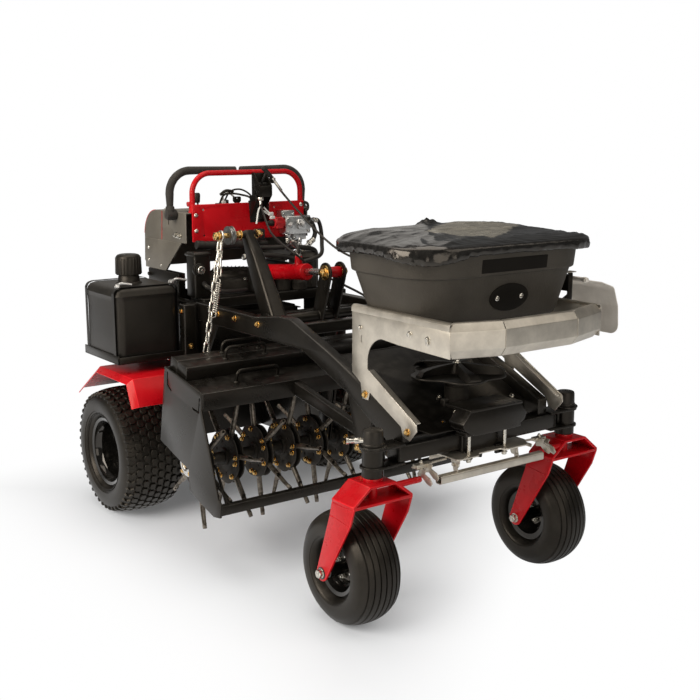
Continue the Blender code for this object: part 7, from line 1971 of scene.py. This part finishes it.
# %% Bin
HOPPER_Y = -0.04


def round_ring(half_x, half_y, corner, z, corner_steps=16, side_steps=1):
    """Drawing points of a rounded rectangle about the hopper's middle."""
    turns = [(1, -1, -90), (1, 1, 0), (-1, 1, 90), (-1, -1, 180)]
    corners = [arc((sx * (half_x - corner), HOPPER_Y + sy * (half_y - corner)), corner, first, first + 90,
        corner_steps) for sx, sy, first in turns]
    ring = []
    for number, points in enumerate(corners):
        ring += [(x, y, z) for x, y in points]
        here, there = Vector(points[-1]), Vector(corners[(number + 1) % 4][0])
        ring += [(*here.lerp(there, step / side_steps), z) for step in range(1, side_steps)]
    return ring


def lofted(bm, rings, closed=False):
    """Skin a list of rings; the first and last are closed unless they meet."""
    rows = [[bm.verts.new(at(*point)) for point in ring] for ring in rings]
    pairs = list(zip(rows, rows[1:])) + ([(rows[-1], rows[0])] if closed else [])
    for lower, upper in pairs:
        for i in range(len(lower)):
            j = (i + 1) % len(lower)
            bm.faces.new((lower[i], lower[j], upper[j], upper[i]))
    if not closed:
        bm.faces.new(list(reversed(rows[0])))
        bm.faces.new(rows[-1])
    return rows


bm = fresh()
levels = mm((45, 45, 45, 872), (45, 45, 45, 898), (60, 60, 55, 902.5), (120, 110, 70, 915), (262, 172, 102, 943.5),
    (276, 181.5, 109, 947.5), (285, 187, 114, 954.5), (290, 190.5, 116.5, 964), (336.5, 207.2, 129.5, 1088.5),
    (337.2, 207.8, 129.8, 1091.5), (339.5, 210, 131, 1093.5), (346, 216, 137, 1094.8), (348.8, 218.2, 139, 1096.5),
    (350, 219.2, 140, 1100.5), (350.8, 220, 140.5, 1109), (357.6, 225.8, 145, 1172), (359, 227, 145.5, 1175.5),
    (364, 231, 147, 1177.3), (380, 240.5, 149.5, 1178), (381.8, 241.8, 150, 1179.6), (381.8, 241.8, 150, 1185.2),
    (380.2, 240.2, 149, 1186.8), (356, 224, 143, 1186.8), (353, 221, 141, 1184), (345.5, 214.5, 136, 1106),
    (333, 203, 126, 1090), (284, 185, 112, 966), (264, 173, 104, 951), (118, 108, 68, 921), (58, 58, 53, 908.5),
    (40, 40, 40, 902), (40, 40, 40, 876), (30, 30, 30, 875), (30, 30, 30, 872))
lofted(bm, [round_ring(*level) for level in levels], closed=True)
show_piece("moulded_bin", bm, CHARCOAL, "hopper", 40)

# %% Plates on the bin's front
SLOPE = math.atan2(0.0167, 0.1245)
LEDGE_SLOPE = math.atan2(0.0058, 0.063)


def on_front(x, up, out, z0, y0, slope):
    """A point on the bin's leaning front: up along it from (y0, z0), and out from it."""
    return (x, y0 - up * math.sin(slope) - out * math.cos(slope), z0 + up * math.cos(slope) - out * math.sin(slope))


bm = fresh()
step = Vector(on_front(0, 0, 0.0035, 1.022, 0, SLOPE)) - Vector(on_front(0, 0, -0.001, 1.022, 0, SLOPE))
face_y = HOPPER_Y - 0.1905 - (1.022 - 0.964) * math.tan(SLOPE)
oval = [on_front(0.004 + 0.08 * math.cos(a), 0.043 * math.sin(a), -0.001, 1.022, face_y, SLOPE)
    for a in (math.tau * k / 56 for k in range(56))]
grown(bm, oval, tuple(step), 0.0012)
patch_y = HOPPER_Y - 0.22 - (1.124 - 1.109) * math.tan(LEDGE_SLOPE)
patch = [on_front(x, up, -0.0006, 1.124, patch_y, LEDGE_SLOPE)
    for x, up in rounded(mm((-130, -20.5), (142, -20.5), (142, 20.5), (-130, 20.5)), 0.003)]
step = Vector(on_front(0, 0, 0.0009, 0, 0, LEDGE_SLOPE)) - Vector(on_front(0, 0, -0.0006, 0, 0, LEDGE_SLOPE))
grown(bm, patch, tuple(step), 0.0003, 1)
show_piece("blank_plates", bm, MATT_BLACK)
bm = fresh()
for x in (-0.047, 0.054):
    seat = on_front(x, 0, 0.003, 1.022, face_y, SLOPE)
    button_head(bm, seat, (0, -math.cos(SLOPE), -math.sin(SLOPE)), 0.0085)
show_piece("plate_screws", bm, ZINC)

# %% [markdown]
# ## Hopper cover
#
# The cover is a thin shiny film with an elastic in its hem. It is pulled over the rim, so it lies
# taut across the bin with a low crown, makes small slanting creases where it turns over the rim,
# and bunches in bright folds at the corners. The surface is one fine grid of rings. Creases are
# sharp ridges of noise that run from the rim inwards and fade out, and grow again towards the hem.
# A paler pane is painted into its middle, paler where the film faces up: partly the clear pane
# and partly a painted reflection of the lamps. The film is knotted at the back.

# %% Film finish
def film(name):
    stuff = Finish(name, Coat_Weight=0.15, Coat_Roughness=0.1, Specular_IOR_Level=0.5, Specular_Tint=WARM_LIGHT_TINT)
    crumple = stuff.noise(24.0, 5.0, 0.62)
    streak = stuff.noise(30.0, 4.0, 0.6, stuff.stretched(0.5, 2.2, 1.0))
    parts = stuff.node('ShaderNodeSeparateXYZ', None, {0: stuff.place}, out='X')
    across = Flow(stuff, parts.socket.node.outputs['X']) - 0.07
    back = Flow(stuff, parts.socket.node.outputs['Y']) + (AXLE_TO_MIDDLE + 0.01)
    turn = math.radians(35)
    u = across * math.cos(turn) + back * math.sin(turn)
    v = back * math.cos(turn) - across * math.sin(turn)
    u, v = u.maths('ABSOLUTE', u), v.maths('ABSOLUTE', v)
    ragged = (crumple - 0.5) * 0.05
    pane = ((1.0 - (u + ragged).step(0.196, 0.208)) * (1.0 - (v + ragged).step(0.104, 0.116))).held()
    tone = stuff.blend(streak.step(0.35, 0.75), rgb(0.0065, 0.0062, 0.0058), rgb(0.017, 0.0162, 0.0148))
    pane_and_painted_reflection = stuff.blend(streak.step(0.3, 0.8), rgb(0.15, 0.138, 0.112), rgb(0.34, 0.315, 0.262))
    # the pane is painted paler where the film faces up: partly the clear pane, partly a painted reflection of the
    # lamps
    tone = stuff.blend((pane * stuff.facing_up() * 0.92).held(), tone, pane_and_painted_reflection)
    rough = (0.17 + (crumple - 0.5) * 0.28 + pane * 0.06).held()
    return stuff.show(tone, rough, crumple * 0.75 + streak * 0.4, 0.0014, 0.9)


FILM = film("black_cover_film")


# %% Gathered film
def ridge(x, y, z=0.0):
    """Sharp crests of smooth noise: 1 on a crest, falling to 0 between."""
    return max(0.0, 1.0 - 2.6 * abs(noise.noise(Vector((x, y, z)))))


def nearness(point, spot, reach):
    away = (Vector(point[:2]) - Vector(spot)).length / reach
    return max(0.0, 1.0 - away * away) ** 2


COVER_HALF, COVER_CORNER = (0.392, 0.252), 0.156
COVER_TOP, NEAR_CORNER, KNOT = 1.1893, (-0.335, -0.245), (0.004, 0.15)
TOP_RINGS, SKIRT = 44, mm((2.8, -0.8), (5.5, -3), (7.2, -6.8), (7.8, -12), (7.4, -17.5), (6.2, -22.5), (4.2, -26.5),
    (0.8, -29.2), (-3.6, -30), (-7.5, -28.5), (-9, -25.5), (-8, -22.8))
bm = fresh()
edge_ring = round_ring(COVER_HALF[0] - 0.008, COVER_HALF[1] - 0.008, COVER_CORNER - 0.008, 0.0, 30, 46)
run = [0.0]
for here, there in zip(edge_ring, edge_ring[1:] + edge_ring[:1]):
    run.append(run[-1] + (Vector(there) - Vector(here)).length)
outward = []
for i in range(len(edge_ring)):
    ahead = Vector(edge_ring[(i + 1) % len(edge_ring)]) - Vector(edge_ring[i - 1])
    outward.append(Vector((ahead.y, -ahead.x)).normalized())
rows = []
for ring in range(1, TOP_RINGS + 1):
    share = (ring / TOP_RINGS) ** 0.8
    row = []
    for i, (ex, ey, _) in enumerate(edge_ring):
        x, y = ex * share, HOPPER_Y + (ey - HOPPER_Y) * share
        rear = min(1.0, max(0.0, (y + 0.16) / 0.3))
        z = COVER_TOP + (0.014 + 0.02 * rear * rear * (3 - 2 * rear)) * (1 - share ** 4.5)
        inwards = (1 - share) * 0.33
        at_rim = math.exp(-inwards / 0.05)
        corner = nearness((ex, ey), (math.copysign(0.33, ex), HOPPER_Y + math.copysign(0.2, ey - HOPPER_Y)), 0.16)
        z += 0.0075 * at_rim * (ridge(run[i] * 19 + inwards * 26, share * 3.0) - 0.35) * (0.45 + corner) * min(1,
            inwards / 0.01)
        z += 0.0066 * (1 - at_rim) * (ridge(x * 4.5 + y * 2.0, y * 7.5 - x * 3.0, 3.1) - 0.3) * (0.35 + 0.65
            * share) * (1 - share ** 8)
        z += 0.0016 * (ridge(x * 17 - y * 9, y * 22 + x * 6, 7.7) - 0.3) * (1 - share ** 8)
        z += 0.019 * nearness((x, y), KNOT, 0.055) * (0.75 + 0.5 * ridge(x * 60, y * 60, 1.3))
        row.append(bm.verts.new(at(x, y, z)))
    rows.append(row)
for out, down in SKIRT:
    row = []
    depth = min(1.0, -down / 0.026)
    for i, (ex, ey, _) in enumerate(edge_ring):
        near = nearness((ex, ey), NEAR_CORNER, 0.2)
        corner = nearness((ex, ey), (math.copysign(0.33, ex), HOPPER_Y + math.copysign(0.2, ey - HOPPER_Y)), 0.17)
        slant = run[i] + depth * 0.02
        fold = ridge(slant * 30, depth * 0.8, 2.0) * 0.6 + ridge(slant * 78, depth * 1.6, 5.0) * 0.4 - 0.3
        swell = 0.0058 + 0.0042 * corner + 0.005 * near
        push = out + depth * swell * fold + 0.003 * depth * near
        drop = down * (1 + 0.32 * corner + 0.45 * near + 0.22 * noise.noise(Vector((run[i] * 6.0, 0.4, 1.0))))
        drop += 0.0035 * depth * noise.noise(Vector((run[i] * 42.0, 8.0, depth)))
        x, y = ex + outward[i].x * push, ey + outward[i].y * push
        row.append(bm.verts.new(at(x, y, COVER_TOP + drop)))
    rows.append(row)
middle_vert = bm.verts.new(sum((vert.co for vert in rows[0]), Vector()) / len(rows[0]))
around = len(edge_ring)
for i in range(around):
    bm.faces.new((middle_vert, rows[0][i], rows[0][(i + 1) % around]))
for lower, upper in zip(rows, rows[1:]):
    for i in range(around):
        j = (i + 1) % around
        bm.faces.new((lower[i], upper[i], upper[j], lower[j]))
bm.normal_update()
print("the film's area is", round(sum(face.calc_area() for face in bm.faces), 4), "square metres")
bmesh.ops.solidify(bm, geom=list(bm.faces), thickness=0.0006)
cover = show_piece("gathered_film", bm, FILM, "hopper_cover", 75, body="cover")

# %% [markdown]
# ## Spreader frame
#
# Two side arms of stainless sheet carry the hopper, and a guard of three folded facets closes the
# front. Each facet has its long edges bent inwards, and a narrow gap is left where two of them
# meet. The sheet is brushed one way, so its highlight is long and soft.

# %% Folded facets and side arms
def folded(line, thickness, bend=0.004):
    """The closed outline of a sheet that is bent along an open line of (out, up) points."""
    path = [Vector((p[1], p[2])) for p in bent_path([(0.0, out, up) for out, up in line], bend, 4)]
    near, far = [], []
    for i, point in enumerate(path):
        ahead = (path[min(i + 1, len(path) - 1)] - path[max(i - 1, 0)]).normalized()
        across = Vector((ahead.y, -ahead.x)) * thickness
        near.append(point)
        far.append(point - across)
    return near + far[::-1]


def facet(bm, start, end, line, thickness=0.003, gap=0.0016, mitre=(0.0, 0.0), bend=0.004):
    """A folded sheet from start to end, seen in plan, mitred by these angles at its ends."""
    start, end = Vector(start), Vector(end)
    way = (end - start).normalized()
    out = Vector((way.y, -way.x))
    rows = []
    for spot, sign, angle in ((start, 1, mitre[0]), (end, -1, mitre[1])):
        rows.append([bm.verts.new(at(*(spot + out * o + way * sign * (gap - o * math.tan(angle))), up))
            for o, up in folded(line, thickness, bend)])
    for i in range(len(rows[0])):
        j = (i + 1) % len(rows[0])
        bm.faces.new((rows[0][i], rows[0][j], rows[1][j], rows[1][i]))
    bm.faces.new(rows[0])
    bm.faces.new(rows[1])
    eased(bm, rows[0] + rows[1], 0.0006, 1, 50)


ARM_OUT = 0.3145
bm = fresh()
arm_view = mm((128, 972.5), (-333, 972.5), (-333, 882), (-100, 888))
arm_view += list(reversed(arc((-0.035, 0.81), 0.085, 0, 80, 16)))
arm_view += mm((50, 790), (-190, 661), (-192, 640), (-160, 604), (-128, 612), (-118, 640), (36, 716), (44, 690),
    (74, 690), (84, 740), (128, 766))
slot = mm((79, 868), (83, 868), (83, 891), (79, 891))
lip = mm((-16, 980), (0, 980), (0, 960))
band = mm((-26, 980.5), (-14, 980), (0, 958.5), (0, 906.5), (-19, 881.5), (-26, 879.5))
front_y, side_y = -0.385, -0.333
bevel = math.atan2(side_y - front_y, ARM_OUT - 0.15)
for side in (-1, 1):
    side_plate(bm, arm_view, sided(side, ARM_OUT - 0.004, ARM_OUT), 0.0009, holes=[slot])
    ends = [(side * (ARM_OUT - 0.0001), 0.128), (side * (ARM_OUT - 0.0001), side_y)]
    facet(bm, *(ends if side < 0 else ends[::-1]), [(o, u + 0.0012) for o, u in lip], bend=0.0085, gap=0.0)
    foot = [(side * (ARM_OUT - 0.004), 0.046, 0.7855), (side * (ARM_OUT - 0.004), -0.184, 0.662)]
    strip = [foot[0], foot[1], (foot[1][0] - side * 0.02, *foot[1][1:]), (foot[0][0] - side * 0.02, *foot[0][1:])]
    grown(bm, strip if side < 0 else strip[::-1], (0, 0.0016, -0.003), 0.0008)
left_end, left_knee = (-ARM_OUT, side_y), (-0.15, front_y)
right_end, right_knee = (ARM_OUT, side_y), (0.15, front_y)
facet(bm, left_end, left_knee, band, mitre=((math.pi / 2 - bevel) / 2, bevel / 2))
facet(bm, left_knee, right_knee, band, mitre=(bevel / 2, bevel / 2))
facet(bm, right_knee, right_end, band, mitre=(bevel / 2, (math.pi / 2 - bevel) / 2))
for x, y in (left_end, left_knee, right_knee, right_end):
    inset = Vector((x, y)) * (1 - 0.0022 / Vector((x, y)).length)
    rod(bm, (inset.x, inset.y, 0.905), (inset.x, inset.y, 0.96), 0.003, 16, ease=0.0006)
show_piece("folded_stainless_frame", bm, STAINLESS, "spreader_frame", 32)

# %% Straps, seats and gate linkage under the hopper
bm = fresh()
for y in (-0.255, 0.07):
    block(bm, (-0.3104, 0.3104), (y, y + 0.03), (0.892, 0.8975), 0.001)
    for side in (-1, 1):
        block(bm, sided(side, 0.3104, 0.3064), (y, y + 0.03), (0.892, 0.935), 0.001)
for side in (-1, 1):
    block(bm, sided(side, 0.105, 0.119), (-0.24, 0.09), (0.8975, 0.9115), 0.002)
level_plate(bm, mm((-255, -235), (-235, -250), (-60, -45), (-72, -20)), (0.8775, 0.8815), 0.001)
level_plate(bm, mm((60, -150), (105, -205), (122, -195), (82, -130)), (0.8775, 0.8815), 0.001)
rod(bm, (-0.238, -0.24, 0.8775), (-0.238, -0.24, 0.893), 0.009, 20, ease=0.001)
rod(bm, (0.11, -0.195, 0.8775), (0.11, -0.235, 0.893), 0.008, 20, ease=0.001)
show_piece("seat_straps", bm, BLACK, smooth=32)
bm = fresh()
tube(bm, bent_path(mm((-246, -225, 872), (-236, -262, 866), (-150, -310, 872), (-118, -260, 884)), 0.014, 6), 0.0024)
rod(bm, (0.098, -0.205, 0.882), (0.098, -0.205, 0.87), 0.006, 16, ease=0.0005)
show_piece("bent_wires", bm, ZINC, smooth=40)
bm = fresh()
turned(bm, mm((0, 0.2), (0, 15), (2, 17.2), (20, 18), (24, 16.5), (24.5, 9), (25, 0.2)), (0.098, -0.205, 0.87),
    (0, 0, -1), 32)
show_piece("round_white_stop", bm, WHITE_PLASTIC)
bm = fresh()
for side in (-1, 1):
    for y, z in ((-0.157, 0.929), (-0.239, 0.925)):
        fasten(bm, (side * ARM_OUT, y, z), (side, 0, 0), 0.0125, 0.01)
    for y in (-0.24, 0.085):
        fasten(bm, (side * ARM_OUT, y, 0.9145), (side, 0, 0), 0.0105, 0.0085)
for x, y in ((-0.205, -0.205), (0.098, -0.176)):
    fasten(bm, (x, y, 0.8775), (0, 0, -1), 0.012)
show_piece("arm_bolts", bm, ZINC)
bm = fresh()
for side in (-1, 1):
    for y, z in ((0.059, 0.706), (-0.15, 0.629)):
        fasten(bm, (side * ARM_OUT, y, z), (side, 0, 0), 0.0145, 0.0125)
show_piece("arm_foot_bolts", bm, GOLD_ZINC)

# %% Side deflector and its bracket
bm = fresh()
level_z = 1.04
block(bm, (0.3147, 0.3205), (-0.2, -0.05), (0.91, 0.975), 0.0015)
web = rounded(mm((316, 915), (316, 972), (353, 990), (353, 1060), (373, 1060), (373, 935)), 0.004)
for y in (-0.16, -0.074):
    cross_plate(bm, web, (y, y + 0.006), 0.001)
cross_plate(bm, mm((353, 1000), (356, 1000), (356, 1056), (353, 1056)), (-0.155, -0.07), 0.0008)
show_piece("deflector_hanger", bm, BLACK, "deflector_bracket", 32)
bm = fresh()
facet(bm, (0.344, -0.16), (0.389, -0.16), mm((0, 1060.5), (0, 1063.5), (-28, 1063.5)), 0.0022, 0.0, bend=0.002)
show_piece("deflector_tab", bm, STAINLESS, smooth=32)
bm = fresh()
for y, z in ((-0.175, 0.944), (-0.075, 0.944)):
    fasten(bm, (0.3205, y, z), (1, 0, 0), 0.0115)
show_piece("hanger_bolts", bm, ZINC)

bm = fresh()
x0 = 0.3815
profile = bent_path([(x0 - 0.003, 0, 1.0385), (x0 + 0.07, 0, 1.0262), (x0 + 0.132, 0, 1.005), (x0 + 0.156, 0, 0.94),
    (x0 + 0.1635, 0, 0.843)], 0.022, 8)
spans = [0.0]
for here, there in zip(profile, profile[1:]):
    spans.append(spans[-1] + (there - here).length)
fine = []
steps = 60
for k in range(steps + 1):
    want = spans[-1] * (k / steps) if k < 48 else spans[-1] * (0.8 + 0.2 * math.sin((k - 48) / 12 * math.pi / 2))
    i = max(n for n in range(len(spans)) if spans[n] <= want + 1e-9)
    i = min(i, len(profile) - 2)
    fine.append((want, profile[i].lerp(profile[i + 1], (want - spans[i]) / (spans[i + 1] - spans[i]))))
round_r, blade = 0.034, []
for want, point in fine:
    left_over = max(0.0, want - (spans[-1] - round_r))
    trim = round_r - math.sqrt(max(0.0, round_r ** 2 - left_over ** 2))
    low, high = -0.214 + trim, -0.013 - trim
    blade.append([bm.verts.new(at(point[0], low + (high - low) * n / 12, point[2])) for n in range(13)])
for lower, upper in zip(blade, blade[1:]):
    for n in range(12):
        bm.faces.new((lower[n], lower[n + 1], upper[n + 1], upper[n]))
bm.normal_update()
bmesh.ops.solidify(bm, geom=list(bm.faces), thickness=0.0028)
rod(bm, (x0, -0.215, level_z), (x0, -0.012, level_z), 0.0078, 24, ease=0.0012)
for y in (-0.203, -0.118, -0.026):
    rod(bm, (x0, y - 0.007, level_z), (x0, y + 0.007, level_z), 0.0092, 24, ease=0.001)
# the blade takes the paler stainless copy, whose brightness is painted light
show_piece("deflector_blade", bm, STAINLESS_PAINTED_LIGHTER, "deflector", 40, body="side_deflector")

# %% Spinner motor, spinner disc and rate gate
SPIN = (0.0, -0.016)
bm = fresh()
turned(bm, mm((595, 0.2), (595, 34), (598, 39), (612, 40), (614, 38.8), (617, 38.8), (619, 40), (706, 40),
    (708, 38.6), (711, 38.6), (713, 40), (726.5, 40), (729.5, 37.5), (730, 23), (736, 21.5), (737.2, 9.5),
    (737.2, 0.2)), (SPIN[0], SPIN[1], 0.0), Z_AXIS, 56)
block(bm, (-0.06, -0.036), (SPIN[1] - 0.01, SPIN[1] + 0.01), (0.64, 0.668), 0.003, 3)
for a in (0.8, 2.3, 3.9, 5.5):
    fasten(bm, (SPIN[0] + 0.031 * math.cos(a), SPIN[1] + 0.031 * math.sin(a), 0.729), (0, 0, 1), 0.007)
show_piece("ribbed_motor", bm, CAST, "spinner_motor", 32)

bm = fresh()
scallops = []
for k in range(120):
    a = math.tau * k / 120
    bay = 0.5 - 0.5 * math.cos(5 * (a - 0.35 - 0.1))
    scallops.append(Vector(SPIN) + Vector((math.cos(a), math.sin(a))) * (0.16 - 0.026 * bay ** 1.5))
level_plate(bm, [tuple(point) for point in scallops], (0.742, 0.7478), 0.0014)
turned(bm, mm((743, 8.5), (743, 44), (747, 40), (749, 29), (760, 21.5), (778, 18), (781, 16.5), (782, 14),
    (782, 8.5)), (SPIN[0], SPIN[1], 0.0), Z_AXIS, 64)
rod(bm, (SPIN[0], SPIN[1], 0.704), (SPIN[0], SPIN[1], 0.781), 0.008, 24)
for number in range(5):
    a0 = math.tau * number / 5 + 0.35
    rows = []
    for k in range(13):
        share = k / 12
        radius = 0.016 + (0.1535 - 0.016) * share
        a = a0 + 0.1 * share ** 2
        way, across = Vector((math.cos(a), math.sin(a))), Vector((-math.sin(a), math.cos(a)))
        height = 0.7475 + 0.034 - 0.014 * share ** 1.3 - (0.012 * max(0.0, share - 0.9) / 0.1)
        hook = 0.016 * max(0.0, share - 0.35) ** 1.6
        section = [(-0.0022, 0.747), (0.004, 0.747), (0.0052 + hook, height - 0.007),
            (0.012 + hook + 0.02 * share, height - 0.003), (0.012 + hook + 0.02 * share, height),
            (0.001 + hook, height)]
        rows.append([(*(Vector(SPIN) + way * radius + across * shift), z) for shift, z in section])
    lofted(bm, rows)
show_piece("finned_disc", bm, PLASTIC, "spinner", 32, body="spinner_disc")
bm = fresh()
fasten(bm, (SPIN[0], SPIN[1], 0.7815), (0, 0, 1), 0.016, 0.0135, 0.004)
show_piece("hub_nut", bm, ZINC, body="spinner_disc")

bm = fresh()
disc = [(0.078 * math.cos(a), HOPPER_Y + 0.078 * math.sin(a)) for a in (math.tau * k / 72 for k in range(72))]
level_plate(bm, disc, (0.8662, 0.8738), 0.0012, holes=[circle((0.0, HOPPER_Y), 0.0465, 56)])
level_plate(bm, rounded([(-0.15, HOPPER_Y - 0.014), (-0.06, HOPPER_Y - 0.022), (-0.06, HOPPER_Y + 0.022),
    (-0.15, HOPPER_Y + 0.014)], 0.008), (0.8664, 0.8736), 0.0012)
level_plate(bm, circle((0.0, HOPPER_Y), 0.05, 56), (0.8664, 0.8712), 0.0006,
    holes=[circle((0.0, HOPPER_Y), 0.028, 40)])
rod(bm, (-0.138, HOPPER_Y, 0.86), (-0.138, HOPPER_Y, 0.8735), 0.005, 16, ease=0.0008)
show_piece("round_gate", bm, PLASTIC, "gate_plate", body="rate_gate")

# %% [markdown]
# ## Pieces shown
#
# The number of pieces that are shown is printed.

# %% Pieces shown
print(len(SHOWN), "pieces are shown")
